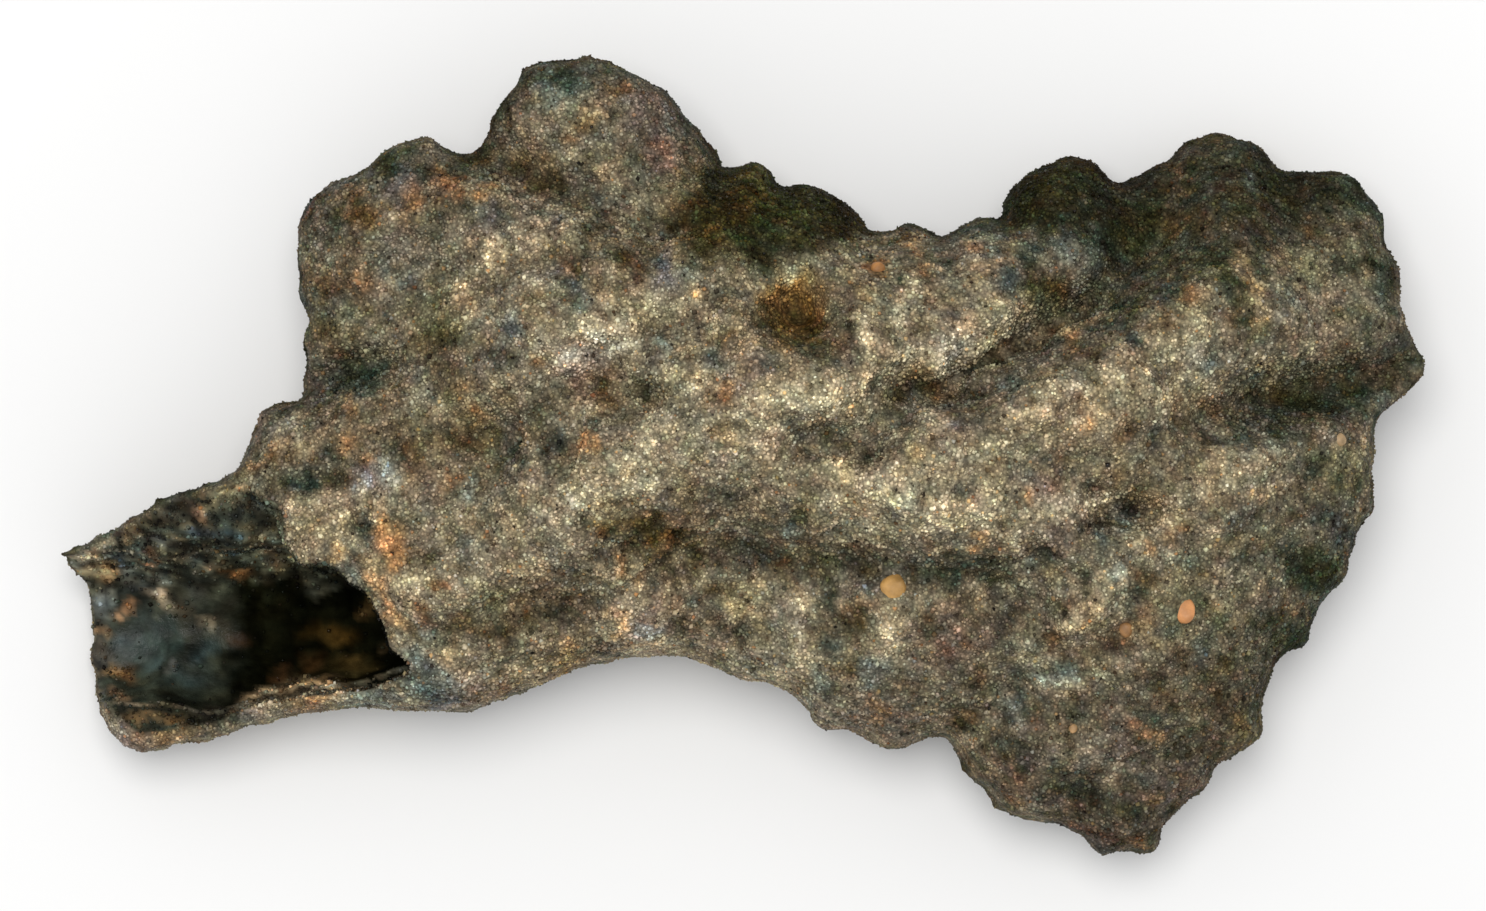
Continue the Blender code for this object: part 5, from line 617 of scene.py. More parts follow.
    (-13.8, -11.0, 0.5, 0.40), (-15.5, -11.0, 0.5, 0.35), (-12.6, -3.3, 0.4, 0.45), (-11.8, -4.6, 0.4, -0.45), (-12.0, -1.2, 0.4, -0.50),
    (-17.6, -4.4, 0.4, -0.30), (-28.8, -4.2, 0.5, -0.50),
]
# Tone of the sand on the rim itself, in stops: painted shade along most of the rim, darkest round the back lobes, and
# paler along the lower middle.
RIM_SHADE_AND_TONES = [
    (-29.5, -4.2, -1.9), (-25.5, -2.2, -1.55), (-21.5, 1.0, -0.7), (-19.3, 4.0, -0.8), (-19.4, 9.0, -0.6), (-17.5, 12.2, -0.8),
    (-13.0, 13.6, -1.2), (-10.8, 15.0, -1.45), (-7.5, 17.3, -1.65), (-3.5, 16.0, -1.45), (-1.2, 13.4, -1.5), (0.5, 12.9, -1.8),
    (3.5, 11.9, -1.9), (5.6, 10.4, -1.7), (8.6, 10.0, -1.85), (11.3, 10.9, -1.65), (13.8, 13.0, -1.85), (16.8, 12.4, -1.65),
    (21.0, 14.2, -1.4), (24.6, 12.8, -1.0), (27.6, 11.4, -0.8), (28.8, 8.0, -0.8), (29.6, 4.2, -0.9), (27.9, 0.5, -0.7),
    (27.3, -3.0, -0.7), (25.2, -7.2, -0.8), (23.0, -10.8, -0.7), (20.8, -14.0, -0.6), (17.0, -17.2, -0.6), (12.6, -15.6, 0.0),
    (9.6, -13.0, 0.2), (5.2, -12.2, 0.3), (2.0, -10.6, 0.95), (-1.5, -9.2, 1.0), (-5.0, -8.9, 1.0), (-9.0, -10.0, 0.25),
    (-13.0, -11.1, 0.35), (-18.0, -11.1, 0.25), (-23.0, -12.3, 0.15), (-26.8, -12.8, 0.15), (-28.3, -10.5, -0.65), (-28.8, -7.0, -0.65),
]
# Shifts of hue: x, y, reach, warmth (stops of red over blue), greenness (stops of green over red and blue).
HUES = [
    # the back lobe, olive with a brown band
    (-1.2, 10.6, 1.5, 0.75, 0.34), (0.9, 11.4, 1.5, 0.40, 0.36), (3.0, 11.2, 1.3, 0.25, 0.34), (4.5, 10.6, 1.0, 0.65, 0.28), (0.8, 9.6, 0.9, 0.20, 0.26),
    (0.6, 12.5, 0.8, 0.30, 0.20), (2.2, 10.2, 0.8, 0.30, 0.10),
    # the brown hollow
    (2.4, 6.2, 1.25, 1.05, 0.36), (3.0, 7.4, 0.6, 0.35, 0.10),
    # the lobes at the upper right
    (12.6, 11.6, 1.3, 0.35, 0.34), (13.8, 12.6, 1.0, 0.40, 0.26), (15.6, 12.8, 0.9, 0.35, 0.24), (17.0, 10.0, 1.1, 0.20, 0.30), (18.3, 10.8, 0.8, 0.45, 0.15),
    (13.6, 7.0, 0.8, 0.0, 0.24), (16.4, 7.2, 0.9, 0.0, 0.14), (18.8, 8.6, 0.9, 0.0, 0.14), (21.0, 8.6, 0.8, 0.0, 0.12), (22.2, 7.6, 0.6, 0.35, 0.16),
    (22.5, 5.6, 0.6, 0.30, 0.16), (22.6, 3.0, 0.7, 0.25, 0.12), (23.6, 12.4, 1.0, 0.0, 0.22), (21.0, 13.8, 1.0, 0.0, 0.10), (26.8, 12.0, 1.0, -0.10, 0.20),
    (27.6, 9.2, 0.9, -0.10, 0.18), (24.8, 8.6, 0.8, 0.0, 0.12), (21.0, 12.9, 0.8, -0.20, 0.0),
    # the right-hand end
    (27.0, 3.0, 0.8, 0.0, 0.24), (24.6, 3.0, 1.0, 0.0, 0.14), (29.2, 3.8, 0.8, -0.45, 0.0), (27.7, 7.7, 0.9, -0.40, 0.05), (26.0, 1.2, 0.8, -0.25, -0.10),
    (26.0, -0.8, 1.1, 0.0, 0.18), (25.6, -5.0, 1.0, 0.0, 0.24), (24.5, -8.2, 0.9, 0.0, 0.20), (23.0, -3.6, 1.2, 0.0, 0.08), (22.9, -12.0, 0.9, 0.0, 0.14),
    (20.0, -6.8, 1.2, 0.0, 0.12), (23.2, 0.6, 0.9, -0.25, 0.0), (17.8, -1.4, 0.6, 0.35, 0.08), (24.0, 6.5, 0.8, -0.25, 0.0), (18.8, 7.3, 0.7, 0.25, 0.0),
    (20.2, 4.6, 0.7, -0.30, 0.0), (21.2, -10.6, 0.6, 0.30, 0.0), (14.7, 3.2, 0.6, -0.35, 0.0), (15.2, 8.0, 0.5, -0.35, 0.0), (13.7, 7.6, 0.6, 0.30, 0.0),
    # the lower right, greyer and pinker
    (16.5, -12.6, 1.3, -0.12, -0.14), (18.6, -14.8, 1.2, -0.15, -0.16), (14.6, -16.0, 1.0, -0.20, -0.12), (16.2, -17.0, 0.8, 0.0, -0.16), (12.8, -14.0, 1.0, -0.15, -0.12),
    (9.6, -8.0, 1.1, 0.0, -0.14), (12.2, -11.6, 1.0, -0.20, -0.05), (7.2, -11.8, 1.0, -0.10, -0.14), (5.0, -11.6, 0.9, -0.10, -0.10), (13.2, -4.2, 0.9, 0.0, -0.12),
    (14.8, -3.0, 0.8, 0.0, -0.10), (4.8, -5.6, 0.7, 0.0, -0.12), (20.8, -13.6, 0.8, -0.20, -0.12), (13.2, -1.4, 0.7, 0.0, -0.12), (9.2, 1.6, 0.7, 0.0, -0.12),
    (18.4, -11.9, 0.7, -0.20, 0.0), (13.7, -8.8, 0.5, -0.30, 0.0), (18.6, -4.2, 0.5, -0.30, 0.0), (8.8, 5.1, 0.8, -0.30, -0.05), (7.5, 2.3, 0.7, -0.25, 0.0),
    (8.0, 3.3, 0.5, 0.20, 0.18), (10.7, 9.5, 0.7, -0.35, 0.0), (6.0, 8.3, 0.4, 0.30, 0.05), (11.0, 4.4, 0.6, 0.0, 0.10),
    # the middle
    (-5.7, -3.0, 0.8, 0.25, 0.16), (-4.0, -3.5, 0.8, 0.30, 0.08), (-2.2, -3.8, 0.7, 0.10, 0.12), (1.6, -4.7, 0.6, 0.35, 0.05), (3.4, -4.6, 0.8, 0.0, 0.14),
    (2.7, -2.6, 0.6, 0.0, 0.12), (0.0, -6.4, 0.8, 0.0, 0.12), (-4.3, -7.4, 0.8, 0.0, -0.14), (-7.8, -9.1, 0.8, 0.40, 0.10), (-10.6, -6.2, 0.8, 0.10, 0.12),
    (2.6, 2.5, 0.7, -0.30, 0.0), (-2.1, 7.9, 0.6, -0.35, 0.0), (-4.4, 8.9, 0.5, 0.50, 0.10), (-3.4, 8.2, 0.6, -0.15, -0.14), (-7.0, 4.4, 1.1, 0.0, -0.14),
    (-6.6, 3.0, 0.7, 0.0, -0.10), (-3.0, 4.0, 0.8, -0.25, 0.0), (-8.2, 0.1, 0.5, -0.30, 0.0), (3.0, -10.0, 0.7, -0.30, 0.0), (1.8, -7.2, 0.8, -0.20, -0.05),
    (4.7, -9.0, 0.6, 0.30, 0.0), (-0.8, 1.2, 0.6, 0.25, 0.0), (-6.9, 0.4, 0.5, 0.20, 0.0), (-11.9, -0.9, 0.5, 0.30, 0.05), (0.2, 4.0, 1.0, 0.0, -0.10),
    # the left side
    (-13.4, 5.4, 0.9, 0.05, 0.18), (-12.4, 2.6, 0.7, 0.20, 0.14), (-11.6, 1.2, 0.9, 0.40, 0.10), (-14.0, 0.7, 0.7, 0.20, 0.14), (-14.2, -0.4, 0.6, 0.30, 0.0),
    (-17.6, 5.4, 0.9, 0.0, 0.10), (-16.7, -0.9, 0.8, -0.10, -0.22), (-18.8, 2.6, 0.7, 0.0, -0.14), (-21.2, 1.0, 0.7, -0.10, -0.14), (-15.0, 12.0, 0.8, -0.40, -0.14),
    (-17.6, 12.0, 0.7, -0.35, 0.0), (-11.2, 10.4, 0.6, -0.35, -0.10), (-8.9, 8.0, 0.6, -0.35, 0.0), (-14.7, 9.7, 0.7, -0.25, -0.10), (-16.6, 8.3, 0.8, -0.25, 0.0),
    (-19.0, 6.6, 0.6, -0.25, 0.0), (-9.7, 4.3, 0.8, -0.25, 0.0), (-13.3, 2.5, 0.6, -0.20, 0.0), (-15.3, 13.3, 0.6, 0.0, 0.22), (-18.8, 11.0, 0.7, 0.0, -0.10),
    (-13.3, 7.2, 0.7, 0.0, 0.10), (-17.3, 10.8, 0.5, 0.25, 0.0), (-16.4, 4.0, 0.8, -0.10, 0.10),
    # the upper wing
    (-3.4, 13.4, 1.1, 0.0, -0.20), (-4.4, 15.8, 1.1, -0.10, -0.18), (-9.4, 15.0, 0.9, 0.0, -0.10), (-5.6, 16.4, 0.7, 0.35, 0.05), (-8.2, 16.9, 1.0, 0.0, 0.12),
    (-8.9, 13.0, 0.8, 0.30, 0.12), (-6.6, 14.9, 0.7, 0.20, 0.08), (-9.6, 11.0, 0.9, 0.0, -0.14), (-7.2, 8.4, 0.9, 0.05, -0.12), (-3.4, 9.6, 0.8, 0.0, -0.10),
    # round the mouth
    (-24.0, -1.7, 1.1, 0.30, 0.08), (-22.2, -2.2, 0.9, 0.15, 0.24), (-15.4, -3.8, 0.8, 0.15, 0.0), (-17.6, -4.8, 0.6, -0.45, 0.0), (-21.4, -11.3, 0.7, -0.40, -0.12),
    (-27.0, -12.6, 0.9, -0.25, -0.14), (-13.0, -11.0, 0.9, -0.15, -0.10), (-14.2, -7.6, 0.7, -0.10, -0.12), (-19.2, -10.6, 0.7, 0.30, 0.0), (-11.8, -10.2, 0.9, 0.0, -0.10),
]
FINE = 0.12  # mm, step of the plan that the patches are laid on
FX = np.arange(-31.2, 31.3, FINE)
FY = np.arange(-18.6, 18.7, FINE)


def line_distance(line, points):
    best = np.full(len(points), 1e9)
    ends = [(np.array(a, float), np.array(b, float)) for a, b in zip(line, line[1:] or line)]
    for a, b in ends:
        run = b - a
        t = np.clip(((points - a) @ run) / max(run @ run, 1e-9), 0, 1)
        best = np.minimum(best, ((points - a - t[:, None] * run) ** 2).sum(1))
    return np.sqrt(best)


def laid(tables):
    """Tone and warmth over the plan."""
    tone = np.zeros((len(FX), len(FY)))
    warm = np.zeros_like(tone)
    for line, reach, change, hue in tables:
        xy = np.array(line)
        low, high = xy.min(0) - 2.6 * reach, xy.max(0) + 2.6 * reach
        i0, i1 = np.searchsorted(FX, (low[0], high[0]))
        j0, j1 = np.searchsorted(FY, (low[1], high[1]))
        if i1 <= i0 or j1 <= j0:
            continue
        cells = np.stack(np.meshgrid(FX[i0:i1], FY[j0:j1], indexing="ij"), -1).reshape(-1, 2)
        fall = np.exp(-((line_distance(line, cells) / reach) ** 2.4)).reshape(i1 - i0, j1 - j0)
        tone[i0:i1, j0:j1] += change * fall
        warm[i0:i1, j0:j1] += hue * fall
    return tone, warm


BROAD_TONE, BROAD_WARM = laid(BROAD)
PATCH_TONE, PATCH_WARM = laid(PATCHES)
TOUCH_TONE, _ = laid([([(x, y)], r, change, 0.0) for x, y, r, change in TOUCHES])
HUE_GREEN, HUE_WARM = laid([([(x, y)], 1.15 * r, green, warm) for x, y, r, warm, green in HUES])
PLAN_TONE = 1.64 * BROAD_TONE + 1.5 * PATCH_TONE + 1.0 * TOUCH_TONE
PLAN_WARM = np.clip(0.30 * BROAD_WARM + 0.80 * PATCH_WARM, -0.65, 1.1) + 1.5 * HUE_WARM
PLAN_WARM = np.clip(PLAN_WARM, -0.80, 1.9)
PLAN_GREEN = HUE_GREEN
EYE = (0.066, 0.11, 335.0)  # mm, where the camera stands


def seen(x, y, z):
    """Where a place shows on the plan when the camera looks at it."""
    k = (EYE[2] - 5.0) / (EYE[2] - z)
    return EYE[0] + (x - EYE[0]) * k, EYE[1] + (y - EYE[1]) * k


def on_plan(field, x, y):
    u = np.clip((x - FX[0]) / FINE, 0, len(FX) - 1.001)
    v = np.clip((y - FY[0]) / FINE, 0, len(FY) - 1.001)
    i, j = u.astype(int), v.astype(int)
    u, v = u - i, v - j
    return (field[i, j] * (1 - u) + field[i + 1, j] * u) * (1 - v) + (field[i, j + 1] * (1 - u) + field[i + 1, j + 1] * u) * v
ROLL_TOP = 2.6
ROLL_UNDER = 2.2
LEVEL_SPREAD = 3.0

# ------------------------------------------------------------- fine field
STEP = 0.272  # mm between samples of the solid field
XS = np.arange(-31.6, 31.6, STEP)
YS = np.arange(-19.2, 19.2, STEP)
ZS = np.arange(-1.2, 17.2, STEP)
LOW = np.array([XS[0], YS[0], ZS[0]])


def spline_rows(at, period):
    u = (at - at[0]) / period
    i = np.floor(u).astype(int)
    t = u - i
    rows = np.zeros((len(at), i.max() + 4), np.float32)
    for k, w in enumerate(((1 - t) ** 3, 3 * t**3 - 6 * t**2 + 4, -3 * t**3 + 3 * t**2 + 3 * t + 1, t**3)):
        rows[np.arange(len(at)), i + k] = w / 6
    return rows


def lattice_noise(period, seed, axes=None):
    """Smooth noise over the whole grid, mean 0 and spread 1."""
    axes = axes or (XS, YS, ZS)
    periods = period if isinstance(period, tuple) else (period,) * len(axes)
    rows = [spline_rows(a, p) for a, p in zip(axes, periods)]
    out = np.random.default_rng(seed).standard_normal([r.shape[1] for r in rows]).astype(np.float32)
    for r in rows:
        out = np.tensordot(out, r, axes=([0], [1]))
    return (out - out.mean()) / out.std()


def plan_noise(period, seed):
    return lattice_noise(period, seed, (XS, YS))


def blurred(field, radius, times=2):
    """Box-blurred field; the radius is in mm."""
    n = max(1, int(round(radius / STEP)))
    for _ in range(times):
        for axis in range(field.ndim):
            pad = [(n + 1, n) if k == axis else (0, 0) for k in range(field.ndim)]
            total = np.cumsum(np.pad(field, pad, mode="edge"), axis=axis, dtype=np.float64)
            upper = np.take(total, range(2 * n + 1, total.shape[axis]), axis=axis)
            lower = np.take(total, range(0, total.shape[axis] - 2 * n - 1), axis=axis)
            field = ((upper - lower) / (2 * n + 1)).astype(np.float32)
    return field


def sampled(field, points):
    """Trilinear value of a grid field at points in mm (bilinear for a plan field)."""
    dims = field.ndim
    u = (points[:, :dims] - LOW[:dims]) / STEP
    top = np.array(field.shape) - 2
    i = np.clip(np.floor(u).astype(int), 0, top)
    t = np.clip(u - i, 0, 1)
    out = np.zeros(len(points))
    for corner in range(2**dims):
        bits = [(corner >> k) & 1 for k in range(dims)]
        w = np.ones(len(points))
        for k, b in enumerate(bits):
            w *= t[:, k] if b else 1 - t[:, k]
        out += w * field[tuple(i[:, k] + b for k, b in enumerate(bits))]
    return out


def smooth(a, b, x):
    t = np.clip((x - a) / (b - a), 0, 1)
    return t * t * (3 - 2 * t)


loop = closed_curve(OUTLINE, 0.3)
plan = np.stack(np.meshgrid(XS, YS, indexing="ij"), -1).reshape(-1, 2)
D = distance_inside(loop, plan)
inside_d = np.maximum(D, 0)
RIM = rim_level(plan)
TOP = np.where(D > 0, upper_face(plan, inside_d), RIM)
UNDER = np.where(D > 0, under_face(plan, inside_d), RIM)
shape2 = (len(XS), len(YS))
D, RIM, TOP, UNDER = (a.reshape(shape2) for a in (D, RIM, TOP, UNDER))
TOP = np.maximum(TOP, UNDER + np.where(D > 0, 0.25, 0))


def slope_length(z):
    gx, gy = np.gradient(z, STEP)
    return np.sqrt(1 + np.clip(gx**2 + gy**2, 0, 40))


Z3 = ZS[None, None, :].astype(np.float32)
X3 = XS[:, None, None]
Y3 = YS[None, :, None]
over = (TOP[:, :, None] - Z3) / slope_length(TOP)[:, :, None]
below = (Z3 - UNDER[:, :, None]) / slope_length(UNDER)[:, :, None]
slab = np.where(D[:, :, None] > 0, np.minimum(over, below), -np.hypot(D[:, :, None], Z3 - RIM[:, :, None])).astype(np.float32)

clean_slab = slab.copy()

# Lumps and crumples of the sandy skin.
near_rim = np.clip(D / 1.6, 0.22, 1)[:, :, None]
top_side = smooth(-0.6, 0.6, Z3 - RIM[:, :, None])
relief = on_plan(np.clip(PLAN_TONE, -2.2, 1.6), *seen(*np.meshgrid(XS, YS, indexing="ij"), TOP))
relief = (0.19 * (relief - relief.mean()))[:, :, None] * top_side
lumps = (0.34 - 0.16 * top_side) * lattice_noise(4.6, 11) + (0.22 - 0.08 * top_side) * lattice_noise(2.3, 12) + relief
knobs = 0.30 * (np.abs(lattice_noise(1.9, 13)) - 0.8) + 0.17 * (np.abs(lattice_noise(1.0, 14)) - 0.8)
pits = lattice_noise(1.25, 15)
pits = -0.55 * np.clip(pits - 1.55, 0, 1)
fine = 0.08 * lattice_noise(0.55, 16)
bumps = ((lumps + knobs + pits) * near_rim + fine).astype(np.float32)
slab += bumps
# Bumps stand square to the face, so beside a sharp crest they are kept from growing past it.
slab = np.minimum(slab, blurred(TOP, 0.5)[:, :, None] + 0.25 - Z3 + bumps)
slab = np.minimum(slab, Z3 - blurred(UNDER, 0.5)[:, :, None] + 0.25 + bumps)

bore_y, bore_z, bore_a, bore_b = bore_section(XS)
dy = (Y3 - bore_y[:, None, None]) / bore_a[:, None, None]
dz = (Z3 - bore_z[:, None, None]) / bore_b[:, None, None]
k0 = np.sqrt(dy**2 + dz**2) + 1e-6
k1 = np.sqrt((dy / bore_a[:, None, None]) ** 2 + (dz / bore_b[:, None, None]) ** 2) + 1e-6
from_bore = (k0 * (k0 - 1) / k1).astype(np.float32)
bubbles = lattice_noise(1.1, 22)
clean_bore = from_bore.copy()
from_bore += 0.16 * lattice_noise(3.4, 21) + 0.10 * lattice_noise(1.3, 23) + 0.06 * lattice_noise(0.7, 24) + 0.12 * np.clip(bubbles - 1.2, 0, 1)

broken = np.array(MOUTH_BREAK)
in_break = distance_inside(broken, plan).reshape(shape2)
in_break = in_break + (1 - 0.7 * smooth(-9.6, -10.6, YS[None, :])) * (0.16 * plan_noise(0.9, 31) + 0.10 * plan_noise(0.5, 32))
floor = BREAK_FLOOR + BREAK_SLOPE * np.maximum(YS[None, :] - BREAK_SLOPE_FROM, 0) + np.zeros((len(XS), 1))
lip = smooth(-9.6, -10.6, Y3)  # the thin lower lip is broken more evenly
gone = np.minimum(in_break[:, :, None], (Z3 - floor[:, :, None]) / 1.3 + (1 - 0.7 * lip) * (0.22 * lattice_noise(1.5, 33) + 0.12 * lattice_noise(0.8, 34)))

# A core that the lumps never break through keeps the thin lips whole.
solid = np.minimum(slab, from_bore)
solid = np.maximum(solid, np.minimum(clean_slab, clean_bore) - 0.18)
# The broken wall rounds over into the bore above it, and meets the skin sharply elsewhere.
round_over = 0.12 + 1.5 * smooth(-8.6, -6.4, Y3) * smooth(-1.2, -3.0, Y3) * smooth(-18.5, -20.5, X3)
round_over = round_over + 0.7 * smooth(-10.0, -10.6, Y3) * smooth(-22.0, -23.0, X3)
solid = -soft_max(-solid, gone, round_over).astype(np.float32)
solid = np.minimum(solid, Z3)


def skin_of(field):
    """Points (mm) and quads of the surface where the field is 0, its largest piece."""
    grid = openvdb.FloatGrid(background=1.0)
    grid.copyFromArray(np.ascontiguousarray(-field))
    points, quads = grid.convertToQuads(isovalue=0.0)
    label = np.arange(len(points))
    pairs = np.vstack([quads[:, [0, 1]], quads[:, [1, 2]], quads[:, [2, 3]]])
    while True:
        low = label.copy()
        np.minimum.at(low, pairs[:, 0], label[pairs[:, 1]])
        np.minimum.at(low, pairs[:, 1], label[pairs[:, 0]])
        low = low[low]
        if (low == label).all():
            break
        label = low
    main = np.bincount(label).argmax()
    kept = label == main
    quads = quads[kept[quads[:, 0]]]
    index = np.cumsum(kept) - 1
    return points[kept] * STEP + LOW, index[quads]


POINTS, QUADS = skin_of(solid)
POINTS[:, 2] = np.where(POINTS[:, 2] < 0.03, 0.0, POINTS[:, 2])
print("skin", len(POINTS), "points", len(QUADS), "quads")

# ------------------------------------------------------------- measures of the skin
def unit(v):
    return v / np.maximum(np.linalg.norm(v, axis=-1, keepdims=True), 1e-9)


def gradient_at(field, points):
    out = np.empty_like(points)
    for k in range(3):
        step = np.zeros(3)
        step[k] = STEP
        out[:, k] = sampled(field, points + step) - sampled(field, points - step)
    return out


# Blurred solidity round each place: the sand is painted darker where the stone closes round it and paler on crests,
# painted shade and light, with some of the darker glass the hollows have.
full = np.clip(solid / STEP, -1, 1) * 0.5 + 0.5
CAVITY_SHADE_AND_DARK_GLASS = [blurred(full, r) for r in (0.5, 1.3, 3.0)]
SLAB_LESS_BORE = np.minimum(slab, -gone) - from_bore
SLAB_LESS_BREAK = np.minimum(slab, from_bore) + gone


def hashed(i, j, k, seed):
    """A repeatable number from -1 to 1 for each whole-numbered place."""
    n = (i * 374761393 + j * 668265263 + k * 2147483647 + seed * 1274126177) & 0xFFFFFFFF
    n = ((n ^ (n >> 13)) * 1274126177) & 0xFFFFFFFF
    n = ((n ^ (n >> 16)) * 2246822519) & 0xFFFFFFFF
    return ((n ^ (n >> 15)) & 0xFFFFFF) / 8388608.0 - 1.0


def mottle(points, period, seed):
    """Value noise at points (mm) with lattice steps of the period, spread about 1."""
    u = points / period + 1000.0
    i = np.floor(u).astype(np.int64)
    t = u - i
    t = t * t * (3 - 2 * t)
    out = np.zeros(len(points))
    for corner in range(8):
        bx, by, bz = corner & 1, (corner >> 1) & 1, corner >> 2
        w = (t[:, 0] if bx else 1 - t[:, 0]) * (t[:, 1] if by else 1 - t[:, 1]) * (t[:, 2] if bz else 1 - t[:, 2])
        out += w * hashed(i[:, 0] + bx, i[:, 1] + by, i[:, 2] + bz, seed)
    return out / 0.32


def upward(points):
    """1 on the side that faces up at a place, 0 under it."""
    rim = sampled(RIM, points)
    return smooth(-1.0, 1.2, points[:, 2] - rim)


def plan_at(field, points):
    """The patches at points, with edges that wander."""
    x, y = seen(points[:, 0], points[:, 1], points[:, 2])
    x += 0.14 * mottle(points, 0.9, 91) + 0.08 * mottle(points, 0.4, 93)
    y += 0.14 * mottle(points, 0.9, 92) + 0.08 * mottle(points, 0.4, 94)
    return on_plan(field, x, y)


def tone_at(points):
    """How pale the sand is, in stops from its middle tone; it holds painted shade in hollows, under the stone and along
    the rim, and painted light on crests.
    """
    up = upward(points)
    # The underside is painted 0.30 stop darker than the upper side: painted shade.
    tone = np.clip(plan_at(PLAN_TONE, points), -3.4, 1.5) * up - 0.30 * (1 - up)
    # Painted shade in hollows and painted light on crests, partly the darker glass of the hollows.
    close, wide, broad = (sampled(h, points) for h in CAVITY_SHADE_AND_DARK_GLASS)
    tone += 1.2 * (0.5 - close) + 1.0 * (0.5 - wide) + 0.4 * (0.5 - broad)
    # The sand within 2 mm of the rim is painted darker: painted shade at the edge; the rim tones follow.
    edge = np.maximum(sampled(D, points), 0)
    tone -= 0.35 * np.exp(-edge / 0.5) + 0.30 * np.exp(-edge / 1.6)
    tone += blended(RIM_SHADE_AND_TONES, points[:, :2], 1.6) * np.exp(-edge / 0.55)
    fine = np.zeros(len(points))
    for period, over, under, seed in ((5.2, 0.0, 0.25, 51), (2.5, 0.04, 0.25, 52), (1.25, 0.08, 0.22, 53), (0.62, 0.20, 0.25, 54), (0.31, 0.31, 0.34, 55)):
        fine += (over * up + under * (1 - up)) * mottle(points, period, seed)
    return tone + fine, fine


def hue_at(points, tone):
    """Stops of red over blue, and of green over both, away from the sand's middle hue."""
    up = upward(points)
    dark = smooth(0.4, -2.4, tone)
    pale = smooth(0.2, 1.5, tone)
    warm = 0.95 * plan_at(PLAN_WARM, points) * up - 0.10 * dark + 0.25 * smooth(-1.8, -3.0, tone) - 0.05 * pale
    green = 1.05 * plan_at(PLAN_GREEN, points) * up + 0.18 * dark**2
    noise = np.zeros(len(points))
    for period, over, under, seed in ((5.2, 0.01, 0.06, 61), (2.5, 0.03, 0.08, 62), (1.25, 0.06, 0.11, 63), (0.62, 0.10, 0.12, 64), (0.31, 0.11, 0.12, 65)):
        noise += (over * up + under * (1 - up)) * mottle(points, period, seed)
    warm += noise * (0.75 + 1.1 * dark - 0.25 * pale)
    cast = 0.030 * mottle(points, 0.9, 66) + 0.035 * mottle(points, 0.45, 67) + 0.03 * mottle(points, 0.25, 68)
    green += cast * (0.8 + 1.4 * dark - 0.3 * pale)
    return warm, green


SAND = np.array([1.0, 0.829, 0.515])
WARM = np.log(2.0) * np.array([0.425, -0.10, -0.575])
GREEN = np.log(2.0) * np.array([-0.62, 0.38, -0.62])


def tinted(tone, warm, green, level):
    """Linear colours from the tone in stops and two shifts of hue."""
    shift = np.outer(warm, WARM) + np.outer(green, GREEN)
    return SAND * level * np.exp(shift + np.clip(tone, -4.2, 2.0)[:, None] * np.log(2.0))


def glass_at(points):
    return smooth(-0.05, 0.20, sampled(SLAB_LESS_BORE, points))


def fracture_at(points):
    return smooth(-0.10, 0.15, sampled(SLAB_LESS_BREAK, points)) * (1 - glass_at(points))


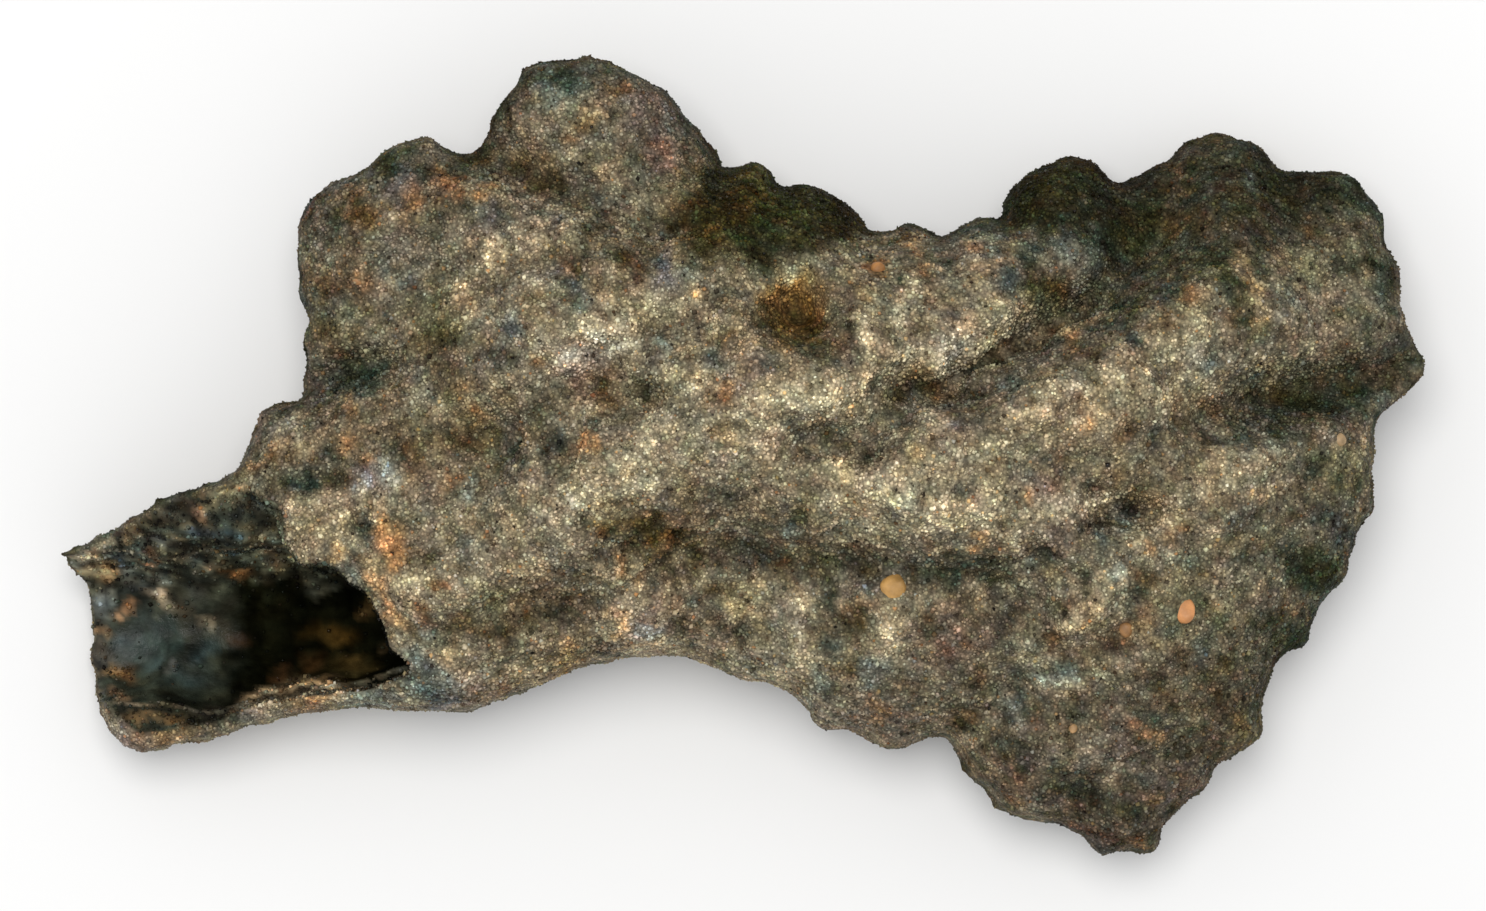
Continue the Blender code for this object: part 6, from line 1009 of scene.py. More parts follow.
# Places in the mouth: x, y, half-width, half-height, colour. The broken wall first, then the
# glass, the lumps of sand caught in it, and the inner side of the lower lip.
LINING = [
    (-29.3, -4.5, 0.6, 0.5, (0.100, 0.095, 0.070)), (-28.6, -4.1, 0.6, 0.4, (0.110, 0.078, 0.050)), (-28.1, -3.8, 0.40, 0.35, (0.270, 0.230, 0.150)),
    (-27.5, -3.2, 0.55, 0.45, (0.085, 0.050, 0.034)), (-26.8, -3.4, 0.40, 0.35, (0.190, 0.145, 0.080)), (-27.1, -4.8, 0.60, 0.50, (0.052, 0.060, 0.056)),
    (-26.4, -4.5, 0.60, 0.50, (0.080, 0.085, 0.062)), (-25.8, -4.4, 0.28, 0.30, (0.110, 0.062, 0.032)), (-25.9, -3.5, 0.55, 0.45, (0.038, 0.032, 0.024)),
    (-25.1, -3.7, 0.50, 0.50, (0.040, 0.036, 0.024)), (-24.6, -2.7, 0.50, 0.40, (0.040, 0.036, 0.022)), (-23.8, -3.2, 0.60, 0.50, (0.046, 0.057, 0.058)),
    (-24.2, -2.2, 0.45, 0.35, (0.130, 0.078, 0.044)), (-25.4, -2.3, 0.50, 0.35, (0.140, 0.105, 0.060)), (-23.0, -1.7, 0.60, 0.50, (0.210, 0.180, 0.100)),
    (-22.1, -1.0, 0.60, 0.50, (0.220, 0.150, 0.078)), (-22.2, -2.3, 0.30, 0.50, (0.026, 0.026, 0.020)), (-21.4, -2.1, 0.30, 0.45, (0.120, 0.115, 0.082)),
    (-22.5, -3.6, 0.70, 0.45, (0.026, 0.036, 0.034)), (-21.0, -3.3, 0.60, 0.40, (0.075, 0.075, 0.050)), (-20.7, -4.2, 0.50, 0.40, (0.045, 0.034, 0.020)),
    (-24.4, -4.3, 0.60, 0.50, (0.036, 0.036, 0.026)), (-23.2, -4.8, 0.60, 0.40, (0.060, 0.045, 0.026)), (-22.2, -5.2, 0.40, 0.32, (0.190, 0.095, 0.034)),
    (-25.4, -5.3, 0.70, 0.40, (0.060, 0.062, 0.048)), (-24.0, -5.6, 0.60, 0.45, (0.050, 0.052, 0.040)), (-26.6, -5.6, 0.60, 0.35, (0.046, 0.048, 0.040)),
    (-20.8, -5.2, 0.60, 0.40, (0.030, 0.023, 0.012)), (-28.0, -6.3, 0.60, 0.70, (0.060, 0.062, 0.054)), (-24.6, -6.6, 0.60, 0.60, (0.070, 0.060, 0.036)),
    # The grey-blue and grey-green spots on this line and the next are a painted reflection of pale light on the glass
    # of the bore floor.
    (-26.2, -7.6, 1.00, 0.70, (0.036, 0.048, 0.038)), (-27.1, -8.3, 0.75, 0.60, (0.044, 0.058, 0.057)), (-25.9, -8.7, 0.80, 0.45, (0.047, 0.066, 0.056)),
    (-25.1, -8.1, 0.50, 0.60, (0.023, 0.036, 0.029)), (-23.6, -8.5, 0.65, 0.55, (0.027, 0.043, 0.042)), (-24.4, -9.5, 0.95, 0.50, (0.036, 0.051, 0.043)),
    (-22.9, -7.0, 0.50, 0.70, (0.022, 0.020, 0.012)), (-22.2, -7.9, 0.40, 0.40, (0.060, 0.032, 0.014)), (-28.3, -8.7, 0.35, 0.70, (0.070, 0.060, 0.044)),
    (-28.3, -5.0, 0.70, 0.45, (0.240, 0.165, 0.080)), (-27.05, -6.65, 0.28, 0.27, (0.440, 0.235, 0.110)), (-25.80, -6.2, 0.44, 0.36, (0.600, 0.430, 0.270)),
    (-25.25, -6.4, 0.36, 0.32, (0.330, 0.270, 0.170)), (-23.5, -7.35, 0.32, 0.28, (0.180, 0.150, 0.095)), (-28.2, -7.5, 0.40, 0.35, (0.240, 0.150, 0.075)),
    (-27.7, -9.45, 0.40, 0.28, (0.240, 0.140, 0.055)), (-27.0, -9.5, 0.34, 0.26, (0.170, 0.090, 0.036)), (-24.9, -9.2, 0.24, 0.22, (0.140, 0.145, 0.130)),
    (-27.5, -10.4, 0.34, 0.26, (0.150, 0.090, 0.045)), (-16.0, -8.4, 0.24, 0.24, (0.050, 0.036, 0.018)),
    (-18.1, -7.9, 1.00, 0.42, (0.043, 0.025, 0.006)), (-17.2, -9.2, 0.95, 0.45, (0.036, 0.025, 0.008)), (-18.8, -9.0, 0.60, 0.35, (0.030, 0.015, 0.005)),
    (-20.3, -9.5, 0.40, 0.30, (0.040, 0.020, 0.008)), (-16.6, -6.6, 0.35, 0.35, (0.110, 0.070, 0.026)), (-18.4, -5.5, 0.80, 0.25, (0.060, 0.055, 0.034)),
    # The first two spots on the next line and the first on the line after paint the inner side of the lower lip near
    # black: painted shade in the hole.
    (-24.9, -10.85, 2.70, 0.42, (0.006, 0.006, 0.003)), (-24.2, -11.35, 1.70, 0.36, (0.010, 0.009, 0.004)), (-26.7, -11.45, 0.80, 0.34, (0.120, 0.068, 0.026)), (-25.3, -11.55, 0.60, 0.30, (0.110, 0.066, 0.026)),
    (-23.3, -11.2, 0.90, 0.26, (0.014, 0.011, 0.007)), (-19.4, -9.9, 0.90, 0.30, (0.150, 0.105, 0.054)), (-20.8, -10.25, 0.70, 0.30, (0.150, 0.110, 0.060)), (-17.9, -9.9, 0.60, 0.22, (0.120, 0.078, 0.036)),
]


# Slighter changes of tone in the mouth: x, y, reach, stops.
LINING_TOUCHES = [
    (-27.5, -8.7, 0.7, -0.60), (-24.1, -7.85, 0.5, -0.70), (-23.2, -7.1, 0.4, -0.60), (-22.35, -9.3, 0.55, -0.80), (-21.9, -7.8, 0.7, -0.60),
    (-23.7, -4.9, 0.6, -0.70), (-22.9, -4.2, 0.4, -0.60), (-21.9, -3.3, 0.4, -0.55), (-21.2, -3.6, 0.3, -0.50), (-20.4, -4.8, 0.6, -0.65),
    (-24.4, -3.2, 0.4, -0.60), (-27.5, -3.3, 0.5, -0.50), (-26.2, -2.4, 0.3, -0.40), (-27.6, -5.1, 0.5, -0.45), (-26.6, -6.2, 0.35, -0.40),
    (-18.8, -6.1, 0.5, -0.60), (-17.8, -9.3, 0.5, -0.50), (-19.7, -9.75, 0.35, -0.50), (-24.7, -2.0, 0.6, 0.75), (-26.2, -3.3, 0.6, 0.85),
    (-22.2, -2.3, 0.6, 0.90), (-20.9, -2.8, 0.35, 0.80), (-25.1, -4.3, 0.7, 0.95), (-27.5, -4.2, 0.4, 0.50), (-26.6, -4.9, 0.4, 0.45),
    (-24.7, -5.8, 0.45, 0.80), (-25.7, -6.5, 0.5, 0.75), (-21.5, -5.9, 0.7, 0.70), (-19.7, -5.65, 0.4, 0.60), (-26.2, -10.1, 0.6, 0.50),
    (-20.8, -10.1, 0.6, 0.70), (-18.7, -8.4, 0.4, 0.60), (-18.8, -9.5, 0.35, 0.50), (-25.2, -9.0, 0.5, -0.35), (-25.9, -1.9, 0.4, 0.35),
]


# Those of them that are lumps of sand: x, y, half-width, half-height.
LUMPS = [
    (-28.3, -5.0, 0.80, 0.50), (-27.05, -6.65, 0.27, 0.27), (-25.80, -6.2, 0.42, 0.36), (-25.25, -6.4, 0.36, 0.32), (-23.5, -7.35, 0.32, 0.28),
    (-28.2, -7.5, 0.42, 0.36), (-27.7, -9.45, 0.40, 0.28), (-27.0, -9.5, 0.34, 0.26), (-24.9, -9.2, 0.24, 0.22), (-27.5, -10.4, 0.34, 0.26),
    (-22.2, -5.2, 0.45, 0.35), (-16.6, -6.6, 0.35, 0.35), (-26.7, -11.45, 0.80, 0.34), (-25.3, -11.55, 0.60, 0.30), (-19.4, -9.9, 0.90, 0.30), (-20.8, -10.25, 0.70, 0.30),
    (-17.9, -9.9, 0.60, 0.22), (-24.6, -6.6, 0.50, 0.40), (-28.3, -8.7, 0.35, 0.60),
]


def spot(points, x, y, rx, ry):
    return np.exp(-((((points[:, 0] - x) / rx) ** 2 + ((points[:, 1] - y) / ry) ** 2) ** 1.5))


def lining_at(points):
    """Colours of the glass in the bore and of the broken wall beside it, how granular it is, and where the hole is
    painted near black as shade; that mask also dims the shine.
    """
    drift = np.stack([mottle(points, 0.9, 71), mottle(points, 0.9, 72), np.zeros(len(points))], 1)
    drift += 0.5 * np.stack([mottle(points, 0.42, 73), mottle(points, 0.42, 74), np.zeros(len(points))], 1)
    x, y = seen(points[:, 0], points[:, 1], points[:, 2])
    wobble = np.stack([x, y, points[:, 2]], 1) + 0.13 * drift
    cloud = 0.5 * mottle(points, 2.2, 75) + 0.5 * mottle(points, 1.0, 76) + 0.35 * mottle(points, 0.5, 77)
    granular = smooth(-6.9, -4.3, wobble[:, 1] + 0.45 * cloud)
    # Past the edge of the roof the hole is painted near black: painted shade deep in the mouth.
    hole_shade = smooth(-23.3, -21.9, wobble[:, 0] + 0.25 * cloud) * (1 - smooth(-5.9, -4.7, wobble[:, 1] + 0.2 * cloud))
    base = np.array([0.027, 0.031, 0.020]) * np.ones((len(points), 1))
    base += granular[:, None] * (np.array([0.056, 0.056, 0.034]) - base)
    base += hole_shade[:, None] * (np.array([0.0040, 0.0042, 0.0018]) - base)
    sill_at = np.interp(x, (-23.0, -22.0, -20.5, -19.4, -18.0, -16.3, -14.9, -14.0), (-11.4, -10.5, -10.1, -9.8, -10.0, -10.2, -9.6, -9.2))
    sill = smooth(0.14, -0.14, y - sill_at + 0.08 * cloud) * smooth(-23.0, -22.0, x)
    base += sill[:, None] * (np.array([0.130, 0.104, 0.064]) - base)
    granular = np.maximum(granular, sill)
    hole_shade = hole_shade * (1 - sill)
    for x, y, rx, ry, colour in LINING:
        base += spot(wobble, x, y, rx, ry)[:, None] * (np.array(colour) - base)
    change = sum(stops * spot(wobble, x, y, 1.1 * r, 1.1 * r) for x, y, r, stops in LINING_TOUCHES)
    base = base * np.exp2(change)[:, None]
    speckle = 0.48 * mottle(points, 0.62, 78) + 0.46 * mottle(points, 0.31, 79) + 0.25 * mottle(points, 1.25, 80)
    calm = 0.45 + 0.55 * granular
    base = base * np.exp(speckle * calm)[:, None]
    base = base * np.exp(np.outer(0.8 * mottle(points, 0.5, 81) * calm, (0.085, -0.02, -0.115)))
    return np.clip(base, 0.001, 0.9), granular, hole_shade


def lump_at(points):
    out = np.zeros(len(points))
    u, v = seen(points[:, 0], points[:, 1], points[:, 2])
    for x, y, rx, ry in LUMPS:
        out = np.maximum(out, smooth(1.35, 0.75, np.hypot((u - x) / rx, (v - y) / ry)))
    return out


def surface_colour(points, level):
    """The colour of the surface at points, sand and glass together, with painted shade in the hole and deep in the
    bore.
    """
    glass, fracture = glass_at(points), fracture_at(points)
    inner, granular, hole_shade = lining_at(points)
    tone, fine = tone_at(points)
    sand = tinted(tone, *hue_at(points, tone), level)
    inside = np.clip(glass + fracture, 0, 1) * smooth(-12.0, -14.5, points[:, 0])
    # Glass and broken wall away from the mouth, inside the bore, are painted near black: painted shade in the tube.
    bore_shade = np.clip(glass + fracture, 0, 1)[:, None] - inside[:, None]
    sand = sand + inside[:, None] * (inner - sand)
    gleam = smooth(-2.6, 0.6, tone) * (1 - inside) + 0.35 * inside * (1 - hole_shade)
    return sand + bore_shade * (np.array([0.012, 0.010, 0.006]) - sand), glass, fracture, granular, hole_shade, gleam


def new_mesh(name, points, faces, smooth_faces=True):
    """A mesh object from arrays, in mm; faces all have the same number of corners."""
    mesh = bpy.data.meshes.new(name)
    n = faces.shape[1]
    mesh.vertices.add(len(points))
    mesh.vertices.foreach_set("co", (points * MM).astype(np.float32).ravel())
    mesh.loops.add(faces.size)
    mesh.loops.foreach_set("vertex_index", faces.astype(np.int32).ravel())
    mesh.polygons.add(len(faces))
    mesh.polygons.foreach_set("loop_start", np.arange(0, faces.size, n, dtype=np.int32))
    mesh.polygons.foreach_set("use_smooth", np.full(len(faces), smooth_faces))
    mesh.update(calc_edges=True)
    obj = bpy.data.objects.new(name, mesh)
    bpy.context.scene.collection.objects.link(obj)
    return obj


def set_value(obj, name, values):
    layer = obj.data.attributes.new(name, "FLOAT", "POINT")
    layer.data.foreach_set("value", np.asarray(values, np.float32))


def set_colour(obj, name, colours):
    layer = obj.data.attributes.new(name, "FLOAT_COLOR", "POINT")
    rgba = np.ones((len(colours), 4), np.float32)
    rgba[:, :3] = colours
    layer.data.foreach_set("color", rgba.ravel())


# ------------------------------------------------------------- node helpers
class Nodes:
    def __init__(self, name):
        self.mat = bpy.data.materials.new(name)
        self.mat.use_nodes = True
        self.tree = self.mat.node_tree
        self.shader = self.tree.nodes["Principled BSDF"]

    def add(self, kind, inputs=None, **settings):
        node = self.tree.nodes.new(kind)
        for key, value in settings.items():
            setattr(node, key, value)
        for key, value in (inputs or {}).items():
            self.put(node.inputs[key], value)
        return node

    def put(self, socket, value):
        if isinstance(value, bpy.types.NodeSocket):
            self.tree.links.new(value, socket)
        else:
            socket.default_value = value

    def value(self, name):
        return self.add("ShaderNodeAttribute", attribute_name=name).outputs["Fac"]

    def colour(self, name):
        return self.add("ShaderNodeAttribute", attribute_name=name).outputs["Color"]

    def maths(self, operation, a, b=0.0, clamp=False):
        node = self.add("ShaderNodeMath", operation=operation, use_clamp=clamp)
        self.put(node.inputs[0], a)
        self.put(node.inputs[1], b)
        return node.outputs[0]

    def mix(self, factor, a, b, blend="MIX"):
        node = self.add("ShaderNodeMix", data_type="RGBA", blend_type=blend)
        self.put(node.inputs["Factor"], factor)
        for socket, item in ((node.inputs[6], a), (node.inputs[7], b)):
            self.put(socket, item if isinstance(item, bpy.types.NodeSocket) else (*item, 1.0))
        return node.outputs[2]

    def ramp(self, factor, stops, interpolation="LINEAR"):
        node = self.add("ShaderNodeValToRGB", {"Fac": factor})
        node.color_ramp.interpolation = interpolation
        elements = node.color_ramp.elements
        while len(elements) < len(stops):
            elements.new(0.5)
        for element, (at, colour) in zip(elements, stops):
            element.position = at
            element.color = (*colour, 1.0)
        return node.outputs["Color"]

    def range(self, value, low, high, to_low=0.0, to_high=1.0):
        node = self.add("ShaderNodeMapRange", {"Value": value, "From Min": low, "From Max": high, "To Min": to_low, "To Max": to_high})
        return node.outputs["Result"]

    def place(self):
        return self.add("ShaderNodeTexCoord").outputs["Object"]

    def noise(self, scale, detail=2.0, roughness=0.5):
        return self.add("ShaderNodeTexNoise", {"Vector": self.place(), "Scale": scale, "Detail": detail, "Roughness": roughness}).outputs["Fac"]

    def cells(self, scale, feature="F1", output="Distance"):
        return self.add("ShaderNodeTexVoronoi", {"Vector": self.place(), "Scale": scale}, feature=feature).outputs[output]


def skin_material():
    """Fused sand with glass in the bore; its colour is carried on the mesh, and cells of sand break it up, painted
    darker at their edges as shade between the grains.
    """
    n = Nodes("fused_sand_skin")
    paint, glass = n.colour("paint"), n.value("glass")
    cell = n.add("ShaderNodeTexVoronoi", {"Vector": n.place(), "Scale": 6200.0, "Randomness": 1.0})
    pick = n.add("ShaderNodeSeparateColor", {"Color": cell.outputs["Color"]})
    shade = n.range(pick.outputs[0], 0.0, 1.0, 0.62, 1.38)
    # Sand cells are painted darker towards their edges: painted shade in the gaps between grains.
    gap_shade = n.range(cell.outputs["Distance"], 0.25, 0.75, 1.0, 0.5)
    shade = n.maths("MULTIPLY", shade, gap_shade)
    cloud = n.range(n.noise(2600.0, 3.0, 0.6), 0.3, 0.7, 0.72, 1.28)
    shade = n.add("ShaderNodeMix", {"Factor": glass, 2: shade, 3: cloud}, data_type="FLOAT").outputs[0]
    shade = n.add("ShaderNodeCombineColor", {0: shade, 1: shade, 2: shade}).outputs[0]
    n.put(n.shader.inputs["Base Color"], n.mix(1.0, paint, shade, "MULTIPLY"))
    rough_sand = n.range(pick.outputs[1], 0.0, 1.0, 0.60, 0.95)
    rough_glass = n.range(n.noise(1500.0, 3.0, 0.6), 0.3, 0.7, 0.22, 0.55)
    n.put(n.shader.inputs["Roughness"], n.add("ShaderNodeMix", {"Factor": n.value("gloss"), 2: rough_sand, 3: rough_glass}, data_type="FLOAT").outputs[0])
    n.put(n.shader.inputs["IOR"], 1.48)
    n.put(n.shader.inputs["Specular IOR Level"], n.value("shine"))
    grain = n.range(cell.outputs["Distance"], 0.0, 0.8, 1.0, 0.0)
    soft = n.noise(1700.0, 4.0, 0.65)
    height = n.add("ShaderNodeMix", {"Factor": glass, 2: grain, 3: soft}, data_type="FLOAT").outputs[0]
    bump = n.add("ShaderNodeBump", {"Strength": 0.9, "Distance": 0.00010, "Height": height})
    n.put(n.shader.inputs["Normal"], bump.outputs["Normal"])
    return n.mat


def grain_material():
    n = Nodes("sand_grains")
    shade = n.range(n.noise(5600.0, 2.0, 0.6), 0.25, 0.75, 0.75, 1.22)
    shade = n.add("ShaderNodeCombineColor", {0: shade, 1: shade, 2: shade}).outputs[0]
    n.put(n.shader.inputs["Base Color"], n.mix(1.0, n.colour("paint"), shade, "MULTIPLY"))
    n.put(n.shader.inputs["Roughness"], n.value("rough"))
    n.put(n.shader.inputs["IOR"], 1.5)
    n.put(n.shader.inputs["Specular IOR Level"], n.value("shine"))
    return n.mat


# ------------------------------------------------------------- the skin
skin = new_mesh("fulgurite_skin", POINTS, QUADS)
# The skin between the grains takes a lower level than the grains' 0.247: painted shade in the gaps.
PAINT, GLASS, FRACTURE, GRANULAR, HOLE_SHADE, GLEAM = surface_colour(POINTS, 0.206)
set_colour(skin, "paint", PAINT)
set_value(skin, "glass", np.clip(GLASS + FRACTURE, 0, 1))
set_value(skin, "gloss", GLASS * (1 - 0.75 * GRANULAR))
set_value(skin, "shine", np.maximum(0.05 + 0.20 * GLEAM - 0.05 * GLASS * HOLE_SHADE, 0.13 * GLASS * (1 - HOLE_SHADE)))
skin.data.materials.append(skin_material())


# ------------------------------------------------------------- the grains
def face_data(points, quads):
    a, b, c, d = (points[quads[:, k]] for k in range(4))
    normal = np.cross(c - a, d - b)
    area = np.linalg.norm(normal, axis=1) / 2
    return unit(normal), area


NORMAL, AREA = face_data(POINTS, QUADS)
OCTA = np.array([(1, 0, 0), (-1, 0, 0), (0, 1, 0), (0, -1, 0), (0, 0, 1), (0, 0, -1)], float)
OCTA_FACES = np.array([(0, 2, 4), (2, 1, 4), (1, 3, 4), (3, 0, 4), (2, 0, 5), (1, 2, 5), (3, 1, 5), (0, 3, 5)])


def turns(count):
    q = unit(RNG.standard_normal((count, 4)))
    w, x, y, z = q.T
    return np.stack([
        np.stack([1 - 2 * (y * y + z * z), 2 * (x * y - z * w), 2 * (x * z + y * w)], -1),
        np.stack([2 * (x * y + z * w), 1 - 2 * (x * x + z * z), 2 * (y * z - x * w)], -1),
        np.stack([2 * (x * z - y * w), 2 * (y * z + x * w), 1 - 2 * (x * x + y * y)], -1),
    ], 1)


def scatter(want, weight):
    """Faces and places on them for so many grains, spread evenly by weight."""
    share = AREA * weight
    total = np.cumsum(share)
    at = (np.arange(want) + RNG.random(want)) / want * total[-1]
    face = np.minimum(np.searchsorted(total, at), len(share) - 1)
    u, v = RNG.random((2, want, 1))
    a, b, c, d = (POINTS[QUADS[face, k]] for k in range(4))
    return face, (a * (1 - u) + b * u) * (1 - v) + (d * (1 - u) + c * u) * v


def make_grains(name, want, weight, size=0.165):
    face, at = scatter(want, weight)
    count = len(face)
    inland = smooth(0.05, 0.75, sampled(D, at))
    radius = np.clip(RNG.lognormal(np.log(size / 2), 0.24, count), 0.05, 0.15) * (0.72 + 0.28 * inland)
    shape = OCTA[None] * RNG.uniform(0.75, 1.2, (count, 1, 3)) * radius[:, None, None]
    shape *= RNG.uniform(0.85, 1.15, (count, 6, 1))
    shape = np.einsum("nij,nkj->nki", turns(count), shape)
    lift = radius * (RNG.uniform(-0.2, 0.5, count) - 0.4 * (1 - inland))
    centre = at + NORMAL[face] * lift[:, None]
    centre[:, 2] = np.maximum(centre[:, 2], radius * 1.25)
    points = (centre[:, None] + shape).reshape(-1, 3)
    points[:, 2] = np.maximum(points[:, 2], 0.0)
    faces = (OCTA_FACES[None] + 6 * np.arange(count)[:, None, None]).reshape(-1, 3)
    obj = new_mesh(name, points, faces)
    colour, glass, fracture, granular, _, gleam = surface_colour(at, 0.247)
    paler = 0.50 - RNG.gamma(1.3, 0.44, count)  # more dark ones than pale ones stand out
    colour *= np.exp(paler)[:, None]
    spread = 1.5 - gleam
    colour *= np.exp(np.outer(spread * RNG.normal(0, 0.16, count) - 0.22 * paler, WARM) + np.outer(spread * RNG.normal(0, 0.06, count), GREEN))
    odd = RNG.random(count)
    colour = np.where((odd < 0.010)[:, None], colour * (0.92, 0.60, 0.42), colour)
    colour = np.where(((odd > 0.010) & (odd < 0.025))[:, None], colour * (1.12, 0.90, 0.66), colour)
    colour = np.where(((odd > 0.03) & (odd < 0.042))[:, None], colour * (0.88, 0.97, 1.20), colour)
    colour = np.where(((odd > 0.042) & (odd < 0.10))[:, None], colour * 0.45, colour)
    colour = np.where(((odd > 0.10) & (odd < 0.12))[:, None], colour * (1.35, 1.38, 1.50), colour)
    set_colour(obj, "paint", np.repeat(colour, 6, axis=0))
    glassy = RNG.random(count) < 0.12
    rough = np.where(glassy, RNG.uniform(0.15, 0.35, count), RNG.uniform(0.5, 0.9, count))
    set_value(obj, "rough", np.repeat(rough, 6))
    set_value(obj, "shine", np.repeat(np.where(glassy, 0.18 + 0.27 * gleam, 0.05 + 0.17 * gleam), 6))
    return obj


CENTRES = POINTS[QUADS].mean(1)
HELD = [(6.67, -5.72, 0.55), (19.43, -6.69, 0.60), (6.0, 8.3, 0.30), (16.9, -7.55, 0.28), (26.3, 0.8, 0.25)]
FACE_GLASS = GLASS[QUADS].mean(1)
FACE_FRACTURE = FRACTURE[QUADS].mean(1)
FACE_GRANULAR = GRANULAR[QUADS].mean(1)
FACE_UP = upward(CENTRES)
SEEN = np.stack(seen(*CENTRES.T), 1)
bare = FACE_GLASS * (1 - 0.85 * FACE_GRANULAR) * (1 - lump_at(CENTRES) * (CENTRES[:, 0] < -15))
free = (1 - 0.97 * bare) * (1 - 0.15 * FACE_FRACTURE) * (CENTRES[:, 2] > 0.05)
for x, y, radius in HELD:
    free = free * ~((np.hypot(SEEN[:, 0] - x, SEEN[:, 1] - y) < radius) & (FACE_UP > 0.5))
hollow = np.exp(-((np.hypot(SEEN[:, 0] - 2.45, SEEN[:, 1] - 6.35) / 1.15) ** 4)) * (FACE_UP > 0.5)
free = free * (1 - 0.75 * hollow)  # the brown hollow is smoother
PER_PIECE = 24300
mats = grain_material()
west = CENTRES[:, 0] < 0.6
top_side = FACE_UP > 0.5
pieces = [
    make_grains("grains_upper_left", PER_PIECE, free * west * top_side),
    make_grains("grains_upper_right", PER_PIECE, free * ~west * top_side),
    make_grains("grains_all_round", PER_PIECE, free * (0.30 + 0.70 * top_side)),
    make_grains("grains_under", PER_PIECE, free * ~top_side, 0.20),
]
for piece in pieces:
    piece.data.materials.append(mats)


def coarse_material():
    """Rounded, frosted coarse grains."""
    n = Nodes("coarse_quartz")
    tone = n.range(n.noise(900.0, 4.0, 0.6), 0.3, 0.7, 0.86, 1.12)
    veins = n.range(n.noise(3800.0, 3.0, 0.65), 0.35, 0.65, 0.9, 1.08)
    shade = n.maths("MULTIPLY", tone, veins)
    shade = n.add("ShaderNodeCombineColor", {0: shade, 1: shade, 2: shade}).outputs[0]
    n.put(n.shader.inputs["Base Color"], n.mix(1.0, n.colour("paint"), shade, "MULTIPLY"))
    n.put(n.shader.inputs["Roughness"], n.range(n.noise(2400.0, 3.0, 0.6), 0.3, 0.7, 0.42, 0.72))
    bump = n.add("ShaderNodeBump", {"Strength": 0.6, "Distance": 0.00004, "Height": n.noise(5200.0, 3.0, 0.6)})
    n.put(n.shader.inputs["Normal"], bump.outputs["Normal"])
    return n.mat


def skin_height(x, y):
    """Mean height of the skin round a place of the plan, and where on it that place is."""
    u, v = seen(*POINTS.T)
    near = np.hypot(u - x, v - y) < 0.45
    near &= POINTS[:, 2] > POINTS[near, 2].max() - 1.2
    level = POINTS[near, 2].mean()
    back = (EYE[2] - level) / (EYE[2] - 5.0)
    return EYE[0] + (x - EYE[0]) * back, EYE[1] + (y - EYE[1]) * back, level


# Coarse grains held in the sand: x, y, radius, how far it stands out (in radii), flatness, colour.
COARSE = [
    (6.67, -5.72, 0.58, 0.35, 0.62, (0.46, 0.255, 0.075)), (19.43, -6.69, 0.62, 0.30, 0.58, (0.60, 0.265, 0.095)),
    (6.0, 8.3, 0.34, 0.30, 0.7, (0.34, 0.150, 0.040)), (16.9, -7.55, 0.33, 0.25, 0.7, (0.26, 0.130, 0.045)),
    (-10.2, -4.9, 0.16, 0.5, 0.8, (0.40, 0.22, 0.09)), (26.3, 0.8, 0.30, 0.30, 0.7, (0.36, 0.24, 0.12)),
    (14.6, -11.9, 0.20, 0.4, 0.8, (0.42, 0.25, 0.11)), (-16.9, 7.8, 0.20, 0.4, 0.8, (0.40, 0.20, 0.08)),
]


def make_coarse():
    import bmesh
    ball = bmesh.new()
    bmesh.ops.create_icosphere(ball, subdivisions=3, radius=1.0)
    base = np.array([v.co[:] for v in ball.verts])
    tris = np.array([[v.index for v in f.verts] for f in ball.faces])
    ball.free()
    points, faces, paint = [], [], []
    for k, (x, y, radius, out, flat, colour) in enumerate(COARSE):
        shape = base * (1, 1, flat) + 0.045 * np.stack([mottle(base * 1.3 + 7 * k, 1.0, 95 + a) for a in range(3)], 1)
        turn = 0.5 + 1.7 * k
        shape = shape * (1.06, 0.95, 1.0)
        shape = shape @ np.array([(math.cos(turn), math.sin(turn), 0), (-math.sin(turn), math.cos(turn), 0), (0, 0, 1)])
        x, y, level = skin_height(x, y)
        points.append(shape * radius + (x, y, level + 0.05 + radius * (out - flat)))
        faces.append(tris + len(base) * k)
        paint.append(np.array(colour) * np.exp(0.10 * mottle(base * 1.5 + 9 * k, 1.0, 99))[:, None])
    obj = new_mesh("coarse_grains", np.vstack(points), np.vstack(faces))
    set_colour(obj, "paint", np.vstack(paint))
    obj.data.materials.append(coarse_material())
    return obj


pieces.append(make_coarse())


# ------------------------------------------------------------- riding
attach(skin, "root")
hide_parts("fulgurite")
for piece in pieces:
    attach(piece, "root")


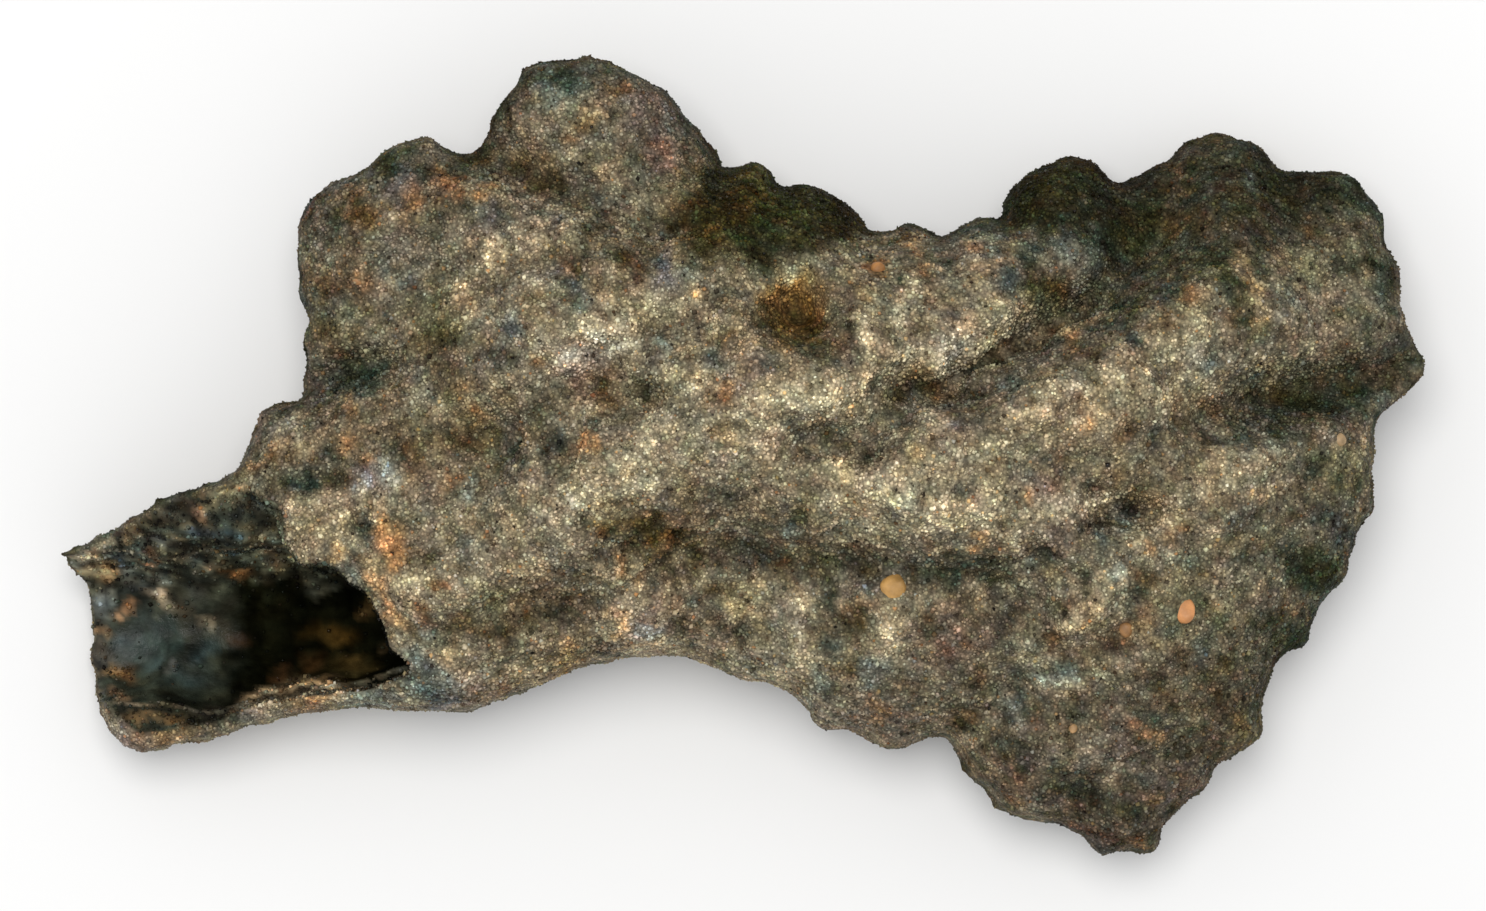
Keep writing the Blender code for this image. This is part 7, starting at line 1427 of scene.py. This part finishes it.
# ------------------------------------------------------------- floor, light, camera
floor_mesh = new_mesh("floor", np.array([(-1500, -1500, 0), (1500, -1500, 0), (1500, 1500, 0), (-1500, 1500, 0)], float), np.array([[0, 1, 2, 3]]), False)
floor_mesh.location.z = -0.00002
floor_mat = Nodes("pale_floor")
floor_mat.put(floor_mat.shader.inputs["Base Color"], (0.86, 0.86, 0.86, 1.0))
floor_mat.put(floor_mat.shader.inputs["Roughness"], 0.9)
floor_mat.put(floor_mat.shader.inputs["Specular IOR Level"], 0.1)
floor_mesh.data.materials.append(floor_mat.mat)


def area_light(name, at, aim, size, watts, colour=(1, 1, 1)):
    data = bpy.data.lights.new(name, "AREA")
    data.shape = "DISK"
    data.size = size
    data.energy = watts
    data.color = colour
    obj = bpy.data.objects.new(name, data)
    obj.location = at
    obj.rotation_euler = (Vector(aim) - Vector(at)).to_track_quat("-Z", "Y").to_euler()
    bpy.context.scene.collection.objects.link(obj)
    return obj


area_light("overhead", (-0.03, 0.09, 0.46), (0, 0, 0.005), 0.26, 1.15, (1.0, 0.985, 0.96))
world = bpy.data.worlds.new("studio")
bpy.context.scene.world = world
world.use_nodes = True
world.node_tree.nodes["Background"].inputs["Color"].default_value = (0.98, 0.99, 1.0, 1.0)
world.node_tree.nodes["Background"].inputs["Strength"].default_value = 0.72

camera_data = bpy.data.cameras.new("camera")
camera = bpy.data.objects.new("camera", camera_data)
bpy.context.scene.collection.objects.link(camera)
bpy.context.scene.camera = camera
PIXEL = 0.044  # mm on the object for each pixel of the 1486 x 911 frame
AWAY = 330.0  # mm above the rim level
camera_data.sensor_fit = "HORIZONTAL"
camera_data.sensor_width = 36.0
camera_data.lens = 36.0 * AWAY / (1486 * PIXEL)
camera_data.clip_start = 0.01
camera_data.clip_end = 5.0
camera.location = ((743.0 - 741.5) * PIXEL * MM, (458.0 - 455.5) * PIXEL * MM, (AWAY + 5.0) * MM)
camera.rotation_euler = (0, 0, 0)
bpy.context.scene.view_settings.view_transform = "Standard"
